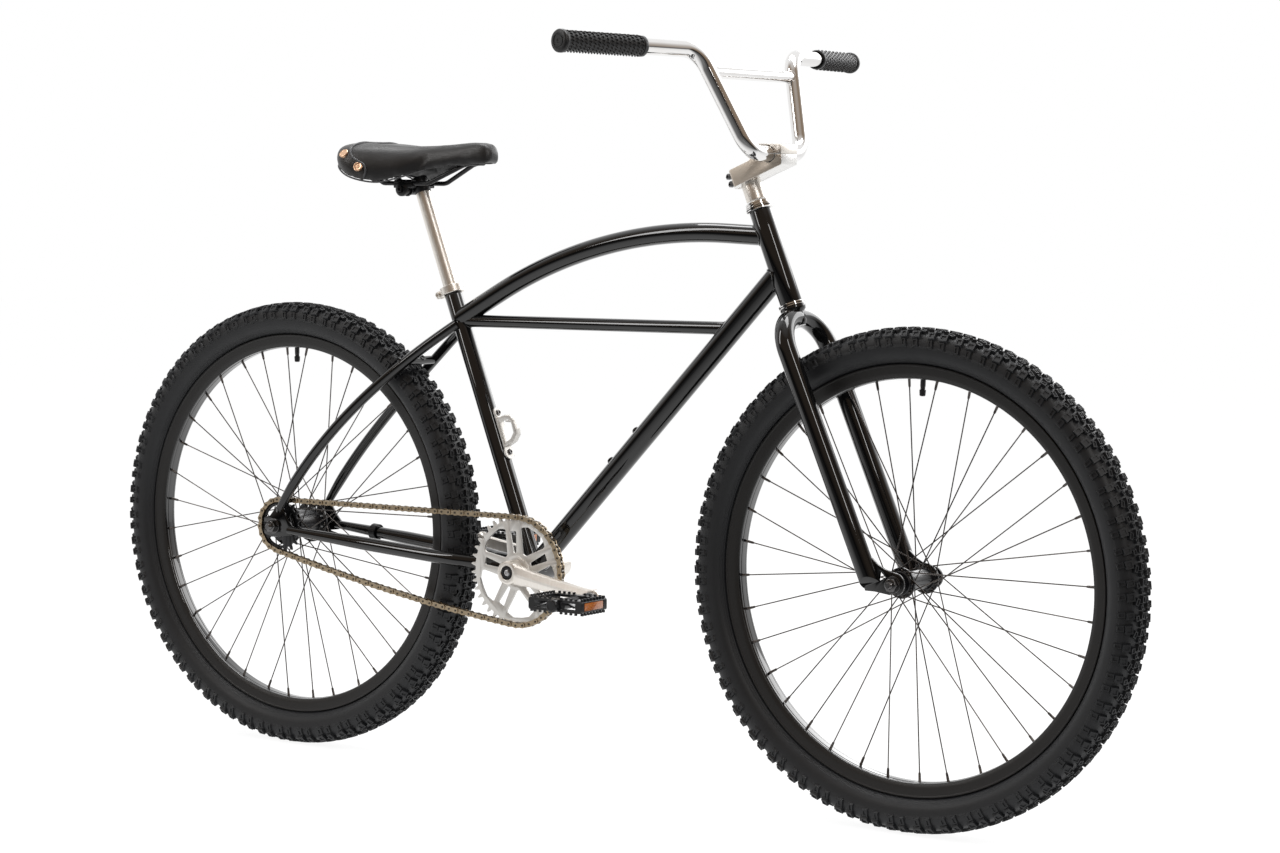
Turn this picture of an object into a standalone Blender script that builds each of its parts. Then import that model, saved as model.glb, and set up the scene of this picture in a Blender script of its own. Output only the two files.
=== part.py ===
# Single-speed cruiser bicycle with a coaster brake, arched top tube, riser bar and 27.5 inch wheels.
# Metres. +X is the direction of travel, +Y the rider's left, +Z up.
# The origin lies on the ground, halfway between the two axles.

import math
import bpy
import bmesh
from mathutils import Vector, Matrix

GAP = 0.0003                    # space between pieces that touch

# Overall layout
TYRE_RADIUS = 0.350
WHEELBASE = 1.117
CHAINSTAY_LENGTH = 0.468        # rear axle to crank axis
CRANK_DROP = 0.0354             # crank axis below the axles
SEAT_ANGLE = 68.7               # degrees from the horizontal
HEAD_ANGLE = 67.4
FORK_OFFSET = 0.0446            # front axle ahead of the steering axis
HEAD_ABOVE_AXLE = 0.4952        # head tube's middle, along the steering axis
HEAD_TUBE_LENGTH = 0.139

# Frame tubes, outside diameters and walls
HEAD_TUBE_WALL = 0.00275
SEAT_TUBE_WALL = 0.0018
SEAT_TUBE_LENGTH = 0.447        # crank axis to its top
TOP_TUBE_OD = 0.0286
DOWN_TUBE_OD = 0.0318
MID_TUBE_OD = 0.0190
CHAINSTAY_OD = 0.0208
SEATSTAY_OD = 0.0159
BRIDGE_OD = 0.0130
SHELL_OD = 0.0400
SHELL_WIDTH = 0.0680
SHELL_WALL = 0.00275

# Places of the tubes on the head tube and the seat tube
TOP_TUBE_ABOVE = 0.0315         # along the head tube, from its middle
DOWN_TUBE_BELOW = 0.0225
TOP_TUBE_RISE = 2.2             # degrees, rising rearwards from the head tube
TOP_TUBE_STRAIGHT = 0.070
TOP_TUBE_TAIL = 0.0832          # straight stretch at the seat tube
TOP_TUBE_BELOW = 0.0503         # where it meets the seat tube, below that tube's top
MID_TUBE_BELOW = 0.0532
MID_TUBE_SLOPE = 0.6            # degrees, rising forwards
SEATSTAY_TOP_BELOW = 0.0580
SEATSTAY_LOW_SLOPE = 57.5       # degrees at the dropout
SEATSTAY_TOP_SLOPE = 35.0       # degrees at the seat tube
BRIDGE_TYRE_ROOM = 0.0063       # seat stay bridge to the tyre
STAY_TYRE_ROOM = 0.0045
STAY_RING_ROOM = 0.0030
BRIDGE_HOLE = 0.0060

# Rear dropouts
REAR_HUB_WIDTH = 0.1104         # between the dropouts
DROPOUT_THICKNESS = 0.0048
AXLE_RADIUS = 0.00475
NUT_RADIUS = 0.0098
NUT_HEIGHT = 0.0085
WASHER_RADIUS = 0.0120
WASHER_HEIGHT = 0.0018
AXLE_END = 0.0055               # axle standing out of its nut

# Fork
FRONT_HUB_WIDTH = 0.1000
STEERER_WALL = 0.0009
BLADE_OD = 0.0278
BLADE_SPREAD = 0.0555           # blade's middle from the wheel's plane
BLADE_FORWARD_TOP = 0.0020      # ahead of the steering axis
BLADE_FORWARD_END = 0.0112
BLADE_FOOT_BELOW = 0.0030       # below the axle, along the steering axis
BLADE_BEVEL = 39.0              # degrees, the foot's cut, rising outwards
CROWN_BELOW = 0.0920            # crown's middle below the head tube's middle
CROWN_BEND = 0.0500
CUP_LIP = 0.0035                # cup and race stand out from the head tube
RACE_LIP = 0.00275
CUP_HEIGHT = 0.0060
LOCKNUT_HEIGHT = 0.0085
FORK_PLATE = 0.0050

# Stem and handlebar
QUILL_OD = 0.0222
QUILL_DEPTH = 0.0750            # part of the quill inside the steerer
STEM_POST_OD = 0.0286
STEM_HEIGHT_ABOVE = 0.1122      # its underside above the head tube's middle
STEM_REAR_HEIGHT = 0.0255
STEM_REACH = 0.0536             # steering axis to bar
STEM_BAR_RISE = 0.0219          # bar's middle above the stem's underside
STEM_WIDTH = 0.0420
STEM_FACE_BEHIND = 0.0142       # the flat sides end here and the rear is round
STEM_DIP = 0.0190               # ahead of the axis, where its top falls to the clamp
STEM_CLAMP_WIDTH = 0.0430
STEM_CLAMP_REACH = 0.0220       # bar's middle to the clamp's front and rear
STEM_CAP_HEIGHT = 0.0142
BAR_OD = 0.0222
BAR_HALF_WIDTH = 0.3754
BAR_RISE = 0.1408
BAR_RISER_FOOT = 0.0686         # half width where the risers start
BAR_RISER_HEAD = 0.1207
BAR_LEAN = 0.0532               # the risers' lean to the rear
BAR_SWEEP = 0.0517              # the grips' sweep to the rear
BAR_END_RISE = 0.0025           # outer ends higher than the bends
BAR_FOOT_BEND = 0.0382
BAR_HEAD_BEND = 0.0435
CROSSBAR_OD = 0.0165
CROSSBAR_SHARE = 0.790          # along the riser, from its foot
GRIP_WALL = 0.0027
GRIP_LENGTH = 0.1540
GRIP_END_WALL = 0.0040

# Seat post and saddle
POST_OD = 0.0222
POST_LENGTH = 0.3200
POST_TOP = 0.6246               # crank axis to the post's top
COLLAR_WALL = 0.00335
COLLAR_HEIGHT = 0.0120
CLAMP_BOLT_BEHIND = 0.0160
CLAMP_SLEEVE_WALL = 0.0008
CLAMP_SLEEVE_HEIGHT = 0.0240
CLAMP_BOLT_RADIUS = 0.0040
CLAMP_DISC_RADIUS = 0.0112
RAIL_RADIUS = 0.0035
RAIL_SPREAD = 0.0220
RAIL_ABOVE_BOLT = 0.0085
SADDLE_LENGTH = 0.2690
SADDLE_DEPTH = 0.0600           # its top to the lowest part of the skirt
SADDLE_BEHIND = 0.1120          # rear end behind the clamp's bolt
SADDLE_ABOVE = 0.0690           # top over that bolt
SADDLE_REAR_HALF = 0.0780
SADDLE_NOSE_HALF = 0.0205
SADDLE_SHELL = 0.0022
SADDLE_ROOF = 0.0120            # least padding over the shell
SADDLE_WALL = 0.0045

# Wheels
TYRE_HALF_WIDTH = 0.0292
KNOB_HEIGHT = 0.0042
KNOB_INSET = 0.0022             # slope of a block's sides
TREAD_HALF = 0.0216
TREAD_DROP = 0.0045
KNOB_ROWS = 32                  # rows of tread blocks; the rim has as many facets
BEAD_RADIUS = 0.2920
RIM_INNER_RADIUS = 0.2790
RIM_OUTER_RADIUS = 0.2990
RIM_HALF_WIDTH = 0.0150
RIM_INNER_HALF = 0.0105
RIM_WALL = 0.0025
TUBE_RADIUS = 0.0180            # inner tube's section
TUBE_CENTRE = 0.3195
HOOK_WALL = 0.0025
TYRE_CASING = 0.0030
SPOKES = 36
SPOKE_RADIUS = 0.0009
SPOKE_CROSS = 3                 # crossings of each spoke
VALVE_RADIUS = 0.0040
VALVE_LENGTH = 0.0240
FRONT_VALVE = 88.0              # degrees from straight ahead, upwards
REAR_VALVE = 91.0
FRONT_SPOKE_PHASE = 3.0
REAR_SPOKE_PHASE = 6.0
FRONT_FLANGE_RADIUS = 0.0215
FRONT_FLANGE_SPREAD = 0.0330
REAR_FLANGE_RADIUS = 0.0325
REAR_FLANGE_SPREAD = 0.0300
FLANGE_THICKNESS = 0.0040
SPOKE_APART = 0.0022            # between the middles of two crossing spokes
FRONT_BARREL_RADIUS = 0.0140
REAR_BARREL_RADIUS = 0.0205
FRONT_HUB_END = 0.0395
REAR_HUB_RIGHT = 0.0415
REAR_HUB_LEFT = 0.0470
HUB_CAP_RADIUS = 0.0170
LOCKNUT_RADIUS = 0.0090

# Drive
PITCH = 0.0127
RING_TEETH = 40
SPROCKET_TEETH = 20
CHAIN_LINE = 0.0435             # chain's middle from the frame's middle
SPROCKET_THICKNESS = 0.0030
RING_THICKNESS = 0.0032
ROLLER_LENGTH = 0.0055
LINK_HEIGHT = 0.0086
LINK_PLATE = 0.0012
CHAIN_INNER = 0.0024            # half the space between the inner plates
CHAIN_PITCHES = 104
TOOTH_ROOT = 0.0046             # below the pitch circle
TOOTH_TIP = 0.0040              # above it
TOOTH_WIDTH = 0.0050
RING_WINDOW_OUT = 0.0680
RING_WINDOW_IN = 0.0275
SLOT_PHASE = 25.0               # degrees
DRIVER_BOSS_RADIUS = 0.0180
DRIVER_BOSS_OUT = 0.0480
CRANK_LENGTH = 0.1700
CRANK_ANGLE = -7.5              # degrees, right crank at rest
CRANK_THICKNESS = 0.0130
CRANK_BOSS_RADIUS = 0.0175
CRANK_EYE_RADIUS = 0.0130
CRANK_BOSS_OUT = 0.0705         # boss's outer face from the frame's middle
CRANK_EYE_OUT = 0.0885
CRANK_BOLT_RADIUS = 0.0096
SPINDLE_RADIUS = 0.0080
SPINDLE_SQUARE = 0.0126
SPINDLE_CORNER = 0.0018         # cut off the square's corners
SPINDLE_ROUND = 0.0500          # half length of its round part
SPINDLE_HALF = 0.0630
CUP_FLANGE = 0.0030
CUP_DEPTH = 0.0120
PEDAL_LENGTH = 0.0930
PEDAL_WIDTH = 0.0630
PEDAL_ROOM = 0.0045             # crank to the pedal's barrel
PEDAL_INNER = 0.0220            # barrel's inner end to the cage
PEDAL_OUTER = 0.0090            # cage to the barrel's outer end
PEDAL_BARREL_RADIUS = 0.0095
PEDAL_HEIGHT = 0.0200
PEDAL_AXLE_RADIUS = 0.0055
PEDAL_THREAD_RADIUS = 0.0070
PEDAL_FRAME = 0.0100            # width of the pedal's bars

# Coaster brake arm and small parts
ARM_LENGTH = 0.1250
ARM_THICKNESS = 0.0030
ARM_OUT = 0.0475
BOSS_SPACING = 0.0640           # water bottle bosses
BOSS_RADIUS = 0.0050
BOSS_HEIGHT = 0.0032
BOSS_PLACE = 0.2515             # crank axis to the middle of the bosses
STRAP_PLACE = 0.1135            # ahead of the rear axle
STRAP_THICKNESS = 0.0020
STRAP_WIDTH = 0.0120
STRAP_BOLT_RADIUS = 0.0025
OPENER_LOW = 0.1783             # its screws, crank axis to each
OPENER_HIGH = 0.2407
OPENER_OUT = 0.0445             # loop's front from the seat tube's axis
OPENER_THICKNESS = 0.0030


def clear(radius, sides):
    """The radius of a bore with flat sides that leaves the gap all round."""
    return (radius + GAP) / math.cos(math.pi / sides)


# Tubes that fit in one another, from the inside out
QUILL_SIDES = 12
CUP_SIDES = 12
HEAD_SIDES = 16
SEAT_SIDES = 14
SHELL_SIDES = 18
TOP_SIDES = 12
DOWN_SIDES = 14
STEERER_BORE = clear(QUILL_OD / 2, QUILL_SIDES)
STEERER_RADIUS = STEERER_BORE + STEERER_WALL
HEAD_BORE = clear(STEERER_RADIUS, HEAD_SIDES)
HEAD_RADIUS = HEAD_BORE + HEAD_TUBE_WALL
SEAT_BORE = clear(POST_OD / 2, SEAT_SIDES)
SEAT_RADIUS = SEAT_BORE + SEAT_TUBE_WALL
SLEEVE_RADIUS = SEAT_BORE + CLAMP_SLEEVE_WALL
SHELL_BORE = SHELL_OD / 2 - SHELL_WALL
GRIP_BORE = clear(BAR_OD / 2, 12)

# Places that follow from the sizes above
REAR_X = -WHEELBASE / 2
FRONT_X = WHEELBASE / 2
CRANK_X = REAR_X + math.sqrt(CHAINSTAY_LENGTH ** 2 - CRANK_DROP ** 2)
CRANK_Z = TYRE_RADIUS - CRANK_DROP
REAR_AXLE = Vector((REAR_X, 0, TYRE_RADIUS))
FRONT_AXLE = Vector((FRONT_X, 0, TYRE_RADIUS))
CRANK = Vector((CRANK_X, 0, CRANK_Z))
ACROSS = Vector((0, 1, 0))
SEAT_UP = Vector((-math.cos(math.radians(SEAT_ANGLE)), 0, math.sin(math.radians(SEAT_ANGLE))))
SEAT_AHEAD = Vector((SEAT_UP.z, 0, -SEAT_UP.x))
STEER_UP = Vector((-math.cos(math.radians(HEAD_ANGLE)), 0, math.sin(math.radians(HEAD_ANGLE))))
STEER_AHEAD = Vector((STEER_UP.z, 0, -STEER_UP.x))
HEAD = FRONT_AXLE + STEER_UP * HEAD_ABOVE_AXLE - STEER_AHEAD * FORK_OFFSET


def steer_point(ahead, above, side=0.0):
    return HEAD + STEER_AHEAD * ahead + STEER_UP * above + ACROSS * side


def seat_point(along, ahead=0.0, side=0.0):
    return CRANK + SEAT_UP * along + SEAT_AHEAD * ahead + ACROSS * side


# Materials

def paint(name, colour, roughness, metallic):
    mat = bpy.data.materials.new(name)
    mat.use_nodes = True
    shader = mat.node_tree.nodes["Principled BSDF"]
    shader.inputs["Base Color"].default_value = (*colour, 1.0)
    shader.inputs["Roughness"].default_value = roughness
    shader.inputs["Metallic"].default_value = metallic
    mat.diffuse_color = (*colour, 1.0)
    return mat


FINISHES = {
    "black_paint": ((0.012, 0.012, 0.013), 0.12, 0.0),
    "chrome": ((0.78, 0.78, 0.78), 0.08, 1.0),
    "polished_alloy": ((0.72, 0.71, 0.69), 0.28, 1.0),
    "black_metal": ((0.02, 0.02, 0.022), 0.35, 0.6),
    "chain_steel": ((0.45, 0.37, 0.26), 0.32, 1.0),
    "steel": ((0.45, 0.45, 0.46), 0.30, 1.0),
    "rubber": ((0.018, 0.018, 0.019), 0.75, 0.0),
    "leather": ((0.016, 0.015, 0.015), 0.45, 0.0),
    "resin": ((0.02, 0.02, 0.02), 0.55, 0.0),
}


# Mesh helpers

def transport(points, closed=False):
    """Directions along a path with two cross directions that don't twist."""
    count = len(points)
    frames = []
    side = None
    for i, p in enumerate(points):
        before = points[i - 1] if i > 0 or closed else p
        after = points[(i + 1) % count] if i < count - 1 or closed else p
        along = (after - before).normalized()
        if side is None:
            side = ACROSS - along * ACROSS.dot(along)
            if side.length < 0.3:
                side = Vector((0, 0, 1)) - along * along.z
        else:
            side = side - along * side.dot(along)
        side = side.normalized()
        frames.append((p, side, along.cross(side)))
    return frames


def skin(rings, loop=False):
    """A closed mesh through rings of points; the ends are filled unless the rings form a loop."""
    bm = bmesh.new()
    rows = [[bm.verts.new(p) for p in ring] for ring in rings]
    sides = len(rows[0])
    pairs = list(zip(rows, rows[1:]))
    if loop:
        pairs.append((rows[-1], rows[0]))
    for a, b in pairs:
        for i in range(sides):
            j = (i + 1) % sides
            bm.faces.new((a[i], a[j], b[j], b[i]))
    if not loop:
        bm.faces.new(list(reversed(rows[0])))
        bm.faces.new(rows[-1])
    bmesh.ops.recalc_face_normals(bm, faces=bm.faces)
    return bm


def ring_at(frame, wide, high, sides, turn=0.5):
    centre, side, up = frame
    ring = []
    for i in range(sides):
        angle = 2 * math.pi * (i + turn) / sides
        ring.append(centre + side * (wide * math.cos(angle)) + up * (high * math.sin(angle)))
    return ring


def swept(points, radii, sides, bore=None):
    """A round bar along a path, or a pipe open at both ends when a bore radius is given."""
    frames = transport(points)
    if not isinstance(radii, (list, tuple)):
        radii = [radii] * len(points)
    outer = [ring_at(f, r, r, sides) for f, r in zip(frames, radii)]
    if bore is None:
        return skin(outer)
    inner = [ring_at(f, bore, bore, sides) for f in reversed(frames)]
    return skin(outer + inner, loop=True)


def turned(base, axis, profile, sides, loop=False, turn=0.5):
    """A turned piece: profile is (distance along the axis, radius)."""
    axis = axis.normalized()
    side = ACROSS - axis * ACROSS.dot(axis)
    if side.length < 0.3:
        side = Vector((1, 0, 0)) - axis * axis.x
    side = side.normalized()
    up = axis.cross(side)
    rings = [ring_at((base + axis * d, side, up), r, r, sides, turn) for d, r in profile]
    return skin(rings, loop)


def plate(outline, low, high, to_world):
    """A flat plate: an outline of (u, v) points, extruded from low to high."""
    bm = bmesh.new()
    face = bm.faces.new([bm.verts.new(to_world(u, v, low)) for u, v in outline])
    up = bmesh.ops.extrude_face_region(bm, geom=[face])
    moved = [v for v in up["geom"] if isinstance(v, bmesh.types.BMVert)]
    bmesh.ops.translate(bm, verts=moved, vec=to_world(0, 0, high) - to_world(0, 0, low))
    bmesh.ops.recalc_face_normals(bm, faces=bm.faces)
    return bm


def wheel_plane(centre):
    """Plates that stand in the plane of a wheel: u forward, v up, the extrusion across."""
    return lambda u, v, w: centre + Vector((u, w, v))


def box(low, high):
    outline = [(low[0], low[1]), (high[0], low[1]), (high[0], high[1]), (low[0], high[1])]
    return plate(outline, low[2], high[2], lambda u, v, w: Vector((u, v, w)))


def arc(cx, cy, radius, start, end, steps):
    """Points on a round stretch, angles in degrees, both ends included."""
    points = []
    for i in range(steps + 1):
        a = math.radians(start + (end - start) * i / steps)
        points.append((cx + radius * math.cos(a), cy + radius * math.sin(a)))
    return points


def fillet(points, radii, steps=4):
    """A path through corner points with each inner corner rounded."""
    path = [points[0]]
    for i in range(1, len(points) - 1):
        corner = points[i]
        a = (points[i - 1] - corner).normalized()
        b = (points[i + 1] - corner).normalized()
        half = a.angle(b) / 2
        reach = radii[i - 1] / math.tan(half)
        centre = corner + (a + b).normalized() * (radii[i - 1] / math.sin(half))
        start = corner + a * reach - centre
        end = corner + b * reach - centre
        for k in range(steps + 1):
            t = k / steps
            sweep = start.angle(end)
            w0 = math.sin((1 - t) * sweep) / math.sin(sweep)
            w1 = math.sin(t * sweep) / math.sin(sweep)
            path.append(centre + start * w0 + end * w1)
    path.append(points[-1])
    return path


def smooth_path(points, steps):
    """A Catmull-Rom curve through chosen points."""
    ends = [points[0] * 2 - points[1]] + points + [points[-1] * 2 - points[-2]]
    path = []
    for i in range(1, len(ends) - 2):
        p0, p1, p2, p3 = ends[i - 1:i + 3]
        for k in range(steps):
            t = k / steps
            path.append(0.5 * (2 * p1 + (p2 - p0) * t + (2 * p0 - 5 * p1 + 4 * p2 - p3) * t ** 2
                               + (3 * p1 - p0 - 3 * p2 + p3) * t ** 3))
    path.append(points[-1])
    return path


# Scene objects

for old in list(bpy.data.objects):
    bpy.data.objects.remove(old, do_unlink=True)


def add_object(name, bm, finish=None, parent=None):
    mesh = bpy.data.meshes.new(name)
    bm.to_mesh(mesh)
    bm.free()
    obj = bpy.data.objects.new(name, mesh)
    bpy.context.scene.collection.objects.link(obj)
    if finish:
        mesh.materials.append(paint(name + "_" + finish, *FINISHES[finish]))
        mesh.shade_smooth()
        mesh.set_sharp_from_angle(angle=math.radians(35))
    if parent:
        obj.parent = parent
        obj.matrix_parent_inverse = Matrix.Translation(-parent.location)
    return obj


def helper(bm, name="helper"):
    """A shape that only cuts or joins; it is left out of the model."""
    obj = add_object(name, bm)
    obj.hide_render = True
    obj.display_type = "WIRE"
    return obj


def combine(obj, operation, bm):
    mod = obj.modifiers.new(operation.lower(), "BOOLEAN")
    mod.operation = operation
    mod.solver = "EXACT"
    mod.object = helper(bm, obj.name + "_" + operation.lower())


def cut(obj, *shapes):
    for bm in shapes:
        combine(obj, "DIFFERENCE", bm)


def join(obj, *shapes):
    for bm in shapes:
        combine(obj, "UNION", bm)


def pivot(name, place, parent=None):
    empty = bpy.data.objects.new(name, None)
    empty.empty_display_size = 0.05
    bpy.context.scene.collection.objects.link(empty)
    empty.location = place
    if parent:
        empty.parent = parent
        empty.matrix_parent_inverse = Matrix.Translation(-parent.location)
    return empty


def gap_cylinder(start, end, radius, sides):
    return swept([start, end], clear(radius, sides), sides)


def gather(shapes):
    """Several separate shapes in one mesh."""
    whole = bmesh.new()
    for bm in shapes:
        mesh = bpy.data.meshes.new("part_of_many")
        bm.to_mesh(mesh)
        bm.free()
        whole.from_mesh(mesh)
        bpy.data.meshes.remove(mesh)
    return whole


def mirrored(side, low, high):
    """A stretch given for the left, on either side, lower y first."""
    return (low, high) if side > 0 else (-high, -low)


# Pivots, each on the line or point its pieces move about
rear_wheel_axis = pivot("rear_wheel_axis", REAR_AXLE)
sprocket_axis = pivot("sprocket_axis", REAR_AXLE)
crank_axis = pivot("crank_axis", CRANK)
steering_axis = pivot("steering_axis", HEAD)
front_wheel_axis = pivot("front_wheel_axis", FRONT_AXLE, steering_axis)
post_slide = pivot("post_slide", seat_point(SEAT_TUBE_LENGTH))
SADDLE_PIVOT = seat_point(POST_TOP - CLAMP_SLEEVE_HEIGHT / 2, -CLAMP_BOLT_BEHIND)
SADDLE_REAR_X = SADDLE_PIVOT.x - SADDLE_BEHIND
SADDLE_TOP_Z = SADDLE_PIVOT.z + SADDLE_ABOVE
saddle_axis = pivot("saddle_axis", SADDLE_PIVOT, post_slide)
stem_slide = pivot("stem_slide", steer_point(0, STEM_HEIGHT_ABOVE), steering_axis)
BAR_CENTRE = steer_point(STEM_REACH, STEM_HEIGHT_ABOVE + STEM_BAR_RISE)
bar_axis = pivot("bar_axis", BAR_CENTRE, stem_slide)


# Frame tubes
HALF_HEAD = HEAD_TUBE_LENGTH / 2
STAY_IN = REAR_HUB_WIDTH / 2
STAY_OUT = STAY_IN + DROPOUT_THICKNESS
STAY_MIDDLE = (STAY_IN + STAY_OUT) / 2
INSIDE_SHELL = SHELL_OD / 4     # tubes start inside the shell and are trimmed to it
MITRE_SHORT = 0.0040            # a wide tube stops this far before the seat tube's axis


def pitch_radius(teeth):
    return PITCH / (2 * math.sin(math.pi / teeth))


def head_cutter():
    reach = HALF_HEAD + 0.03
    return gap_cylinder(steer_point(0, -reach), steer_point(0, reach), HEAD_RADIUS, HEAD_SIDES)


def shell_cutter():
    ends = [CRANK - ACROSS * SHELL_WIDTH, CRANK + ACROSS * SHELL_WIDTH]
    return gap_cylinder(*ends, SHELL_OD / 2, SHELL_SIDES)


def seat_tube_cutter():
    return gap_cylinder(CRANK, seat_point(SEAT_TUBE_LENGTH + 0.05), SEAT_RADIUS, SEAT_SIDES)


def head_tube():
    ends = [steer_point(0, -HALF_HEAD), steer_point(0, HALF_HEAD)]
    add_object("head_tube", swept(ends, HEAD_RADIUS, HEAD_SIDES, HEAD_BORE), "black_paint")


def seat_tube():
    ends = [seat_point(INSIDE_SHELL), seat_point(SEAT_TUBE_LENGTH)]
    tube = add_object("seat_tube", swept(ends, SEAT_RADIUS, SEAT_SIDES, SEAT_BORE), "black_paint")
    cut(tube, shell_cutter())


def bottom_bracket_shell():
    half = SHELL_WIDTH / 2
    outer, inner = SHELL_OD / 2, SHELL_BORE
    profile = [(-half, outer), (half, outer), (half, inner), (-half, inner)]
    add_object("bottom_bracket_shell", turned(CRANK, ACROSS, profile, SHELL_SIDES, loop=True), "black_paint")


def slope_direction(angle):
    """Rearwards and up by an angle in degrees."""
    a = math.radians(angle)
    return Vector((-math.cos(a), 0, math.sin(a)))


def top_tube_path():
    """Straight from the head tube, round the arch, then straight down to its place on the seat tube."""
    def above(angle):
        a = math.radians(angle)
        return Vector((math.sin(a), 0, math.cos(a)))

    start = steer_point(0, TOP_TUBE_ABOVE)
    bend = start + slope_direction(TOP_TUBE_RISE) * TOP_TUBE_STRAIGHT
    meeting = seat_point(SEAT_TUBE_LENGTH - TOP_TUBE_BELOW)
    low, high = 0.0, 80.0
    for _ in range(40):
        fall = (low + high) / 2
        down = slope_direction(-fall)
        chord = meeting - down * TOP_TUBE_TAIL - bend
        if math.degrees(math.atan2(-chord.z, -chord.x)) > (fall - TOP_TUBE_RISE) / 2:
            low = fall
        else:
            high = fall
    radius = chord.length / (2 * math.sin(math.radians(fall + TOP_TUBE_RISE) / 2))
    centre = bend - above(TOP_TUBE_RISE) * radius
    path = [start]
    steps = 6
    for i in range(steps + 1):
        angle = TOP_TUBE_RISE - (TOP_TUBE_RISE + fall) * i / steps
        path.append(centre + above(angle) * radius)
    path.append(meeting - down * MITRE_SHORT)
    return path


def down_tube_ends():
    upper = steer_point(0, -DOWN_TUBE_BELOW)
    along = (upper - CRANK).normalized()
    return CRANK + along * INSIDE_SHELL, upper


def top_tube():
    tube = add_object("top_tube", swept(top_tube_path(), TOP_TUBE_OD / 2, TOP_SIDES), "black_paint")
    cut(tube, head_cutter(), seat_tube_cutter())


def down_tube():
    lower, upper = down_tube_ends()
    along = (upper - lower).normalized()
    out = Vector((-along.z, 0, along.x))
    tube = add_object("down_tube", swept([lower, upper], DOWN_TUBE_OD / 2, DOWN_SIDES), "black_paint")
    face = DOWN_TUBE_OD / 2 + BOSS_HEIGHT
    for shift in (-BOSS_SPACING / 2, BOSS_SPACING / 2):
        foot = CRANK + along * (BOSS_PLACE + shift)
        join(tube, turned(foot, out, [(DOWN_TUBE_OD / 4, BOSS_RADIUS), (face, BOSS_RADIUS)], 8))
    cut(tube, head_cutter(), shell_cutter(), seat_tube_cutter())


def mid_tube():
    lower, upper = down_tube_ends()
    along = (upper - lower).normalized()
    forward = -slope_direction(-MID_TUBE_SLOPE)
    start = seat_point(SEAT_TUBE_LENGTH - MID_TUBE_BELOW)
    over = Vector((-along.z, 0, along.x))
    reach = (lower - start).dot(over) / forward.dot(over)
    bar = swept([start, start + forward * reach], MID_TUBE_OD / 2, 12)
    tube = add_object("mid_tube", bar, "black_paint")
    cut(tube, seat_tube_cutter(), gap_cylinder(lower, upper, DOWN_TUBE_OD / 2, DOWN_SIDES),
        swept(top_tube_path(), clear(TOP_TUBE_OD / 2, TOP_SIDES), TOP_SIDES))


def dropout_plate(side):
    """A track end with a slot open to the rear and lugs for both stays."""
    slot = clear(AXLE_RADIUS, 8)
    tail = -0.0200
    outline = [(tail, -slot), (tail, -0.0130), (-0.0040, -0.0175), (0.0180, -0.0150), (0.0340, -0.0130)]
    outline += [(0.0380, 0.0010), (0.0270, 0.0130), (0.0200, 0.0240), (0.0155, 0.0330), (0.0040, 0.0300)]
    outline += [(-0.0080, 0.0160), (tail, 0.0125), (tail, slot)]
    outline += arc(GAP, 0, slot, 90, -90, 4)
    low, high = mirrored(side, STAY_IN, STAY_OUT)
    return plate(outline, low, high, wheel_plane(REAR_AXLE))


def chainstay_path(side):
    """From the dropout past the tyre, then in beside the chainring to the shell."""
    radius = CHAINSTAY_OD / 2
    beside_tyre = TYRE_HALF_WIDTH + radius + STAY_TYRE_ROOM
    beside_ring = CHAIN_LINE - RING_THICKNESS / 2 - radius - STAY_RING_ROOM
    at_shell = SHELL_WIDTH / 2 - radius
    start = REAR_AXLE + Vector((0.0290, 0, -0.0050))
    tyre_end = REAR_X + TYRE_RADIUS * 0.965
    ring_end = CRANK_X - pitch_radius(RING_TEETH)
    slope = (CRANK_Z - start.z) / (CRANK_X - start.x)

    def at(x, y):
        return Vector((x, side * y, start.z + (x - start.x) * slope))

    path = [at(start.x, STAY_MIDDLE), at((start.x + tyre_end) / 2, (STAY_MIDDLE + beside_tyre) / 2)]
    path.append(at(tyre_end - 0.0150, beside_tyre))
    path.append(at((tyre_end + ring_end) / 2, (beside_tyre + beside_ring) / 2))
    path.append(at(ring_end, beside_ring))
    path += [at(CRANK_X - SHELL_OD * 0.8, at_shell), at(CRANK_X - 0.0060, at_shell)]
    return smooth_path(path, 2)


def chainstay(name, side):
    path = chainstay_path(side)
    radius = CHAINSTAY_OD / 2
    radii = [radius * 0.62] + [radius] * (len(path) - 1)
    stay = add_object(name, swept(path, radii, 10), "black_paint")
    join(stay, dropout_plate(side))
    cut(stay, shell_cutter(), seat_tube_cutter())


def seatstay_point(side, t):
    """A place on the seat stay, from 0 at the dropout to 1 at the seat tube's axis."""
    start = REAR_AXLE + Vector((0.0095, 0, 0.0265))
    end = seat_point(SEAT_TUBE_LENGTH - SEATSTAY_TOP_BELOW)
    low = -slope_direction(-SEATSTAY_LOW_SLOPE)
    top = -slope_direction(-SEATSTAY_TOP_SLOPE)
    apart = end - start
    reach = (apart.x * top.z - apart.z * top.x) / (low.x * top.z - low.z * top.x)
    corner = start + low * reach
    flat = start * (1 - t) ** 2 + corner * (2 * t * (1 - t)) + end * t ** 2
    narrow = SEAT_RADIUS - 0.0018
    return flat + ACROSS * side * (STAY_MIDDLE - (STAY_MIDDLE - narrow) * t ** 3.4)


def seatstay_path(side):
    return [seatstay_point(side, i / 8) for i in range(9)]


def dropout_room(side):
    """The dropout's space with its gap, which slots the seat stay's foot."""
    outline = [(-0.03, -0.02), (0.05, -0.02), (0.05, 0.0300), (0.0160, 0.0345), (0.0000, 0.0320),
               (-0.03, 0.02)]
    low, high = mirrored(side, STAY_IN - GAP, STAY_OUT + GAP)
    return plate(outline, low, high, wheel_plane(REAR_AXLE))


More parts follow.
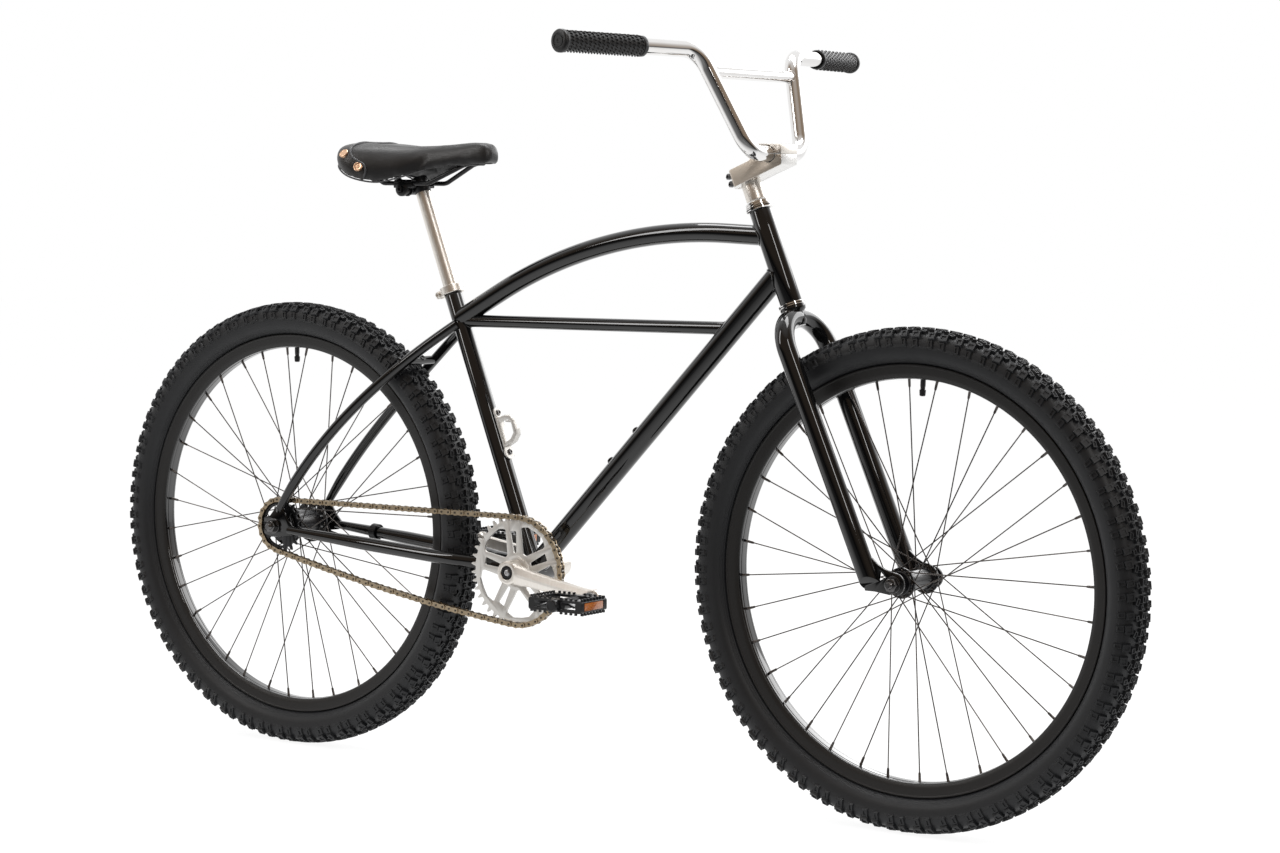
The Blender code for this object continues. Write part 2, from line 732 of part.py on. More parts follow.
def seatstay(name, side):
    radius = SEATSTAY_OD / 2
    path = seatstay_path(side)
    radii = [radius * 0.8] + [radius] * (len(path) - 1)
    stay = add_object(name, swept(path, radii, 8), "black_paint")
    cut(stay, seat_tube_cutter(), dropout_room(side))


def stay_bridge(name, place, half, cutters):
    profile = [(-half, BRIDGE_OD / 2), (half, BRIDGE_OD / 2)]
    bar = add_object(name, turned(place, ACROSS, profile, 10), "black_paint")
    cut(bar, *cutters)
    return bar


def bridge_share():
    """How far up the seat stays their bridge stands, just clear of the tyre."""
    reach = TYRE_RADIUS + BRIDGE_TYRE_ROOM + BRIDGE_OD / 2
    low, high = 0.0, 1.0
    for _ in range(40):
        middle = (low + high) / 2
        away = seatstay_point(1, middle) - REAR_AXLE
        if math.hypot(away.x, away.z) < reach:
            low = middle
        else:
            high = middle
    return low


def seatstay_bridge():
    share = bridge_share()
    ends = [seatstay_point(side, share) for side in (-1, 1)]
    place = (ends[0] + ends[1]) / 2
    cutters = [swept(seatstay_path(side), clear(SEATSTAY_OD / 2, 8), 8) for side in (-1, 1)]
    bar = stay_bridge("seatstay_bridge", place, abs(ends[0].y), cutters)
    outward = (place - REAR_AXLE).normalized()
    cut(bar, turned(place - outward * 0.03, outward, [(0, BRIDGE_HOLE / 2), (0.06, BRIDGE_HOLE / 2)], 10))


def chainstay_bridge():
    right, left = chainstay_path(-1), chainstay_path(1)
    cutters = [swept(path, clear(CHAINSTAY_OD / 2, 10), 10) for path in (right, left)]
    stay_bridge("chainstay_bridge", (right[8] + left[8]) / 2, abs(left[8].y), cutters)


# Headset and fork
CUP_FOOT = HALF_HEAD + GAP
RACE_TOP = CUP_FOOT + CUP_HEIGHT + GAP
LOCKNUT_TOP = RACE_TOP + LOCKNUT_HEIGHT


def headset_cup(name, direction):
    bore = clear(STEERER_RADIUS, CUP_SIDES)
    lip = HEAD_RADIUS + CUP_LIP
    profile = [(0, HEAD_RADIUS + 0.0006), (0.0015, lip), (CUP_HEIGHT, lip), (CUP_HEIGHT, bore), (0, bore)]
    base = steer_point(0, direction * CUP_FOOT)
    add_object(name, turned(base, STEER_UP * direction, profile, CUP_SIDES, loop=True), "chrome")


def headset_locknut():
    bore = clear(STEERER_RADIUS, CUP_SIDES)
    wide = HEAD_RADIUS + RACE_LIP
    profile = [(RACE_TOP, wide), (RACE_TOP + 0.0030, wide), (LOCKNUT_TOP, HEAD_RADIUS + 0.0008),
               (LOCKNUT_TOP, bore), (RACE_TOP, bore)]
    nut = turned(HEAD, STEER_UP, profile, CUP_SIDES, loop=True)
    add_object("headset_locknut", nut, "chrome", steering_axis)


def blade_end(side):
    """The blade's lower end, behind the axle."""
    below = (FRONT_AXLE - HEAD).dot(STEER_UP) - BLADE_FOOT_BELOW
    return steer_point(BLADE_FORWARD_END, below, side * BLADE_SPREAD)


def blade(side):
    """Out of the steerer, round a wide shoulder, then straight down past the wheel."""
    inner = steer_point(0, -CROWN_BELOW, -side * 0.0040)
    corner = steer_point(BLADE_FORWARD_TOP, -CROWN_BELOW, side * BLADE_SPREAD)
    return swept(fillet([inner, corner, blade_end(side)], [CROWN_BEND], 3), BLADE_OD / 2, 10)


def foot_cutter(side):
    """Everything under a slope across the blade's foot, which rises outwards."""
    tip = blade_end(side) + STEER_UP * 0.0030 - ACROSS * side * BLADE_OD / 2
    rise = math.tan(math.radians(BLADE_BEVEL))

    def to_world(u, v, w):
        return tip + ACROSS * side * u + STEER_UP * v + STEER_AHEAD * w

    outline = [(-0.01, -0.01 * rise), (0.05, 0.05 * rise), (0.05, -0.04), (-0.01, -0.04)]
    return plate(outline, -0.03, 0.03, to_world)


def fork_plate(side):
    """A dropout that reaches forward from the blade's foot, with a slot open downwards."""
    slot = clear(AXLE_RADIUS, 8)
    foot = -0.0150
    outline = [(-slot, foot), (-slot, 0)] + arc(0, GAP, slot, 180, 0, 4) + [(slot, 0), (slot, foot)]
    outline += arc(0, 0, 0.0165, -50, 62, 3)
    outline += [(-0.0300, 0.0460), (-0.0480, 0.0400), (-0.0450, -0.0120), (-0.0300, -0.0120)]
    low, high = mirrored(side, FRONT_HUB_WIDTH / 2 + GAP, FRONT_HUB_WIDTH / 2 + GAP + FORK_PLATE)
    return plate(outline, low, high, wheel_plane(FRONT_AXLE))


def fork_window(side):
    outline = [(-0.0230, 0.0110), (-0.0180, 0.0180), (-0.0170, -0.0040)]
    low, high = mirrored(side, 0.0400, 0.0700)
    return plate(outline, low, high, wheel_plane(FRONT_AXLE))


def fork():
    outer = STEERER_RADIUS
    race = HEAD_RADIUS + RACE_LIP
    foot = -CROWN_BELOW - BLADE_OD / 4
    profile = [(foot, outer), (-RACE_TOP - 0.0070, outer), (-RACE_TOP - 0.0060, race),
               (-RACE_TOP, race), (-RACE_TOP, outer), (LOCKNUT_TOP, outer)]
    obj = add_object("fork", turned(HEAD, STEER_UP, profile, 14), "black_paint", steering_axis)
    join(obj, blade(-1), blade(1))
    cut(obj, foot_cutter(-1), foot_cutter(1))
    join(obj, fork_plate(-1), fork_plate(1))
    cut(obj, fork_window(-1), fork_window(1))
    reach = [(-CROWN_BELOW - BLADE_OD, STEERER_BORE), (LOCKNUT_TOP + 0.01, STEERER_BORE)]
    cut(obj, turned(HEAD, STEER_UP, reach, QUILL_SIDES))


# Stem and handlebar
STEM_TOP = STEM_HEIGHT_ABOVE + STEM_REAR_HEIGHT
STEM_REAR = math.hypot(STEM_FACE_BEHIND, STEM_WIDTH / 2)


def beside_bar(ahead, above):
    """A place given from the head tube, as forward and up from the bar's middle."""
    apart = steer_point(ahead, above) - BAR_CENTRE
    return apart.x, apart.z


def stem_corner(side):
    """What the stem's round rear leaves out on one side."""
    half = STEM_WIDTH / 2
    start = math.degrees(math.atan2(half, -STEM_FACE_BEHIND))
    outline = arc(0, 0, STEM_REAR, start, 180, 4)
    outline += [(-STEM_REAR - 0.01, 0), (-STEM_REAR - 0.01, half + 0.01), (-STEM_FACE_BEHIND, half + 0.01)]
    low, high = STEM_HEIGHT_ABOVE - 0.01, STEM_TOP + 0.01
    return plate(outline, low, high, lambda u, v, w: steer_point(u, w, side * v))


def stem_quill():
    quill, post = QUILL_OD / 2, STEM_POST_OD / 2
    profile = [(LOCKNUT_TOP - QUILL_DEPTH, quill), (LOCKNUT_TOP + GAP, quill), (LOCKNUT_TOP + GAP, post),
               (STEM_TOP - GAP, post)]
    add_object("stem_quill", turned(HEAD, STEER_UP, profile, QUILL_SIDES), "polished_alloy", stem_slide)


def stem_body():
    """A level half clamp under the bar, on a block that slopes with the steering axis."""
    foot = STEM_HEIGHT_ABOVE
    rear = GAP * 3 - STEM_REAR
    reach = STEM_CLAMP_REACH
    seat = clear(BAR_OD / 2, 16)
    under = beside_bar(0, foot)
    rise = (reach - under[0]) * STEER_AHEAD.z / STEER_AHEAD.x
    outline = [beside_bar(rear, foot), (reach, under[1] + rise), (reach, -GAP)]
    outline += arc(0, -GAP, seat, 0, -180, 8)
    outline += [(-reach, -GAP), beside_bar(STEM_DIP, STEM_TOP), beside_bar(rear, STEM_TOP)]
    half = STEM_WIDTH / 2
    shape = plate(outline, -half, half, wheel_plane(BAR_CENTRE))
    body = add_object("stem_body", shape, "polished_alloy", stem_slide)
    low, high = foot - 0.01, STEM_TOP + 0.01
    cut(body, swept([steer_point(0, low), steer_point(0, high)], clear(STEM_POST_OD / 2, 12), 12))
    cut(body, stem_corner(-1), stem_corner(1))
    slit = [(rear - 0.01, low), (0, low), (0, high), (rear - 0.01, high)]
    cut(body, plate(slit, -0.001, 0.001, steer_point))


def stem_cap():
    """The upper half of the clamp."""
    reach, top = STEM_CLAMP_REACH, STEM_CAP_HEIGHT
    outline = [(reach, GAP), (reach, top - 0.0030), (reach - 0.0030, top), (0.0060 - reach, top)]
    outline += [(-reach, top - 0.0060), (-reach, GAP)]
    outline += arc(0, GAP, clear(BAR_OD / 2, 16), 180, 0, 8)
    half = STEM_CLAMP_WIDTH / 2
    shape = plate(outline, -half, half, wheel_plane(BAR_CENTRE))
    add_object("stem_cap", shape, "polished_alloy", stem_slide)


def bar_corners(side):
    foot = BAR_CENTRE + ACROSS * side * BAR_RISER_FOOT
    head = BAR_CENTRE + Vector((-BAR_LEAN, side * BAR_RISER_HEAD, BAR_RISE))
    tip = BAR_CENTRE + Vector((-BAR_LEAN - BAR_SWEEP, side * BAR_HALF_WIDTH, BAR_RISE + BAR_END_RISE))
    return foot, head, tip


def bar_half(side):
    foot, head, tip = bar_corners(side)
    end = tip + (head - tip).normalized() * (GRIP_END_WALL + GAP)
    return fillet([BAR_CENTRE, foot, head, end], [BAR_FOOT_BEND, BAR_HEAD_BEND], 3)


def handlebar():
    path = list(reversed(bar_half(-1))) + bar_half(1)[1:]
    bar = add_object("handlebar", swept(path, BAR_OD / 2, 10), "chrome", bar_axis)
    ends = []
    for side in (-1, 1):
        foot, head, _ = bar_corners(side)
        ends.append(foot.lerp(head, CROSSBAR_SHARE))
    join(bar, swept(ends, CROSSBAR_OD / 2, 8))


def grip(name, side):
    _, head, tip = bar_corners(side)
    bore = GRIP_BORE
    outer = GRIP_BORE + GRIP_WALL
    body = outer - 0.0006
    profile = [(0, body), (0.0020, outer), (0.0060, outer), (0.0075, body), (GRIP_LENGTH, body),
               (GRIP_LENGTH, bore), (GRIP_END_WALL, bore)]
    add_object(name, turned(tip, head - tip, profile, 12), "rubber", bar_axis)


# Seat post, collar and saddle

def seat_post():
    low = POST_TOP - POST_LENGTH
    radius = POST_OD / 2
    profile = [(low, radius), (POST_TOP - 0.0010, radius), (POST_TOP, radius - 0.0010)]
    add_object("seat_post", turned(CRANK, SEAT_UP, profile, SEAT_SIDES), "polished_alloy", post_slide)


def seat_frame(u, v, w):
    return seat_point(v, u, w)


def seat_collar():
    inner = clear(SEAT_RADIUS, SEAT_SIDES)
    outer = inner + COLLAR_WALL
    foot = SEAT_TUBE_LENGTH - COLLAR_HEIGHT + 0.0020
    top = foot + COLLAR_HEIGHT
    over = SEAT_TUBE_LENGTH + GAP
    hole = SEAT_BORE + GAP
    profile = [(foot, outer), (top, outer), (top, hole), (over, hole), (over, inner), (foot, inner)]
    band = turned(CRANK, SEAT_UP, profile, SEAT_SIDES, loop=True)
    collar = add_object("seat_collar", band, "polished_alloy")
    far, near = -outer - 0.0110, -inner - 0.0012
    ear = [(far, foot + 0.001), (near, foot + 0.001), (near, top - 0.001), (far, top - 0.001)]
    join(collar, plate(ear, -0.0065, 0.0065, seat_frame))
    far, near = far - 0.01, -POST_OD / 4
    slit = [(far, foot - 0.01), (near, foot - 0.01), (near, top + 0.01), (far, top + 0.01)]
    cut(collar, plate(slit, -0.0010, 0.0010, seat_frame))
    bolt = [(-0.0090, 0.0038), (-0.0060, 0.0038), (-0.0060, 0.0022), (0.0060, 0.0022), (0.0060, 0.0036),
            (0.0085, 0.0036)]
    join(collar, turned(seat_point((foot + top) / 2, -outer - 0.0055), ACROSS, bolt, 6))


def clamp_sleeve():
    """A sleeve round the post's top with a lug behind it for the cross bolt."""
    outer = SLEEVE_RADIUS
    foot = POST_TOP - CLAMP_SLEEVE_HEIGHT
    tube = turned(CRANK, SEAT_UP, [(foot, outer), (POST_TOP, outer)], SEAT_SIDES)
    sleeve = add_object("seat_clamp_sleeve", tube, "black_metal", post_slide)
    join(sleeve, turned(SADDLE_PIVOT, ACROSS, [(-outer, 0.0088), (outer, 0.0088)], 8))
    bolt = clear(CLAMP_BOLT_RADIUS, 10)
    bore = [(foot - 0.02, SEAT_BORE), (POST_TOP + 0.02, SEAT_BORE)]
    cut(sleeve, turned(CRANK, SEAT_UP, bore, SEAT_SIDES),
        turned(SADDLE_PIVOT, ACROSS, [(-0.03, bolt), (0.03, bolt)], 10))


RAIL_Z = SADDLE_PIVOT.z + RAIL_ABOVE_BOLT


def rail_corners(side):
    """One rail: down from the rear socket, flat through the clamp, then up to the nose."""
    height = SADDLE_TOP_Z - RAIL_Z

    def at(share, out, up):
        return Vector((SADDLE_REAR_X + SADDLE_LENGTH * share, side * RAIL_SPREAD * out, RAIL_Z + height * up))

    return [at(0.160, 1.3, 0.330), at(0.271, 1.05, 0), at(0.590, 1, 0), at(0.816, 0.50, 0.471),
            at(0.896, 0.28, 0.554)]


def whole_rail():
    corners = rail_corners(-1) + list(reversed(rail_corners(1)))
    wide, small, nose = SADDLE_LENGTH * 0.104, SADDLE_LENGTH * 0.035, RAIL_SPREAD * 0.25
    return fillet(corners, [small, wide, wide, nose, nose, wide, wide, small], 1)


def saddle_rails():
    add_object("saddle_rails", swept(whole_rail(), RAIL_RADIUS, 6), "black_metal", saddle_axis)


def saddle_clamp():
    """The cross bolt with its toothed discs, and the jaws that grip the rails."""
    bolt = CLAMP_BOLT_RADIUS
    disc = CLAMP_DISC_RADIUS
    face = SLEEVE_RADIUS + GAP
    end = RAIL_SPREAD + 0.0110
    half = [(face, bolt), (face, disc), (end - 0.0030, disc), (end, disc - 0.0035)]
    profile = [(-d, r) for d, r in reversed(half)] + half
    bar = turned(SADDLE_PIVOT, ACROSS, profile, 8)
    clamp = add_object("saddle_clamp", bar, "black_metal", saddle_axis)
    top = RAIL_ABOVE_BOLT + RAIL_RADIUS + 0.0025
    outline = [(-0.0170, 0.0010), (0.0200, 0.0010), (0.0200, top - 0.0025), (0.0150, top), (-0.0130, top),
               (-0.0170, top - 0.0025)]
    for side in (-1, 1):
        low, high = mirrored(side, RAIL_SPREAD - 0.0068, RAIL_SPREAD + 0.0068)
        join(clamp, plate(outline, low, high, wheel_plane(SADDLE_PIVOT)))
    for side in (-1, 1):
        cut(clamp, swept(rail_corners(side)[1:3], clear(RAIL_RADIUS, 6), 6))


def saddle_shape():
    """Stations from the rear to the nose: share of length, half width, top and skirt heights."""
    wide, nose, deep = SADDLE_REAR_HALF, SADDLE_NOSE_HALF, SADDLE_DEPTH
    rows = [(0.000, wide * 0.45, -0.217, -0.350), (0.020, wide * 0.60, -0.100, -0.440),
            (0.070, wide * 0.90, -0.017, -0.620), (0.150, wide, 0.000, -0.830),
            (0.250, wide * 0.93, -0.017, -0.958), (0.350, wide * 0.81, -0.050, -0.988),
            (0.460, wide * 0.66, -0.083, -0.867), (0.580, wide * 0.48, -0.075, -0.708),
            (0.700, nose * 1.46, -0.050, -0.613), (0.820, nose * 1.16, 0.000, -0.575),
            (0.910, nose * 1.02, 0.033, -0.547), (0.970, nose * 0.88, -0.017, -0.517),
            (1.000, nose * 0.50, -0.183, -0.425)]
    return [(share, half, deep * top, deep * skirt) for share, half, top, skirt in rows]


def saddle_roof(top, skirt):
    return SADDLE_TOP_Z + top - max(SADDLE_ROOF, 0.34 * (top - skirt))


def across_ring(x, right):
    """A ring of points from those of the right half, top to bottom."""
    return [Vector((x, -y, z)) for y, z in right] + [Vector((x, y, z)) for y, z in reversed(right)]


def saddle_pad():
    """Padding with a crowned top, drawn-in sides and a hollow underside."""
    outer = []
    hollow = []
    stations = saddle_shape()
    for i, (share, half, top, skirt) in enumerate(stations):
        x = SADDLE_REAR_X + SADDLE_LENGTH * share
        high = SADDLE_TOP_Z + top
        low = SADDLE_TOP_Z + skirt
        depth = high - low
        crown = [(half * 0.22, high - depth * 0.03), (half * 0.50, high), (half * 0.76, high - depth * 0.10)]
        flank = [(half * 0.93, high - depth * 0.30), (half, high - depth * 0.62), (half * 0.95, low)]
        outer.append(across_ring(x, crown + flank))
        if 1 < i < len(stations) - 2:
            roof = saddle_roof(top, skirt)
            inside = half * 0.95 - min(SADDLE_WALL, half * 0.3)
            hollow.append(across_ring(x, [(half * 0.45, roof), (inside, min(roof - 0.003, low + depth * 0.4)),
                                          (inside, low - 0.02)]))
    pad = add_object("saddle_pad", skin(outer), "leather", saddle_axis)
    cut(pad, skin(hollow))


def saddle_base():
    """A moulded shell under the padding, with sockets for the ends of the rails."""
    rings = []
    for share, half, top, skirt in saddle_shape()[2:-2]:
        x = SADDLE_REAR_X + SADDLE_LENGTH * share
        roof = saddle_roof(top, skirt) - GAP * 1.6
        rings.append(across_ring(x, [(half * 0.42, roof), (half * 0.42, roof - SADDLE_SHELL)]))
    for ring, shift in ((rings[0], GAP * 2), (rings[-1], -GAP * 2)):
        for p in ring:
            p.x += shift
    base = add_object("saddle_base", skin(rings), "resin", saddle_axis)
    rear_low, nose = rail_corners(1)[0], rail_corners(1)[-1]
    stations = saddle_shape()
    roof = saddle_roof(*stations[3][2:]) - SADDLE_SHELL / 2 - GAP
    for side in (-1, 1):
        low, high = mirrored(side, rear_low.y - 0.0070, rear_low.y + 0.0030)
        corner = (rear_low.x - 0.0080, low, rear_low.z - 0.0060)
        join(base, box(corner, (rear_low.x + 0.0060, high, roof)))
    nose_roof = saddle_roof(*stations[-3][2:]) - SADDLE_SHELL / 2 - GAP * 2
    join(base, box((nose.x - 0.0110, -0.0080, nose.z - 0.0055), (nose.x + 0.0030, 0.0080, nose_roof)))
    path = whole_rail()
    path[0] = path[0] + (path[0] - path[1]).normalized() * GAP * 2
    path[-1] = path[-1] + (path[-1] - path[-2]).normalized() * GAP * 2
    cut(base, swept(path, clear(RAIL_RADIUS, 6) + GAP, 6))


# Wheels

def round_ring(place, section, segments):
    """A closed ring about the wheel's axis from a loop of (radius, y); a flat faces the ground."""
    rings = []
    for i in range(segments):
        a = 2 * math.pi * (i + 0.5) / segments
        rings.append([place + Vector((r * math.cos(a), y, r * math.sin(a))) for r, y in section])
    return skin(rings, loop=True)


def both_sides(half):
    """A section's right half, then its mirror image."""
    return [(r, -y) for r, y in half] + [(r, y) for r, y in reversed(half)]


def outwards(angle):
    a = math.radians(angle)
    return Vector((math.cos(a), 0, math.sin(a)))


def rim(name, place, angle, parent):
    """A deep channel for the tyre's beads, with a hole for the valve."""
    floor = RIM_INNER_RADIUS + RIM_WALL
    section = both_sides([(floor, RIM_INNER_HALF - 0.0015), (RIM_OUTER_RADIUS, RIM_HALF_WIDTH - HOOK_WALL),
                          (RIM_OUTER_RADIUS, RIM_HALF_WIDTH), (RIM_INNER_RADIUS, RIM_INNER_HALF)])
    obj = add_object(name, round_ring(place, section, KNOB_ROWS), "black_paint", parent)
    hole = clear(VALVE_RADIUS, 8)
    cut(obj, turned(place, outwards(angle), [(RIM_INNER_RADIUS - 0.01, hole), (floor + 0.01, hole)], 8))


def inner_tube(name, place, angle, parent):
    """A round tube inside the tyre, with its valve through the rim."""
    section = [(TUBE_CENTRE + TUBE_RADIUS * c, TUBE_RADIUS * w) for c, w in arc(0, 0, 1, 0, 288, 4)]
    obj = add_object(name, round_ring(place, section, 14), "rubber", parent)
    tip = RIM_INNER_RADIUS - VALVE_LENGTH
    stem = [(tip, VALVE_RADIUS * 0.8), (tip + 0.008, VALVE_RADIUS),
            (TUBE_CENTRE - TUBE_RADIUS / 2, VALVE_RADIUS)]
    join(obj, turned(place, outwards(angle), stem, 8))


def rim_inside(radius):
    """Half the space between the rim's walls at a radius."""
    floor = RIM_INNER_RADIUS + RIM_WALL
    share = (radius - floor) / (RIM_OUTER_RADIUS - floor)
    low, high = RIM_INNER_HALF - 0.0015, RIM_HALF_WIDTH - HOOK_WALL
    return low + (high - low) * share


def tyre(name, place, parent):
    """A casing with beads inside the rim, and tread blocks on its two sides in turn."""
    crown = TYRE_RADIUS - KNOB_HEIGHT
    wide = TYRE_HALF_WIDTH
    heel = rim_inside(BEAD_RADIUS) - GAP * 1.5
    inside = wide - TYRE_CASING
    half = [(crown - 0.0210, inside), (BEAD_RADIUS, heel - 0.0027), (BEAD_RADIUS, heel),
            (RIM_OUTER_RADIUS + 0.0010, rim_inside(RIM_OUTER_RADIUS) - GAP * 1.5),
            (RIM_OUTER_RADIUS + 0.0125, wide * 0.90), (crown - 0.0170, wide),
            (crown - TREAD_DROP, TREAD_HALF)]
    section = [(r, -y) for r, y in half] + [(crown, 0)] + [(r, y) for r, y in reversed(half)]
    section.append((crown - TYRE_CASING, 0))
    flat = 1 / math.cos(math.pi / KNOB_ROWS)
    bm = round_ring(place, [(r * flat if r > crown - 0.02 else r, y) for r, y in section], KNOB_ROWS)
    bm.faces.ensure_lookup_table()
    right = len(half) - 1
    blocks = [bm.faces[row * len(section) + right + row % 2] for row in range(KNOB_ROWS)]
    tilt = math.atan2(TREAD_DROP, TREAD_HALF)
    depth = (KNOB_HEIGHT + KNOB_INSET * math.sin(tilt)) / math.cos(tilt)
    bmesh.ops.inset_individual(bm, faces=blocks, thickness=KNOB_INSET, depth=depth, use_even_offset=True)
    add_object(name, bm, "rubber", parent)


def spokes(place, flange, spread, phase):
    """Thirty-six spokes crossing three times, drawn as one mesh to join to the hub."""
    shapes = []
    head = RIM_INNER_RADIUS * math.cos(math.pi / KNOB_ROWS) - GAP * 2
    for k in range(SPOKES):
        side = -1 if k % 2 == 0 else 1
        turn = 1 if k // 2 % 2 == 0 else -1
        far = math.radians(phase + 360 * k / SPOKES)
        near = far + turn * math.radians(SPOKE_CROSS * 720 / SPOKES)
        shift = turn * SPOKE_APART / 2
        hole = flange - 0.0035
        a = place + Vector((hole * math.cos(near), side * (spread + shift), hole * math.sin(near)))
        b = place + Vector((head * math.cos(far), side * (0.0030 + shift), head * math.sin(far)))
        shapes.append(swept([a, b], SPOKE_RADIUS, 3))
    return gather(shapes)


def hub(name, place, right, left, flange, spread, barrel, phase, parent):
    thick = FLANGE_THICKNESS / 2
    profile = [(-right, HUB_CAP_RADIUS), (-spread - thick, HUB_CAP_RADIUS), (-spread - thick, flange),
               (-spread + thick, flange), (-spread + thick + 0.004, barrel), (spread - thick - 0.004, barrel),
               (spread - thick, flange), (spread + thick, flange), (spread + thick, HUB_CAP_RADIUS),
               (left, HUB_CAP_RADIUS)]
    obj = add_object(name, turned(place, ACROSS, profile, 10), "black_metal", parent)
    join(obj, spokes(place, flange, spread, phase))
    bore = clear(AXLE_RADIUS, 8)
    cut(obj, turned(place, ACROSS, [(-0.08, bore), (0.08, bore)], 8))


def axle(name, place, inner, right_stop, left_stop, end, parent=None):
    """An axle with its locknuts between the dropouts and the hub."""
    face = inner - GAP
    profile = [(-end, AXLE_RADIUS), (-face, AXLE_RADIUS), (-face, LOCKNUT_RADIUS),
               (-right_stop, LOCKNUT_RADIUS), (-right_stop, AXLE_RADIUS), (left_stop, AXLE_RADIUS),
               (left_stop, LOCKNUT_RADIUS), (face, LOCKNUT_RADIUS), (face, AXLE_RADIUS), (end, AXLE_RADIUS)]
    add_object(name, turned(place, ACROSS, profile, 8), "steel", parent)


def axle_nut(name, place, side, foot, parent=None):
    """A hexagon nut with its washer."""
    out = ACROSS * side
    washer = [(foot, WASHER_RADIUS), (foot + WASHER_HEIGHT, WASHER_RADIUS)]
    hexagon = [(foot + WASHER_HEIGHT / 2, NUT_RADIUS), (foot + WASHER_HEIGHT + NUT_HEIGHT, NUT_RADIUS)]
    nut = add_object(name, turned(place, out, washer, 10), "chrome", parent)
    join(nut, turned(place, out, hexagon, 6))
    bore = clear(AXLE_RADIUS, 8)
    cut(nut, turned(place, out, [(foot - 0.01, bore), (foot + 0.03, bore)], 8))


# Drive

def drive_line():
    """The chain's pins in order: round the ring, back along the top, round the sprocket, home below."""
    ring, small = pitch_radius(RING_TEETH), pitch_radius(SPROCKET_TEETH)
    apart = CRANK - REAR_AXLE
    base = math.atan2(apart.z, apart.x)
    beta = math.asin((ring - small) / apart.length)
    top = base + math.pi / 2 + beta
    bottom = base - math.pi / 2 - beta

    def on(centre, radius, angle):
        return Vector((centre.x + radius * math.cos(angle), 0, centre.z + radius * math.sin(angle)))

    step = 2 * math.pi / RING_TEETH
    wrap = int((top - bottom) / step)
    pins = [on(CRANK, ring, top - step * k) for k in range(wrap, -1, -1)]
    back = Vector((-math.sin(top), 0, math.cos(top)))
    straight = int(apart.length * math.cos(beta) / PITCH)
    start = pins[-1]
    pins += [start + back * (PITCH * (k + 1)) for k in range(straight)]
    low, high = 0.0, math.pi / 6
    for _ in range(50):
        mid = (low + high) / 2
        if (on(REAR_AXLE, small, top + mid) - pins[-1]).length < PITCH:
            low = mid
        else:
            high = mid
    first = top + low
    step = 2 * math.pi / SPROCKET_TEETH
    wrap = int((2 * math.pi + bottom - first) / step)
    pins += [on(REAR_AXLE, small, first + step * k) for k in range(wrap + 1)]
    links = CHAIN_PITCHES - len(pins) + 1
    pins += slack_run(pins[-1], pins[0], links)
    return pins, top, first


def slack_run(start, end, links):
    """Pins of a hanging run with a given number of links between two places."""
    chord = (end - start).length
    low, high = 1e-6, math.pi / (2 * links)
    for _ in range(60):
        mid = (low + high) / 2
        if PITCH * math.sin(links * mid) / math.sin(mid) > chord:
            low = mid
        else:
            high = mid
    along = (end - start).normalized()
    down = Vector((along.z, 0, -along.x))
    pins = []
    place = start.copy()
    for k in range(links - 1):
        angle = low * (links - 1 - 2 * k)
        place = place + (along * math.cos(angle) + down * math.sin(angle)) * PITCH
        pins.append(place.copy())
    return pins


def chain():
    """Inner and outer plates in turn along both sides, with a roller between them at every pin."""
    pins, _, _ = drive_line()
    count = len(pins)
    bm = bmesh.new()
    rings = []
    half = LINK_HEIGHT / 2
    step_out = LINK_PLATE + GAP / 3
    for i, p in enumerate(pins):
        before = (p - pins[i - 1]).normalized()
        after = (pins[(i + 1) % count] - p).normalized()
        along = (before + after).normalized()
        up = Vector((-along.z, 0, along.x))
        for reach, link in ((-ROLLER_LENGTH / 2, i - 1), (ROLLER_LENGTH / 2, i)):
            inner = CHAIN_INNER + (step_out if link % 2 else 0)
            outer = inner + LINK_PLATE
            row = []
            for side in (-1, 1):
                for y, h in ((inner, half), (outer, half), (outer, -half), (inner, -half)):
                    place = p + along * reach + up * h
                    row.append(bm.verts.new(place + ACROSS * (side * y - CHAIN_LINE)))
            rings.append(row)
    total = len(rings)
    for k in range(total):
        a, b = rings[k], rings[(k + 1) % total]
        at_pin = k % 2 == 0
        for base in (0, 4):
            for j in range(3 if at_pin else 4):
                n = (j + 1) % 4
                bm.faces.new((a[base + j], a[base + n], b[base + n], b[base + j]))
        if at_pin:
            bm.faces.new((a[0], a[4], b[4], b[0]))
            bm.faces.new((a[3], b[3], b[7], a[7]))
            bm.faces.new((a[0], a[3], a[7], a[4]))
            bm.faces.new((b[0], b[4], b[7], b[3]))
    bmesh.ops.recalc_face_normals(bm, faces=bm.faces)
    add_object("chain", bm, "chain_steel")


def toothed_outline(teeth, phase):
    """Teeth of constant pitch; phase is the angle of one tooth."""
    radius = pitch_radius(teeth)
    root, tip = radius - TOOTH_ROOT, radius + TOOTH_TIP
    outline = []
    for k in range(teeth):
        middle = phase + 2 * math.pi * k / teeth
        for r, share in ((root, -0.50), (tip, -0.22), (tip, 0.22), (root, 0.50)):
            a = middle + TOOTH_WIDTH * share / r
            outline.append((r * math.cos(a), r * math.sin(a)))
    return outline


def turned_outline(points, degrees):
    c, s = math.cos(math.radians(degrees)), math.sin(math.radians(degrees))
    return [(u * c - v * s, u * s + v * c) for u, v in points]


def ring_window():
    inner, outer = RING_WINDOW_IN, RING_WINDOW_OUT
    half = [(inner + 0.0020, 0.0040), (outer - 0.0080, 0.0262), (outer - 0.0018, 0.0150)]
    return [(u, -v) for u, v in half] + [(u, v) for u, v in reversed(half)]


def ring_slot():
    return [(0.0280, -0.0032), (0.0590, -0.0058), (0.0612, -0.0036), (0.0612, 0.0036), (0.0590, 0.0058),
            (0.0280, 0.0032)]


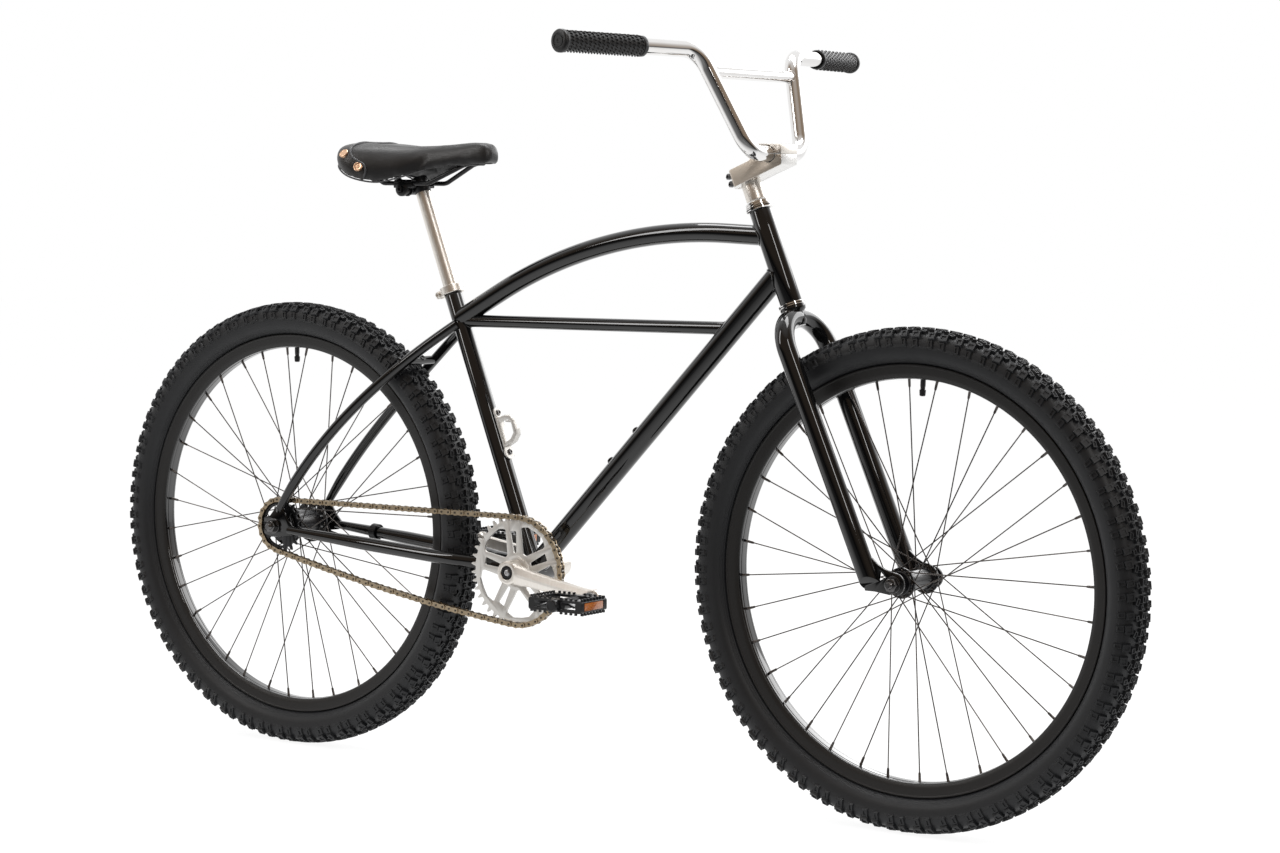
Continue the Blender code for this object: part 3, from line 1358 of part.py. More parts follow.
def chainring():
    _, top, _ = drive_line()
    low, high = -CHAIN_LINE - RING_THICKNESS / 2, -CHAIN_LINE + RING_THICKNESS / 2
    outline = toothed_outline(RING_TEETH, top - math.pi / RING_TEETH)
    plane = wheel_plane(CRANK)
    ring = add_object("chainring", plate(outline, low, high, plane), "chrome", crank_axis)
    shapes = []
    for k in range(5):
        angle = SLOT_PHASE + 72 * k
        for outline in (turned_outline(ring_slot(), angle), turned_outline(ring_window(), angle + 36)):
            shapes.append(plate(outline, low - 0.01, high + 0.01, plane))
    hole = clear(SPINDLE_RADIUS, 12)
    shapes.append(turned(CRANK, ACROSS, [(low - 0.01, hole), (high + 0.01, hole)], 12))
    cut(ring, gather(shapes))


def rear_sprocket():
    _, _, first = drive_line()
    low, high = -CHAIN_LINE - SPROCKET_THICKNESS / 2, -CHAIN_LINE + SPROCKET_THICKNESS / 2
    outline = toothed_outline(SPROCKET_TEETH, first + math.pi / SPROCKET_TEETH)
    disc = plate(outline, low, high, wheel_plane(REAR_AXLE))
    sprocket = add_object("rear_sprocket", disc, "steel", sprocket_axis)
    boss = DRIVER_BOSS_RADIUS
    join(sprocket, turned(REAR_AXLE, ACROSS, [(-DRIVER_BOSS_OUT, boss), (-CHAIN_LINE, boss)], 12))
    bore = clear(AXLE_RADIUS, 8)
    cut(sprocket, turned(REAR_AXLE, ACROSS, [(-0.06, bore), (-0.03, bore)], 8))


def bb_cup(name, side):
    """A threaded cup in the shell with its flange outside."""
    half = SHELL_WIDTH / 2
    thread = SHELL_BORE * math.cos(math.pi / SHELL_SIDES) - GAP
    bore = clear(SPINDLE_RADIUS, 12)
    lip = half + GAP
    end = lip + CUP_FLANGE
    wide = SHELL_OD / 2 - 0.0010
    profile = [(half - CUP_DEPTH, thread), (lip, thread), (lip, wide), (end, wide - 0.0010), (end, bore),
               (half - CUP_DEPTH, bore)]
    add_object(name, turned(CRANK, ACROSS * side, profile, 12, loop=True), "steel")


def square_bar(half, low, high):
    """A bar of square section with cut corners along the crank axis, turned with the cranks."""
    short = half - SPINDLE_CORNER
    corners = [(half, -short), (half, short), (short, half), (-short, half),
               (-half, short), (-half, -short), (-short, -half), (short, -half)]
    return plate(turned_outline(corners, CRANK_ANGLE), low, high, wheel_plane(CRANK))


def crank_spindle():
    body = [(-SPINDLE_ROUND, SPINDLE_RADIUS), (SPINDLE_ROUND, SPINDLE_RADIUS)]
    obj = add_object("crank_spindle", turned(CRANK, ACROSS, body, 12), "steel", crank_axis)
    half = SPINDLE_SQUARE / 2
    join(obj, square_bar(half, -SPINDLE_HALF, SPINDLE_HALF))


def crank_line(side):
    """Unit vector along a crank: the right one at its angle, the left one opposite."""
    a = math.radians(CRANK_ANGLE)
    return Vector((math.cos(a), 0, math.sin(a))) * (-side)


def pedal_centre(side):
    return CRANK + crank_line(side) * CRANK_LENGTH


def crank(name, side):
    along = crank_line(side)
    up = Vector((-along.z, 0, along.x))
    boss_in = CHAIN_LINE + RING_THICKNESS / 2 + GAP if side < 0 else SPINDLE_ROUND + GAP
    boss = [(boss_in, CRANK_BOSS_RADIUS), (CRANK_BOSS_OUT, CRANK_BOSS_RADIUS)]
    obj = add_object(name, turned(CRANK, ACROSS * side, boss, 12), "polished_alloy", crank_axis)
    rings = []
    for share, half in ((0.02, 0.0145), (0.15, 0.0140), (0.30, 0.0115), (0.80, 0.0105), (0.97, 0.0110)):
        out = CRANK_BOSS_OUT + (CRANK_EYE_OUT - CRANK_BOSS_OUT) * min(1.0, share * 1.1) - 0.0010
        thick = CRANK_THICKNESS - 0.0020
        middle = CRANK + along * (CRANK_LENGTH * share)
        section = ((half, out - thick), (half, out - 0.0030), (half - 0.0030, out), (-half + 0.0030, out),
                   (-half, out - 0.0030), (-half, out - thick))
        rings.append([middle + up * h + ACROSS * side * y for h, y in section])
    join(obj, skin(rings))
    eye_in = CRANK_EYE_OUT - CRANK_THICKNESS
    eye = [(eye_in, CRANK_EYE_RADIUS), (CRANK_EYE_OUT, CRANK_EYE_RADIUS)]
    join(obj, turned(pedal_centre(side), ACROSS * side, eye, 10))
    low, high = mirrored(side, SPINDLE_ROUND, SPINDLE_HALF + GAP)
    cut(obj, square_bar(SPINDLE_SQUARE / 2 + GAP, low, high))
    hole, cap = clear(SPINDLE_RADIUS, 12), clear(CRANK_BOLT_RADIUS, 12)
    if side < 0:
        cut(obj, turned(CRANK, ACROSS * side, [(CHAIN_LINE, hole), (SPINDLE_ROUND + GAP, hole)], 12))
    cut(obj, turned(CRANK, ACROSS * side, [(SPINDLE_HALF, cap), (CRANK_BOSS_OUT + 0.01, cap)], 12))
    thread = clear(PEDAL_THREAD_RADIUS, 10)
    through = [(eye_in - 0.01, thread), (CRANK_EYE_OUT + 0.01, thread)]
    cut(obj, turned(pedal_centre(side), ACROSS * side, through, 10))


def crank_bolt(name, side):
    foot = SPINDLE_HALF + GAP * 2
    wide = CRANK_BOLT_RADIUS
    profile = [(foot, wide), (CRANK_BOSS_OUT - 0.0020, wide), (CRANK_BOSS_OUT, wide - 0.0020)]
    add_object(name, turned(CRANK, ACROSS * side, profile, 12), "chrome", crank_axis)


PEDAL_IN = CRANK_EYE_OUT + PEDAL_ROOM
CAGE_IN = PEDAL_IN + PEDAL_INNER
CAGE_OUT = CAGE_IN + PEDAL_WIDTH
PEDAL_OUT = CAGE_OUT + PEDAL_OUTER


def pedal_axle(name, side):
    thread = PEDAL_THREAD_RADIUS
    collar = thread + 0.0020
    collar_end = PEDAL_IN - GAP * 3
    profile = [(CRANK_EYE_OUT - CRANK_THICKNESS + GAP, thread), (CRANK_EYE_OUT + GAP, thread),
               (CRANK_EYE_OUT + GAP, collar), (collar_end, collar), (collar_end, PEDAL_AXLE_RADIUS),
               (CAGE_OUT - GAP, PEDAL_AXLE_RADIUS)]
    add_object(name, turned(pedal_centre(side), ACROSS * side, profile, 8), "steel", crank_axis)


def pedal_body(name, side, parent):
    """A cage round a barrel that is closed at its outer end."""
    place = pedal_centre(side)
    half, tall = PEDAL_LENGTH / 2, PEDAL_HEIGHT / 2
    low, high = mirrored(side, CAGE_IN, CAGE_OUT)
    outline = [(-half, -tall + 0.004), (-half + 0.004, -tall), (half - 0.004, -tall), (half, -tall + 0.004),
               (half, tall - 0.004), (half - 0.004, tall), (-half + 0.004, tall), (-half, tall - 0.004)]
    obj = add_object(name, plate(outline, low, high, wheel_plane(place)), "resin", parent)
    bar = PEDAL_FRAME
    window = box((place.x - half + bar, low + bar, place.z - PEDAL_HEIGHT),
                 (place.x + half - bar, high - bar, place.z + PEDAL_HEIGHT))
    cut(obj, window)
    barrel = [(PEDAL_IN, PEDAL_BARREL_RADIUS), (PEDAL_OUT, PEDAL_BARREL_RADIUS)]
    join(obj, turned(place, ACROSS * side, barrel, 8))
    bore = clear(PEDAL_AXLE_RADIUS, 8)
    cut(obj, turned(place, ACROSS * side, [(PEDAL_IN - 0.01, bore), (CAGE_OUT, bore)], 8))


# Coaster brake arm, its strap and the bottle opener

def brake_arm():
    outline = arc(0, 0, 0.0165, 45, 290, 6)
    outline += [(0.0300, -0.0330), (ARM_LENGTH - 0.0070, -0.0395), (ARM_LENGTH, -0.0330)]
    outline += [(ARM_LENGTH - 0.0050, -0.0255), (0.0500, -0.0205), (0.0240, -0.0150)]
    plane = wheel_plane(REAR_AXLE)
    arm = add_object("brake_arm", plate(outline, ARM_OUT, ARM_OUT + ARM_THICKNESS, plane), "steel")
    bore = clear(AXLE_RADIUS, 12)
    hole = clear(STRAP_BOLT_RADIUS, 10)
    cut(arm, turned(REAR_AXLE, ACROSS, [(0.03, bore), (0.07, bore)], 12),
        turned(strap_bolt(), ACROSS, [(0.03, hole), (0.07, hole)], 10))


def strap_bolt():
    return REAR_AXLE + Vector((STRAP_PLACE, 0, -0.0325))


def stay_at(side, x):
    path = chainstay_path(side)
    for a, b in zip(path, path[1:]):
        if a.x <= x <= b.x:
            return a.lerp(b, (x - a.x) / (b.x - a.x)), (b - a).normalized()
    return path[0], (path[1] - path[0]).normalized()


def brake_strap():
    """A band round the left chain stay with an ear and a bolt through the arm."""
    place, along = stay_at(1, REAR_X + STRAP_PLACE)
    inner = clear(CHAINSTAY_OD / 2, 12)
    outer = inner + STRAP_THICKNESS
    half = STRAP_WIDTH / 2
    profile = [(-half, outer), (half, outer), (half, inner), (-half, inner)]
    strap = add_object("brake_strap", turned(place, along, profile, 12, loop=True), "steel")
    face = ARM_OUT + ARM_THICKNESS + GAP
    bolt = strap_bolt()
    top = place.z - math.sqrt(outer ** 2 - (place.y - face) ** 2) + STRAP_THICKNESS / 2
    ear = ((bolt.x - half, face, bolt.z - 0.0060), (bolt.x + half, face + STRAP_THICKNESS, top))
    join(strap, box(*ear))
    shank = STRAP_BOLT_RADIUS
    wide = shank * 1.9
    seat = face + STRAP_THICKNESS / 2
    profile = [(ARM_OUT - GAP - 0.0030, wide), (ARM_OUT - GAP, wide), (ARM_OUT - GAP, shank), (seat, shank),
               (seat, wide), (face + STRAP_THICKNESS + 0.0030, wide)]
    join(strap, turned(bolt, ACROSS, profile, 6))


def bottle_opener():
    """A plate on two screws in front of the seat tube, with a round loop standing forward."""
    foot = SEAT_RADIUS + GAP
    low, high = OPENER_LOW - 0.0080, OPENER_HIGH + 0.0080
    strip = [(foot, low), (foot + OPENER_THICKNESS, low), (foot + OPENER_THICKNESS, high), (foot, high)]
    opener = add_object("bottle_opener", plate(strip, -0.0070, 0.0070, seat_frame), "black_metal")
    middle = (OPENER_LOW + OPENER_HIGH) / 2
    root = foot + OPENER_THICKNESS / 2
    outer = [(root, middle - 0.0230), (OPENER_OUT - 0.0120, middle - 0.0200), (OPENER_OUT, middle - 0.0060),
             (OPENER_OUT, middle + 0.0120), (OPENER_OUT - 0.0120, middle + 0.0230), (root, middle + 0.0230)]
    join(opener, plate(outer, -0.0060, 0.0060, seat_frame))
    near, far = root + 0.0035, OPENER_OUT - 0.0050
    inner = [(near, middle - 0.0160), (far - 0.0090, middle - 0.0140), (far, middle - 0.0040),
             (far, middle + 0.0090), (far - 0.0090, middle + 0.0170), (near, middle + 0.0170)]
    cut(opener, plate(inner, -0.02, 0.02, seat_frame))
    for place in (OPENER_LOW, OPENER_HIGH):
        screw = [(foot + OPENER_THICKNESS / 2, 0.0050), (foot + OPENER_THICKNESS + 0.0025, 0.0050),
                 (foot + OPENER_THICKNESS + 0.0040, 0.0035)]
        join(opener, turned(seat_point(place), SEAT_AHEAD, screw, 10))


# Everything, in order
head_tube()
top_tube()
down_tube()
mid_tube()
seat_tube()
bottom_bracket_shell()
chainstay("chainstay_right", -1)
chainstay("chainstay_left", 1)
seatstay("seatstay_right", -1)
seatstay("seatstay_left", 1)
seatstay_bridge()
chainstay_bridge()
headset_cup("headset_upper_cup", 1)
headset_cup("headset_lower_cup", -1)
seat_collar()
bottle_opener()
bb_cup("bb_cup_right", -1)
bb_cup("bb_cup_left", 1)
axle("rear_axle", REAR_AXLE, STAY_IN, DRIVER_BOSS_OUT + GAP, ARM_OUT + ARM_THICKNESS + GAP,
     STAY_OUT + WASHER_HEIGHT + NUT_HEIGHT + AXLE_END)
axle_nut("rear_axle_nut_right", REAR_AXLE, -1, STAY_OUT + GAP)
axle_nut("rear_axle_nut_left", REAR_AXLE, 1, STAY_OUT + GAP)
brake_arm()
brake_strap()
chain()

fork()
headset_locknut()
FORK_FACE = FRONT_HUB_WIDTH / 2 + GAP + FORK_PLATE
axle("front_axle", FRONT_AXLE, FRONT_HUB_WIDTH / 2 + GAP, FRONT_HUB_END + GAP, FRONT_HUB_END + GAP,
     FORK_FACE + WASHER_HEIGHT + NUT_HEIGHT + AXLE_END, steering_axis)
axle_nut("front_axle_nut_right", FRONT_AXLE, -1, FORK_FACE + GAP, steering_axis)
axle_nut("front_axle_nut_left", FRONT_AXLE, 1, FORK_FACE + GAP, steering_axis)

stem_quill()
stem_body()
stem_cap()
handlebar()
grip("grip_right", -1)
grip("grip_left", 1)

seat_post()
clamp_sleeve()
saddle_rails()
saddle_clamp()
saddle_base()
saddle_pad()

hub("front_hub_shell", FRONT_AXLE, FRONT_HUB_END, FRONT_HUB_END, FRONT_FLANGE_RADIUS, FRONT_FLANGE_SPREAD,
    FRONT_BARREL_RADIUS, FRONT_SPOKE_PHASE, front_wheel_axis)
rim("front_rim", FRONT_AXLE, FRONT_VALVE, front_wheel_axis)
tyre("front_tyre", FRONT_AXLE, front_wheel_axis)
inner_tube("front_inner_tube", FRONT_AXLE, FRONT_VALVE, front_wheel_axis)
hub("rear_hub_shell", REAR_AXLE, REAR_HUB_RIGHT, REAR_HUB_LEFT, REAR_FLANGE_RADIUS, REAR_FLANGE_SPREAD,
    REAR_BARREL_RADIUS, REAR_SPOKE_PHASE, rear_wheel_axis)
rim("rear_rim", REAR_AXLE, REAR_VALVE, rear_wheel_axis)
tyre("rear_tyre", REAR_AXLE, rear_wheel_axis)
inner_tube("rear_inner_tube", REAR_AXLE, REAR_VALVE, rear_wheel_axis)

rear_sprocket()
chainring()
crank_spindle()
crank("crank_right", -1)
crank("crank_left", 1)
crank_bolt("crank_bolt_right", -1)
crank_bolt("crank_bolt_left", 1)
pedal_axle("pedal_axle_right", -1)
pedal_axle("pedal_axle_left", 1)
right_pedal_axis = pivot("right_pedal_axis", pedal_centre(-1), crank_axis)
left_pedal_axis = pivot("left_pedal_axis", pedal_centre(1), crank_axis)
pedal_body("pedal_body_right", -1, right_pedal_axis)
pedal_body("pedal_body_left", 1, left_pedal_axis)
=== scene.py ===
# Single-speed cruiser bicycle: the looks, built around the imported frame.
# Metres, +X is the direction of travel, +Y the rider's left, +Z up.
import math
import bpy
import bmesh
from mathutils import Vector, Matrix


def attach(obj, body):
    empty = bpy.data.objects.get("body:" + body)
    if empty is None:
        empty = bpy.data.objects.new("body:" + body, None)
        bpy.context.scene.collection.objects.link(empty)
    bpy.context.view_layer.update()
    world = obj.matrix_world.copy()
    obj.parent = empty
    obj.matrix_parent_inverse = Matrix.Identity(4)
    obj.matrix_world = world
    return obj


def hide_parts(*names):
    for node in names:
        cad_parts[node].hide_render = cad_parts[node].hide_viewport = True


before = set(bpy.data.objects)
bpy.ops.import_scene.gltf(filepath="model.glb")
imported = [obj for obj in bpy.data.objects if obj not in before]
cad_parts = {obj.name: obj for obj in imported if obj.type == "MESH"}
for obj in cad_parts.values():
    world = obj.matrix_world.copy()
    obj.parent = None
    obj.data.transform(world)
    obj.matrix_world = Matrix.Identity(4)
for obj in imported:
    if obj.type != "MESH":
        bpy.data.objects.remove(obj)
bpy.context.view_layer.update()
print("frame loaded,", len(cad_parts), "nodes")

# Main places, the same as in the frame
layout = {
    "tyreRadius": 0.350,
    "wheelbase": 1.117,
    "chainstay": 0.468,
    "crankDrop": 0.0354,
    "seatAngle": 68.7,
    "headAngle": 67.4,
    "forkOffset": 0.0446,
    "headAboveAxle": 0.4952,
    "headLength": 0.139,
    "headRadius": 0.0159,
    "seatTube": 0.447,       # crank axis to its top
    "seatRadius": 0.01351,
    "steererRadius": 0.0127,
    "chainLine": 0.0435,
}
across = Vector((0, 1, 0))
upwards = Vector((0, 0, 1))
bothSides = (-1, "right"), (1, "left")


def leaning(degrees):  # rearwards and up
    a = math.radians(degrees)
    return Vector((-math.cos(a), 0, math.sin(a)))


rearAxle = Vector((-layout["wheelbase"] / 2, 0, layout["tyreRadius"]))
frontAxle = Vector((layout["wheelbase"] / 2, 0, layout["tyreRadius"]))
crankRun = math.sqrt(layout["chainstay"] ** 2 - layout["crankDrop"] ** 2)
crankAxis = rearAxle + Vector((crankRun, 0, -layout["crankDrop"]))
seatUp = leaning(layout["seatAngle"])
seatAhead = Vector((seatUp.z, 0, -seatUp.x))
steerUp = leaning(layout["headAngle"])
steerAhead = Vector((steerUp.z, 0, -steerUp.x))
headMiddle = frontAxle + steerUp * layout["headAboveAxle"] - steerAhead * layout["forkOffset"]


def seatPoint(along, ahead=0.0, side=0.0):
    return crankAxis + seatUp * along + seatAhead * ahead + across * side


def steerPoint(ahead, above, side=0.0):
    return headMiddle + steerAhead * ahead + steerUp * above + across * side


# Shaders

class Value:  # one output socket; arithmetic on it adds Math nodes
    def __init__(self, tree, socket):
        self.tree = tree
        self.socket = socket

    def math(self, operation, *others, first=None, clamp=False):
        node = self.tree.nodes.new("ShaderNodeMath")
        node.operation = operation
        node.use_clamp = clamp
        values = (self,) + others if first is None else (first, self)
        for place, value in zip(node.inputs, values):
            if isinstance(value, Value):
                self.tree.links.new(value.socket, place)
            else:
                place.default_value = value
        return Value(self.tree, node.outputs[0])

    def __add__(self, other):
        return self.math("ADD", other)

    __radd__ = __add__

    def __mul__(self, other):
        return self.math("MULTIPLY", other)

    __rmul__ = __mul__

    def __sub__(self, other):
        return self.math("SUBTRACT", other)

    def __rsub__(self, other):
        return self.math("SUBTRACT", first=other)

    def __pow__(self, other):
        return self.math("POWER", other)

    def __gt__(self, other):
        return self.math("GREATER_THAN", other)

    def __lt__(self, other):
        return self.math("LESS_THAN", other)

    def sine(self):
        return self.math("SINE")

    def clamped(self):
        return self.math("ADD", 0.0, clamp=True)


class Finish:  # a node tree in the making
    def __init__(self, tree):
        self.tree = tree

    def feed(self, socket, value):
        if isinstance(value, Value):
            self.tree.links.new(value.socket, socket)
        else:
            socket.default_value = value

    def node(self, kind, settings=None, values=None, out=0):
        made = self.tree.nodes.new(kind)
        for name, value in (settings or {}).items():
            setattr(made, name, value)
        for name, value in (values or {}).items():
            self.feed(made.inputs[name], value)
        return Value(self.tree, made.outputs[out]) if len(made.outputs) else None

    def parts(self, place):  # the three numbers of a place or direction
        split = self.node("ShaderNodeSeparateXYZ", {}, {0: place})
        return [Value(self.tree, socket) for socket in split.socket.node.outputs]

    def rays(self):  # 1 for what the camera sees, and 1 for what mirrors show
        seen = self.node("ShaderNodeLightPath")
        return seen, Value(self.tree, seen.socket.node.outputs["Is Glossy Ray"])

    def noise(self, scale, detail=3.0, stretch=None):
        place = self.node("ShaderNodeTexCoord", out=3)
        if stretch:
            place = self.node("ShaderNodeMapping", {}, {"Vector": place, "Scale": stretch})
        return self.node("ShaderNodeTexNoise", {}, {"Vector": place, "Scale": scale, "Detail": detail})

    def cells(self, scale):
        place = self.node("ShaderNodeTexCoord", out=3)
        return self.node("ShaderNodeTexVoronoi", {}, {"Vector": place, "Scale": scale})

    def blend(self, share, first, second):  # two colours
        return self.node("ShaderNodeMix", {"data_type": "RGBA"}, {0: share, 6: (*first, 1),
            7: (*second, 1)}, 2)

    def bump(self, height, depth):
        return self.node("ShaderNodeBump", {}, {"Height": height, "Distance": depth})


class Surface(Finish):  # a material with a Principled shader
    def __init__(self, name, colour, roughness, metallic=0.0, **more):
        self.material = bpy.data.materials.new(name)
        self.material.use_nodes = True
        super().__init__(self.material.node_tree)
        self.shader = self.tree.nodes["Principled BSDF"]
        self.put({"Base Color": (*colour, 1), "Roughness": roughness, "Metallic": metallic})
        self.put(more)
        self.material.diffuse_color = (*colour, 1)

    def put(self, values):
        for name, value in values.items():
            self.feed(self.shader.inputs[name.replace("_", " ")], value)


def patchy(name, colour, metallic, rough, tones, scale, detail=4.0, stretch=None, grain=None, **more):
    made = Surface(name, colour, rough[0], metallic, **more)
    patch = made.noise(scale, detail, stretch)
    made.put({"Roughness": patch * rough[1] + rough[0]})     # rough: the lowest and how much it varies
    if tones:
        made.put({"Base Color": made.blend(patch, *tones)})
    if grain:                                                # a fine bump's scale and depth
        made.put({"Normal": made.bump(made.noise(grain[0], 2.0), grain[1])})
    return made.material


def brushedAlloyPaintedTanSides():  # the stem's flat faces; their tan colour on the sides is a painted reflection of the room
    made = Surface("brushedAlloyPaintedTanSides", (0.66, 0.57, 0.47), 0.4, 0.85)
    lines = made.noise(90.0, 4.0, stretch=(1.0, 14.0, 8.0))
    flankPaintedTan = made.parts(made.node("ShaderNodeTexCoord", out=1))[1].math("ABSOLUTE") > 0.7
    made.put({"Roughness": 0.18 + flankPaintedTan * 0.22 + lines * 0.12})
    # painted reflection: faces turned sideways get a tan colour that stands in for the room they mirror, the
    # other faces stay light silver
    made.put({"Base Color": made.blend(flankPaintedTan * (1.0 - lines * 0.35), (0.84, 0.83, 0.81), (0.60, 0.51, 0.41))})
    return made.material


def rimEnamel():  # gloss on the wall towards the hub, matt on the sides
    made = Surface("rimEnamel", (0.005, 0.005, 0.006), 0.12, Coat_Weight=1.0, Coat_Roughness=0.03)
    wall = made.parts(made.node("ShaderNodeTexCoord", out=3))[1].math("ABSOLUTE") < 0.0106
    grain = made.noise(260.0, 4.0)
    made.put({"Coat Weight": wall * 1.0})
    made.put({"Roughness": 0.42 - wall * 0.34 + grain * 0.06})
    made.put({"Base Color": made.blend(wall, (0.0065, 0.0055, 0.0050), (0.004, 0.004, 0.005))})
    return made.material


def tyreRubber(name, axle):  # fine moulded rings on the side wall
    made = Surface(name, (0.012, 0.012, 0.013), 0.62)
    place = made.node("ShaderNodeTexCoord", out=3)
    centred = made.node("ShaderNodeMapping", {}, {"Vector": place, "Location": tuple(-axle)})
    x, _, z = made.parts(centred)
    radius = (x * x + z * z) ** 0.5
    lowRings = (radius > 0.2985) * (radius < 0.3055)
    highRings = (radius > 0.3225) * (radius < 0.3270)
    rings = (radius * 4200.0).sine() * (lowRings + highRings)
    grain = made.noise(700.0, 3.0)
    dust = made.noise(30.0, 5.0)
    made.put({"Normal": made.bump(rings * 0.5 + grain * 0.35, 0.00022)})
    made.put({"Roughness": 0.44 + dust * 0.16})
    made.put({"Base Color": made.blend(dust, (0.0055, 0.0062, 0.0078), (0.0105, 0.0114, 0.0138))})
    return made.material


def saddleLeather(name, low, high, depth):
    made = Surface(name, low, 0.42, Coat_Weight=0.15, Coat_Roughness=0.3)
    pores = made.cells(1500.0)
    creases = made.noise(300.0, 5.0)
    wear = made.noise(22.0, 4.0)
    made.put({"Normal": made.bump(pores * 0.6 + creases, depth)})
    made.put({"Roughness": 0.34 + wear * 0.18})
    made.put({"Base Color": made.blend(wear, low, high)})
    return made.material


def amberReflector():  # small prisms behind a clear face
    made = Surface("amberReflector", (0.85, 0.22, 0.02), 0.14, Coat_Weight=1.0, Coat_Roughness=0.04)
    prisms = made.cells(420.0)
    made.put({"Base Color": made.blend(prisms, (0.95, 0.30, 0.03), (0.55, 0.11, 0.01))})
    made.put({"Normal": made.bump(prisms, 0.0004)})
    return made.material


paint = patchy("glossyBlackPaint", (0.004, 0.004, 0.0045), 0.0, (0.08, 0.05), ((0.003, 0.003, 0.0034),
    (0.006, 0.0057, 0.006)), 38.0, 5.0, Coat_Weight=1.0, Coat_Roughness=0.02, Specular_IOR_Level=0.1)
chrome = patchy("chromePlate", (0.80, 0.79, 0.78), 1.0, (0.035, 0.07), ((0.76, 0.74, 0.72),
    (0.86, 0.86, 0.86)), 24.0, 6.0)
alloy = patchy("polishedAlloy", (0.80, 0.76, 0.70), 1.0, (0.33, 0.10), ((0.78, 0.73, 0.66),
    (0.90, 0.87, 0.83)), 60.0, stretch=(6.0, 6.0, 0.6))
satin = patchy("satinAlloy", (0.74, 0.73, 0.71), 0.75, (0.36, 0.14), ((0.66, 0.64, 0.60),
    (0.80, 0.78, 0.75)), 18.0, 3.0, grain=(900.0, 0.00002))
blackened = patchy("blackMetal", (0.016, 0.016, 0.018), 0.4, (0.22, 0.2), ((0.011, 0.011, 0.012),
    (0.024, 0.024, 0.026)), 160.0)
steel = patchy("zincSteel", (0.52, 0.52, 0.53), 1.0, (0.24, 0.2), ((0.40, 0.40, 0.41), (0.62, 0.62, 0.63)),
    230.0, 3.0)
chainMetal = patchy("chainSteel", (0.55, 0.45, 0.32), 1.0, (0.22, 0.2), ((0.22, 0.17, 0.11),
    (0.58, 0.47, 0.33)), 120.0, 3.0)
copper = patchy("copperRivet", (0.86, 0.55, 0.36), 1.0, (0.16, 0.24), ((0.72, 0.44, 0.28),
    (0.93, 0.64, 0.44)), 260.0)
rubber = patchy("gripRubber", (0.011, 0.011, 0.012), 0.0, (0.30, 0.16), None, 90.0, 3.0, grain=(1400.0,
    0.00003))
resin = patchy("mouldedResin", (0.010, 0.010, 0.011), 0.0, (0.24, 0.14), None, 60.0, 3.0, grain=(800.0,
    0.00003))
hubPaint = patchy("hubEnamel", (0.005, 0.005, 0.006), 0.0, (0.22, 0.16), ((0.005, 0.005, 0.006),
    (0.010, 0.010, 0.012)), 90.0, Coat_Weight=0.25, Coat_Roughness=0.16)
spokeSteel = patchy("spokeSteel", (0.060, 0.053, 0.050), 1.0, (0.24, 0.16), ((0.060, 0.053, 0.050),
    (0.130, 0.118, 0.110)), 160.0)
darkSteel = patchy("darkSteel", (0.090, 0.088, 0.090), 1.0, (0.16, 0.16), ((0.090, 0.088, 0.090),
    (0.180, 0.176, 0.175)), 200.0)
pinSteel = patchy("pinSteel", (0.070, 0.060, 0.048), 1.0, (0.26, 0.16), ((0.070, 0.060, 0.048),
    (0.150, 0.130, 0.105)), 300.0)
brushedPaintedTanSides = brushedAlloyPaintedTanSides()
rimPaint = rimEnamel()
leather = saddleLeather("saddleLeather", (0.010, 0.010, 0.011), (0.020, 0.019, 0.019), 0.00009)
# piping: a grey several times lighter than the saddle leather, a painted highlight for the lamp's shine along
# the seam and skirt
pipingPaintedHighlight = saddleLeather("pipingPaintedHighlight", (0.060, 0.060, 0.064), (0.095, 0.095, 0.100), 0.00003)
panelLeather = saddleLeather("panelLeather", (0.012, 0.010, 0.009), (0.024, 0.020, 0.018), 0.00014)
amber = amberReflector()
print("finishes made")


# Stage: camera, floor and light
view = {
    "place": (2.6138, -3.6238, 0.8849),
    "yaw": 34.775,
    "pitch": 4.494,
    "roll": 0.6156,
    "focal": 3035.37,        # in pixels of the 1280 wide image
    "imageWidth": 1280,
    "sensor": 36.0,
}


def newObject(name, data):
    made = bpy.data.objects.new(name, data)
    bpy.context.scene.collection.objects.link(made)
    return made


def meshOf(name, bm):
    mesh = bpy.data.meshes.new(name)
    bm.to_mesh(mesh)
    bm.free()
    return mesh


def addCamera():
    yaw, pitch, roll = (math.radians(view[key]) for key in ("yaw", "pitch", "roll"))
    back = Vector((math.sin(yaw) * math.cos(pitch), -math.cos(yaw) * math.cos(pitch), math.sin(pitch)))
    right = upwards.cross(back).normalized()
    level = Matrix((right, back.cross(right), back)).transposed().to_4x4()
    data = bpy.data.cameras.new("camera")
    data.sensor_width = view["sensor"]
    data.lens = view["focal"] * view["sensor"] / view["imageWidth"]
    data.clip_end = 60
    seen = newObject("camera", data)
    seen.matrix_world = Matrix.Translation(view["place"]) @ level @ Matrix.Rotation(roll, 4, "Z")
    bpy.context.scene.camera = seen


def addFloor():
    bm = bmesh.new()
    bmesh.ops.create_grid(bm, x_segments=1, y_segments=1, size=14)
    mesh = meshOf("floor", bm)
    floor = newObject("floor", mesh)
    material = bpy.data.materials.new("paleFloor")
    material.use_nodes = True
    made = Finish(material.node_tree)
    made.tree.nodes.clear()
    rays, mirrored = made.rays()
    x, y, _ = made.parts(made.node("ShaderNodeTexCoord", out=3))
    near = (1.5 - (x * 0.57 - y * 0.82)).clamped()   # mirrors see the paper end before the camera
    glow = made.node("ShaderNodeEmission", {}, {"Color": (1, 1, 1, 1),
        "Strength": rays * 0.92 + mirrored * near * 0.85})
    cloth = made.node("ShaderNodeBsdfDiffuse", {}, {"Color": (0.20, 0.20, 0.20, 1)})
    both = made.node("ShaderNodeAddShader", {}, {0: glow, 1: cloth})
    made.node("ShaderNodeOutputMaterial", {}, {"Surface": both})
    mesh.materials.append(material)


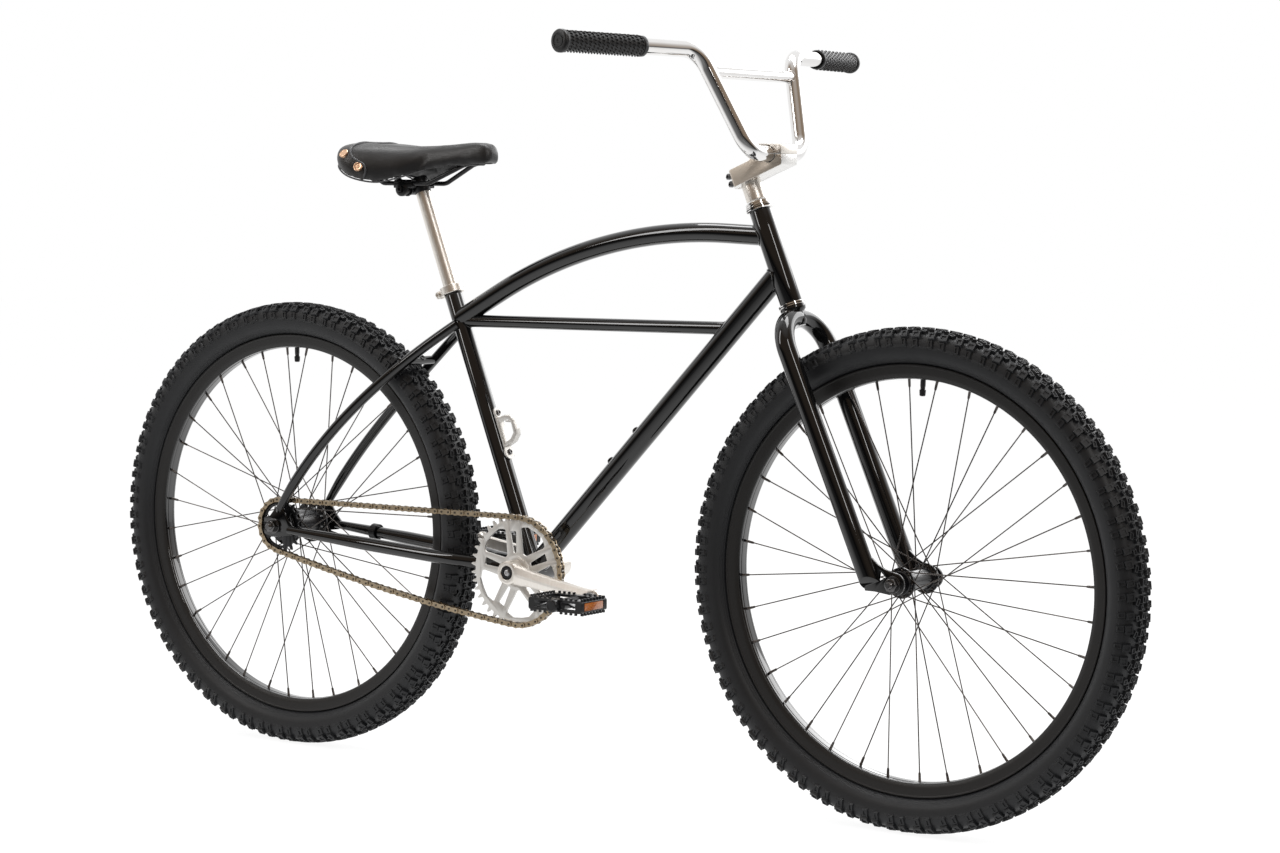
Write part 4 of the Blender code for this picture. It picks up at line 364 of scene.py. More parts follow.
studio = {
    "roomLow": (0.012, 0.011, 0.011),    # what faces the object from behind the camera
    "roomHigh": (0.27, 0.205, 0.15),
    "fill": 0.40,
    "lamps": [  # place, size, watts
        ((-1.9, -2.4, 2.7), (0.45, 2.6), 30),
        ((3.0, -1.4, 2.5), (0.40, 2.4), 28),
        ((0.0, 0.6, 3.2), (3.0, 0.8), 50),
        ((0.4, 2.6, 1.8), (3.0, 1.2), 30),
    ],
}


def addWorld():  # white for the camera, a darker room in reflections from the camera's side
    world = bpy.data.worlds.new("studio")
    bpy.context.scene.world = world
    world.use_nodes = True
    made = Finish(world.node_tree)
    made.tree.nodes.clear()
    rays, mirrored = made.rays()
    x, y, z = made.parts(made.node("ShaderNodeTexCoord", out=0))
    behind = x * -0.57 + y * 0.82         # 1 towards the backdrop, -1 towards the camera
    backdrop = ((behind + 0.10) * 2.2).clamped()
    ceiling = ((z - 0.78) * 5.0).clamped() * 0.6
    room = made.blend(((z - 0.02) * 5.0).clamped(), studio["roomLow"], studio["roomHigh"])
    seen = made.node("ShaderNodeMix", {"data_type": "RGBA"}, {0: (backdrop + ceiling).clamped(), 6: room,
        7: (1, 1, 1, 1)}, 2)

    def glow(colour, strength):
        return made.node("ShaderNodeBackground", {}, {"Color": colour, "Strength": strength})

    def either(share, low, high):
        return made.node("ShaderNodeMixShader", {}, {0: share, 1: low, 2: high})

    white = (1, 1, 1, 1)
    last = either(rays, either(mirrored, glow(white, studio["fill"]), glow(seen, 1.0)), glow(white, 1.0))
    made.node("ShaderNodeOutputWorld", {}, {"Surface": last})


def addLamps():
    target = Vector((0, 0, 0.45))
    for number, (place, size, watts) in enumerate(studio["lamps"]):
        data = bpy.data.lights.new(f"softbox{number}", "AREA")
        data.shape = "RECTANGLE"
        data.size, data.size_y = size
        data.energy = watts
        lamp = newObject(data.name, data)
        lamp.location = place
        lamp.rotation_euler = (target - Vector(place)).to_track_quat("-Z", "Y").to_euler()


addCamera()
addFloor()
addWorld()
addLamps()
bpy.context.scene.view_settings.view_transform = "Standard"
print("camera, floor and lights placed")


# Modelling helpers

def halved(low, high, isLow):  # where a test on a number turns, by halving its range
    for _ in range(60):
        middle = (low + high) / 2
        if isLow(middle):
            low = middle
        else:
            high = middle
    return low


def spots(points, closed=False):  # a place at each point of a path, without twist
    made = []
    side = None
    count = len(points)
    for i, point in enumerate(points):
        before = points[i - 1] if i > 0 or closed else point
        after = points[(i + 1) % count] if i < count - 1 or closed else point
        along = (after - before).normalized()
        guide = side if side else (across if abs(along.y) < 0.9 else upwards)
        side = (guide - along * guide.dot(along)).normalized()
        turn = Matrix((side, along.cross(side), along)).transposed().to_4x4()
        made.append(Matrix.Translation(point) @ turn)
    return made


def newVerts(grown):
    return [g for g in grown if isinstance(g, bmesh.types.BMVert)]


def tube(bm, points, radius, sides=28, capped=True, closed=False):  # a circle carried along a path
    radii = radius if isinstance(radius, list) else [radius] * len(points)
    places = [spot @ Matrix.Diagonal((r, r, 1, 1)) for spot, r in zip(spots(points, closed), radii)]
    ring = bmesh.ops.create_circle(bm, segments=sides, radius=1, matrix=places[0])["verts"]
    edges = list({e for v in ring for e in v.link_edges})
    first = edges
    for a, b in zip(places, places[1:]):
        grown = bmesh.ops.extrude_edge_only(bm, edges=edges)["geom"]
        ring = newVerts(grown)
        kept = set(ring)
        edges = [g for g in grown if isinstance(g, bmesh.types.BMEdge) and kept.issuperset(g.verts)]
        bmesh.ops.transform(bm, matrix=b @ a.inverted(), verts=ring)
    if closed:
        bmesh.ops.bridge_loops(bm, edges=first + edges)
    elif capped:
        bmesh.ops.edgeloop_fill(bm, edges=first + edges)


def turned(bm, base, axis, profile, steps=32, closed=False):  # profile: (along the axis, radius)
    axis = axis.normalized()
    spot = spots([base, base + axis])[0]
    verts = [bm.verts.new(spot @ Vector((r, 0, d))) for d, r in profile]
    edges = [bm.edges.new(pair) for pair in zip(verts, verts[1:])]
    if closed:
        edges.append(bm.edges.new((verts[-1], verts[0])))
    bmesh.ops.spin(bm, geom=verts + edges, cent=base, axis=axis, angle=2 * math.pi, steps=steps,
        use_merge=True)


def capped(profile):  # a profile that starts and ends on the axis
    return [(profile[0][0], 0.0)] + profile + [(profile[-1][0], 0.0)]


def plate(bm, corners, push):  # a flat outline given a thickness
    face = bm.faces.new([bm.verts.new(c) for c in corners])
    grown = bmesh.ops.extrude_face_region(bm, geom=[face])["geom"]
    bmesh.ops.translate(bm, verts=newVerts(grown), vec=push)


def block(bm, spot, size):
    bmesh.ops.create_cube(bm, size=1, matrix=spot @ Matrix.Diagonal((*size, 1)))


def tidyMesh(bm):
    bmesh.ops.remove_doubles(bm, verts=bm.verts, dist=1e-6)
    bmesh.ops.recalc_face_normals(bm, faces=bm.faces)


def roundEdges(bm, width, segments=2, sharper=32):
    tidyMesh(bm)
    limit = math.radians(sharper)
    edges = [e for e in bm.edges if len(e.link_faces) == 2 and e.calc_face_angle() > limit]
    bmesh.ops.bevel(bm, geom=edges, offset=width, offset_type="OFFSET", segments=segments, profile=0.5,
        affect="EDGES", material=-1, clamp_overlap=True)


def pour(bm, into):  # adds one shape to another
    mesh = meshOf("pouring", bm)
    into.from_mesh(mesh)
    bpy.data.meshes.remove(mesh)


def carve(bm, cutter, operation="DIFFERENCE"):  # a Boolean between two shapes
    both = []
    for shape in (bm, cutter):
        tidyMesh(shape)
        both.append(newObject("carving", meshOf("carving", shape)))
    step = both[0].modifiers.new("carve", "BOOLEAN")
    step.operation = operation
    step.object = both[1]
    left = bmesh.new()
    left.from_object(both[0], bpy.context.evaluated_depsgraph_get())
    for helper in both:
        mesh = helper.data
        bpy.data.objects.remove(helper)
        bpy.data.meshes.remove(mesh)
    return left


def notched(bm, spot, size):  # a block cut out of a shape
    cutter = bmesh.new()
    block(cutter, spot, size)
    return carve(bm, cutter)


def roundedBlock(into, spot, size, width, segments=2):  # a block with rounded edges
    made = bmesh.new()
    block(made, spot, size)
    roundEdges(made, width, segments)
    pour(made, into)


def addPiece(name, bm, finish, body, stands=None, smooth=40):
    tidyMesh(bm)
    mesh = meshOf(name, bm)
    mesh.materials.append(finish)
    mesh.shade_smooth()
    mesh.set_sharp_from_angle(angle=math.radians(smooth))
    piece = newObject(name, mesh)
    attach(piece, body)
    if stands:
        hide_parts(stands)
    return piece


def asSeen(piece):  # with its modifiers
    return piece.evaluated_get(bpy.context.evaluated_depsgraph_get())


def rounded(points, radii, steps=12):  # a path through corners, each inner corner rounded
    path = [points[0]]
    for corner, before, after, radius in zip(points[1:-1], points, points[2:], radii):
        a, b = (before - corner).normalized(), (after - corner).normalized()
        half = a.angle(b) / 2
        centre = corner + (a + b).normalized() * (radius / math.sin(half))
        start = corner + a * (radius / math.tan(half)) - centre
        end = corner + b * (radius / math.tan(half)) - centre
        sweep = start.angle(end)
        for k in range(steps + 1):
            t = k / steps
            part = start * math.sin((1 - t) * sweep) + end * math.sin(t * sweep)
            path.append(centre + part / math.sin(sweep))
    path.append(points[-1])
    return path


def curve(points, steps):  # a smooth line through chosen points
    ends = [points[0] * 2 - points[1]] + points + [points[-1] * 2 - points[-2]]
    path = []
    for p0, p1, p2, p3 in zip(ends, ends[1:], ends[2:], ends[3:]):
        for k in range(steps):
            t = k / steps
            path.append(0.5 * (2 * p1 + (p2 - p0) * t + (2 * p0 - 5 * p1 + 4 * p2 - p3) * t ** 2
                               + (3 * p1 - p0 - 3 * p2 + p3) * t ** 3))
    path.append(points[-1])
    return path


def arc(radius, start, end, steps):
    turns = [math.radians(start + (end - start) * i / steps) for i in range(steps + 1)]
    return [(radius * math.cos(a), radius * math.sin(a)) for a in turns]


def weldBead(bm, start, towards, radius, base, axis, wide, bead=0.0016, steps=48):
    # the line where a tube from start meets a wider one, with a bead laid along it
    towards, axis = towards.normalized(), axis.normalized()
    spot = spots([start, start + towards])[0]
    line = []
    for i in range(steps):
        a = 2 * math.pi * i / steps
        p = spot @ Vector((radius * math.cos(a), radius * math.sin(a), 0))
        out = (p - base) - axis * (p - base).dot(axis)
        run = towards - axis * towards.dot(axis)
        half, rest = out.dot(run), out.dot(out) - wide * wide
        inside = half * half - run.dot(run) * rest
        if inside < 0:
            continue
        line.append(p + towards * ((-half - math.sqrt(inside)) / run.dot(run)))
    if len(line) == steps:
        tube(bm, line, bead, 8, closed=True)


# Frame tubes
tubes = {
    "topAbove": 0.0315,          # on the head tube, above its middle
    "topRise": 2.2,              # degrees
    "topStraight": 0.070,
    "topTail": 0.0832,
    "topBelow": 0.0503,          # below the seat tube's top
    "topRadius": 0.0143,
    "downBelow": 0.0225,
    "downRadius": 0.0159,
    "midBelow": 0.0532,
    "midSlope": 0.6,
    "midRadius": 0.0095,
    "shellRadius": 0.020,
    "shellWidth": 0.068,
    "bossPlace": 0.2515,
    "bossSpacing": 0.064,
}


def archPath():
    def above(angle):
        a = math.radians(angle)
        return Vector((math.sin(a), 0, math.cos(a)))

    start = steerPoint(0, tubes["topAbove"])
    bend = start + leaning(tubes["topRise"]) * tubes["topStraight"]
    meeting = seatPoint(layout["seatTube"] - tubes["topBelow"])

    def chordOf(fall):
        return meeting - leaning(-fall) * tubes["topTail"] - bend

    def tooShallow(fall):
        chord = chordOf(fall)
        return math.degrees(math.atan2(-chord.z, -chord.x)) > (fall - tubes["topRise"]) / 2

    fall = halved(0.0, 80.0, tooShallow)
    radius = chordOf(fall).length / (2 * math.sin(math.radians(fall + tubes["topRise"]) / 2))
    centre = bend - above(tubes["topRise"]) * radius
    steps = 28
    turns = [tubes["topRise"] - (tubes["topRise"] + fall) * i / steps for i in range(steps + 1)]
    return [start] + [centre + above(a) * radius for a in turns] + [meeting]


def addMainTubes():
    half = layout["headLength"] / 2
    headRadius, seatRadius = layout["headRadius"], layout["seatRadius"]
    bm = bmesh.new()
    turned(bm, headMiddle, steerUp, capped([(-half, headRadius - 0.0004), (-half + 0.0008, headRadius),
        (half - 0.0008, headRadius), (half, headRadius - 0.0004)]), 48)
    addPiece("headTube", bm, paint, "frame", "head_tube")

    path = archPath()
    bm = bmesh.new()
    tube(bm, path, tubes["topRadius"], 40)
    weldBead(bm, path[1], path[0] - path[1], tubes["topRadius"], headMiddle, steerUp, headRadius)
    weldBead(bm, path[-2], path[-1] - path[-2], tubes["topRadius"], crankAxis, seatUp, seatRadius + 0.0006)
    addPiece("topTube", bm, paint, "frame", "top_tube")

    upper = steerPoint(0, -tubes["downBelow"])
    along = (upper - crankAxis).normalized()
    out = Vector((-along.z, 0, along.x))
    bm = bmesh.new()
    tube(bm, [crankAxis, upper], tubes["downRadius"], 40)
    weldBead(bm, crankAxis.lerp(upper, 0.5), along, tubes["downRadius"], headMiddle, steerUp,
        headRadius + 0.0009)
    weldBead(bm, crankAxis.lerp(upper, 0.5), -along, tubes["downRadius"], crankAxis, across,
        tubes["shellRadius"])
    for shift in (-0.5, 0.5):
        foot = crankAxis + along * (tubes["bossPlace"] + tubes["bossSpacing"] * shift)
        top = tubes["downRadius"] + 0.0032
        turned(bm, foot, out, capped([(top - 0.008, 0.0062), (top - 0.0022, 0.0062), (top - 0.0016, 0.0050),
            (top - 0.0005, 0.0050), (top, 0.0044), (top, 0.0026), (top - 0.002, 0.0024)]), 24)
    addPiece("downTube", bm, paint, "frame", "down_tube")

    start = seatPoint(layout["seatTube"] - tubes["midBelow"])
    forward = -leaning(-tubes["midSlope"])
    reach = (crankAxis - start).dot(out) / forward.dot(out)
    bm = bmesh.new()
    tube(bm, [start, start + forward * reach], tubes["midRadius"], 32)
    middle = start + forward * reach * 0.5
    weldBead(bm, middle, forward, tubes["midRadius"], crankAxis, along, tubes["downRadius"], 0.0013)
    weldBead(bm, middle, -forward, tubes["midRadius"], crankAxis, seatUp, seatRadius, 0.0013)
    addPiece("midTube", bm, paint, "frame", "mid_tube")

    bm = bmesh.new()
    top = layout["seatTube"]
    turned(bm, crankAxis, seatUp, [(0.004, seatRadius), (top - 0.0008, seatRadius),
        (top, seatRadius - 0.0005), (top, 0.0117), (top - 0.012, 0.0117)], 48)
    weldBead(bm, seatPoint(top / 2), -seatUp, seatRadius, crankAxis, across, tubes["shellRadius"])
    addPiece("seatTube", bm, paint, "frame", "seat_tube")

    bm = bmesh.new()
    wide, radius = tubes["shellWidth"] / 2, tubes["shellRadius"]
    turned(bm, crankAxis, across, [(-wide, radius - 0.0028), (-wide, radius - 0.0006), (-wide + 0.0006,
        radius), (wide - 0.0006, radius), (wide, radius - 0.0006), (wide, radius - 0.0028)], 64,
        closed=True)
    addPiece("bottomBracketShell", bm, paint, "frame", "bottom_bracket_shell")


stays = {
    "chainRadius": 0.0104,
    "seatRadius": 0.00795,
    "dropoutIn": 0.0552,
    "dropoutThick": 0.0048,
    "seatTopBelow": 0.0580,
    "lowSlope": 57.5,
    "topSlope": 35.0,
    "tyreHalf": 0.0292,
    "bridgeRadius": 0.0065,
    "tyreRoom": 0.0063,
    "ringReach": 0.0809,         # the chainring's pitch radius
}
dropoutMiddle = stays["dropoutIn"] + stays["dropoutThick"] / 2


def chainstayPath(side):
    tyreSide = stays["tyreHalf"] + stays["chainRadius"] + 0.0045
    ringSide = layout["chainLine"] - 0.0016 - stays["chainRadius"] - 0.0030
    shellSide = tubes["shellWidth"] / 2 - stays["chainRadius"]
    start = rearAxle + Vector((0.0290, 0, -0.0050))
    tyreEnd = rearAxle.x + layout["tyreRadius"] * 0.965
    ringEnd = crankAxis.x - stays["ringReach"]
    slope = (crankAxis.z - start.z) / (crankAxis.x - start.x)

    def at(x, y):
        return Vector((x, side * y, start.z + (x - start.x) * slope))

    path = [at(start.x, dropoutMiddle), at((start.x + tyreEnd) / 2, (dropoutMiddle + tyreSide) / 2)]
    path += [at(tyreEnd - 0.0150, tyreSide), at((tyreEnd + ringEnd) / 2, (tyreSide + ringSide) / 2)]
    path += [at(ringEnd, ringSide), at(crankAxis.x - 0.032, shellSide), at(crankAxis.x - 0.006, shellSide)]
    return curve(path, 8)


def seatstayPoint(side, t):
    start = rearAxle + Vector((0.0095, 0, 0.0265))
    end = seatPoint(layout["seatTube"] - stays["seatTopBelow"])
    low, top = -leaning(-stays["lowSlope"]), -leaning(-stays["topSlope"])
    apart = end - start
    reach = (apart.x * top.z - apart.z * top.x) / (low.x * top.z - low.z * top.x)
    corner = start + low * reach
    flat = start * (1 - t) ** 2 + corner * (2 * t * (1 - t)) + end * t ** 2
    narrow = layout["seatRadius"] - 0.0018
    return flat + across * side * (dropoutMiddle - (dropoutMiddle - narrow) * t ** 3.4)


def dropoutOutline():
    slot, tail = 0.0053, -0.0200
    outline = [(tail, -slot), (tail, -0.0118), (-0.0185, -0.0135), (-0.0040, -0.0175), (0.0180, -0.0150)]
    outline += [(0.0340, -0.0130), (0.0380, 0.0010), (0.0270, 0.0130), (0.0200, 0.0240), (0.0155, 0.0330)]
    outline += [(0.0040, 0.0300), (-0.0080, 0.0160), (-0.0185, 0.0130), (tail, 0.0115), (tail, slot)]
    return outline + arc(slot, 90, -90, 12)


def addRearTriangle():
    for side, name in bothSides:
        bm = bmesh.new()
        path = chainstayPath(side)
        radii = [stays["chainRadius"] * min(1.0, 0.62 + 0.05 * i) for i in range(len(path))]
        tube(bm, path, radii, 32)
        weldBead(bm, path[-6], path[-1] - path[-6], stays["chainRadius"], crankAxis, across,
            tubes["shellRadius"])
        plateMesh = bmesh.new()
        low = side * stays["dropoutIn"]
        plate(plateMesh, [rearAxle + Vector((u, low, v)) for u, v in dropoutOutline()],
            across * side * stays["dropoutThick"])
        roundEdges(plateMesh, 0.0005)
        pour(plateMesh, bm)
        addPiece("chainstay." + name, bm, paint, "frame", "chainstay_" + name)

        bm = bmesh.new()
        path = [seatstayPoint(side, i / 30) for i in range(31)]
        radii = [stays["seatRadius"] * min(1.0, 0.74 + 0.06 * i) for i in range(31)]
        tube(bm, path, radii, 28)
        foot = spots([path[0], path[1]])[0]
        turned(bm, foot @ Vector((0, 0, -0.001)), path[1] - path[0],
            capped([(-0.004, 0.0035), (0.0, 0.0056), (0.003, 0.0064)]), 20)
        weldBead(bm, path[-5], path[-1] - path[-5], stays["seatRadius"], crankAxis, seatUp,
            layout["seatRadius"], 0.0012)
        if side < 0:  # a small boss for a cable guide
            place = seatstayPoint(side, 0.80)
            turned(bm, place, Vector((-0.5, -0.6, 0.6)), capped([(0.004, 0.0032), (0.0095, 0.0032),
                (0.0102, 0.0026)]), 16)
        addPiece("seatstay." + name, bm, paint, "frame", "seatstay_" + name)


def bridgeShare():
    reach = layout["tyreRadius"] + stays["tyreRoom"] + stays["bridgeRadius"]

    def insideTyre(share):
        away = seatstayPoint(1, share) - rearAxle
        return math.hypot(away.x, away.z) < reach

    return halved(0.0, 1.0, insideTyre)


def addBridges():
    place = seatstayPoint(1, bridgeShare())
    half, place = place.y, Vector((place.x, 0, place.z))
    outward = (place - rearAxle).normalized()
    radius = stays["bridgeRadius"]
    bm = bmesh.new()
    turned(bm, place, across, capped([(-half, radius), (half, radius)]), 32)
    turned(bm, place, outward, [(radius - 0.001, 0.0052), (radius + 0.0009, 0.0052), (radius + 0.0009,
        0.0031), (radius - 0.004, 0.0031), (radius - 0.004, 0)], 24)
    addPiece("seatstayBridge", bm, paint, "frame", "seatstay_bridge")
    ends = chainstayPath(-1)[32], chainstayPath(1)[32]
    bm = bmesh.new()
    turned(bm, (ends[0] + ends[1]) / 2, across, capped([(ends[0].y, radius), (ends[1].y, radius)]), 32)
    addPiece("chainstayBridge", bm, paint, "frame", "chainstay_bridge")


addMainTubes()
addRearTriangle()
addBridges()
print("frame tubes made")


# Fork and headset
forkSize = {
    "bladeRadius": 0.0139,
    "spread": 0.0555,
    "forwardTop": 0.0020,
    "forwardEnd": 0.0112,
    "footBelow": 0.0030,
    "crownBelow": 0.0920,
    "bend": 0.0500,
    "bevel": 39.0,
    "hub": 0.0503,               # half of the space between the dropouts
    "plateThick": 0.0050,
}
cupFoot = layout["headLength"] / 2 + 0.0003
raceTop = cupFoot + 0.0063
locknutTop = raceTop + 0.0085


def forkBlade(side):
    below = (frontAxle - headMiddle).dot(steerUp) - forkSize["footBelow"]
    end = steerPoint(forkSize["forwardEnd"], below, side * forkSize["spread"])
    inner = steerPoint(0, -forkSize["crownBelow"], -side * 0.004)
    corner = steerPoint(forkSize["forwardTop"], -forkSize["crownBelow"], side * forkSize["spread"])
    bm = bmesh.new()
    tube(bm, rounded([inner, corner, end], [forkSize["bend"]], 14), forkSize["bladeRadius"], 36)
    rise = math.radians(forkSize["bevel"])  # the foot is cut at a slope that rises outwards
    tip = end + steerUp * 0.0030 - across * side * forkSize["bladeRadius"]
    normal = steerUp * math.cos(rise) - across * side * math.sin(rise)
    cut = bmesh.ops.bisect_plane(bm, geom=bm.verts[:] + bm.edges[:] + bm.faces[:], plane_co=tip,
        plane_no=normal, clear_inner=True)["geom_cut"]
    bmesh.ops.edgeloop_fill(bm, edges=[g for g in cut if isinstance(g, bmesh.types.BMEdge)])
    roundEdges(bm, 0.0008)
    return bm


def forkDropout(side):
    slot, foot = 0.0053, -0.0150
    outline = [(-slot, foot), (-slot, 0)] + [(u, v + 0.0003) for u, v in arc(slot, 180, 0, 12)]
    outline += [(slot, 0), (slot, foot)] + arc(0.0165, -50, 62, 10)
    outline += [(-0.0030, 0.0170), (-0.0140, 0.0195), (-0.0250, 0.0250), (-0.0352, 0.0335), (-0.0480, 0.0400)]
    outline += [(-0.0450, -0.0120), (-0.0300, -0.0120)]
    bm = bmesh.new()
    low = side * forkSize["hub"]
    plate(bm, [frontAxle + Vector((u, low, v)) for u, v in outline], across * side * forkSize["plateThick"])
    opening = bmesh.new()
    corners = [frontAxle + Vector((u, side * 0.02, v)) for u, v in ((-0.0235, 0.0030), (-0.0125, 0.0085),
        (-0.0215, 0.0175))]
    plate(opening, corners, across * side * 0.06)
    bm = carve(bm, opening)
    roundEdges(bm, 0.0006)
    return bm


def addFork():
    bm = bmesh.new()
    outer, race = layout["steererRadius"], layout["headRadius"] + 0.00275
    foot = -forkSize["crownBelow"] - 0.007
    turned(bm, headMiddle, steerUp, capped([(foot - 0.006, outer * 0.8), (foot, outer + 0.0012),
        (-raceTop - 0.010, outer + 0.0012), (-raceTop - 0.006, race - 0.001), (-raceTop - 0.0012, race),
        (-raceTop, race - 0.0006), (-raceTop, outer), (raceTop, outer)]), 48)
    for side in (-1, 1):
        pour(forkBlade(side), bm)
        pour(forkDropout(side), bm)
        start = steerPoint(0.0004, -forkSize["crownBelow"], side * 0.030)
        weldBead(bm, start, -across * side, forkSize["bladeRadius"], headMiddle, steerUp, outer + 0.0014,
            0.0014)
    addPiece("forkBlades", bm, paint, "fork", "fork")


def addHeadset():
    headRadius, steerer = layout["headRadius"], layout["steererRadius"] + 0.0004
    lip = headRadius + 0.0035
    for name, way in (("upper", 1), ("lower", -1)):
        bm = bmesh.new()
        turned(bm, steerPoint(0, way * cupFoot), steerUp * way, [(0, headRadius - 0.001),
            (0, headRadius + 0.0010), (0.0008, lip - 0.0010), (0.0016, lip), (0.0030, lip),
            (0.0034, lip - 0.0012), (0.0042, lip - 0.0014), (0.0046, lip - 0.0002), (0.0056, lip - 0.0002),
            (0.0060, lip - 0.0008), (0.0060, steerer), (0, steerer)], 56, closed=True)
        addPiece("headsetCup." + name, bm, chrome, "frame", "headset_" + name + "_cup")
    bm = bmesh.new()
    wide = headRadius + 0.00275
    turned(bm, headMiddle, steerUp, [(raceTop, steerer), (raceTop, wide - 0.0012), (raceTop + 0.0007, wide),
        (raceTop + 0.0022, wide), (raceTop + 0.0028, wide - 0.0022), (raceTop + 0.0034, wide - 0.0022),
        (raceTop + 0.0038, wide - 0.0008), (raceTop + 0.0060, wide - 0.0010), (raceTop + 0.0074,
        wide - 0.0030), (locknutTop, wide - 0.0036), (locknutTop, steerer)], 56, closed=True)
    addPiece("headsetLocknut", bm, chrome, "fork", "headset_locknut")
    bm = bmesh.new()
    for way in (1, -1):
        turned(bm, steerPoint(0, way * cupFoot), steerUp * way, [(0.0033, lip - 0.0020),
            (0.0035, lip - 0.0004), (0.0044, lip - 0.0004), (0.0046, lip - 0.0020)], 56, closed=True)
    addPiece("headsetSeals", bm, rubber, "frame")


addFork()
addHeadset()
print("fork and headset made")


def carried(bm, verts, edges, rings):  # a row of points carried through the next ones
    for ring in rings:
        grown = bmesh.ops.extrude_edge_only(bm, edges=edges)["geom"]
        fresh = set(newVerts(grown))
        verts = [next(e.other_vert(v) for e in v.link_edges if e.other_vert(v) in fresh) for v in verts]
        for v, p in zip(verts, ring):
            v.co = p
        edges = [g for g in grown if isinstance(g, bmesh.types.BMEdge) and fresh.issuperset(g.verts)]
    return edges


def loft(bm, rings):  # closed rings joined in a row, ends filled
    verts = [bm.verts.new(p) for p in rings[0]]
    ends = [bm.edges.new(pair) for pair in zip(verts, verts[1:] + verts[:1])]
    last = carried(bm, verts, ends, rings[1:])
    bmesh.ops.edgeloop_fill(bm, edges=ends + last)


def hexBolt(bm, place, axis, radius, height, sides=6):  # a head with a recess in its end
    spot = spots([place, place + axis.normalized()])[0]
    head = bmesh.new()
    bmesh.ops.create_cone(head, cap_ends=True, segments=sides, radius1=radius, radius2=radius, depth=height,
        matrix=spot @ Matrix.Translation((0, 0, height / 2)))
    top = max(head.faces, key=lambda f: (f.calc_center_median() - place).dot(axis))
    inner = bmesh.ops.inset_individual(head, faces=[top], thickness=radius * 0.45)["faces"]
    bmesh.ops.inset_individual(head, faces=[top], thickness=0.00001, depth=-height * 0.5)
    edges = [e for f in inner for e in f.edges]
    bmesh.ops.bevel(head, geom=list(set(edges)), offset=radius * 0.06, offset_type="OFFSET", segments=1,
        profile=0.5, affect="EDGES", material=-1)
    pour(head, bm)


# Stem and handlebar
stem = {
    "above": 0.1122,             # its underside above the head tube's middle
    "height": 0.0255,
    "reach": 0.0536,
    "barRise": 0.0219,
    "width": 0.0420,
    "rear": 0.0254,
    "dip": 0.0190,
    "clampReach": 0.0220,
    "capHeight": 0.0142,
    "capWidth": 0.0430,
    "postRadius": 0.0143,
    "gap": 0.0003,
}
bar = {
    "radius": 0.0111,
    "half": 0.3754,
    "rise": 0.1408,
    "foot": 0.0686,
    "head": 0.1207,
    "lean": 0.0532,
    "sweep": 0.0517,
    "endRise": 0.0025,
    "footBend": 0.0382,
    "headBend": 0.0435,
    "crossRadius": 0.00825,
    "crossShare": 0.790,
}
grip = {
    "length": 0.1540,
    "core": 0.0134,
    "flange": 0.0158,
    "ridge": (0.0030, 0.0068, 0.0016),   # width, length, height
    "around": 17,
    "along": 17,
}
barMiddle = steerPoint(stem["reach"], stem["above"] + stem["barRise"])
stemTop = stem["above"] + stem["height"]


def besideBar(ahead, above):
    return steerPoint(ahead, above) - barMiddle


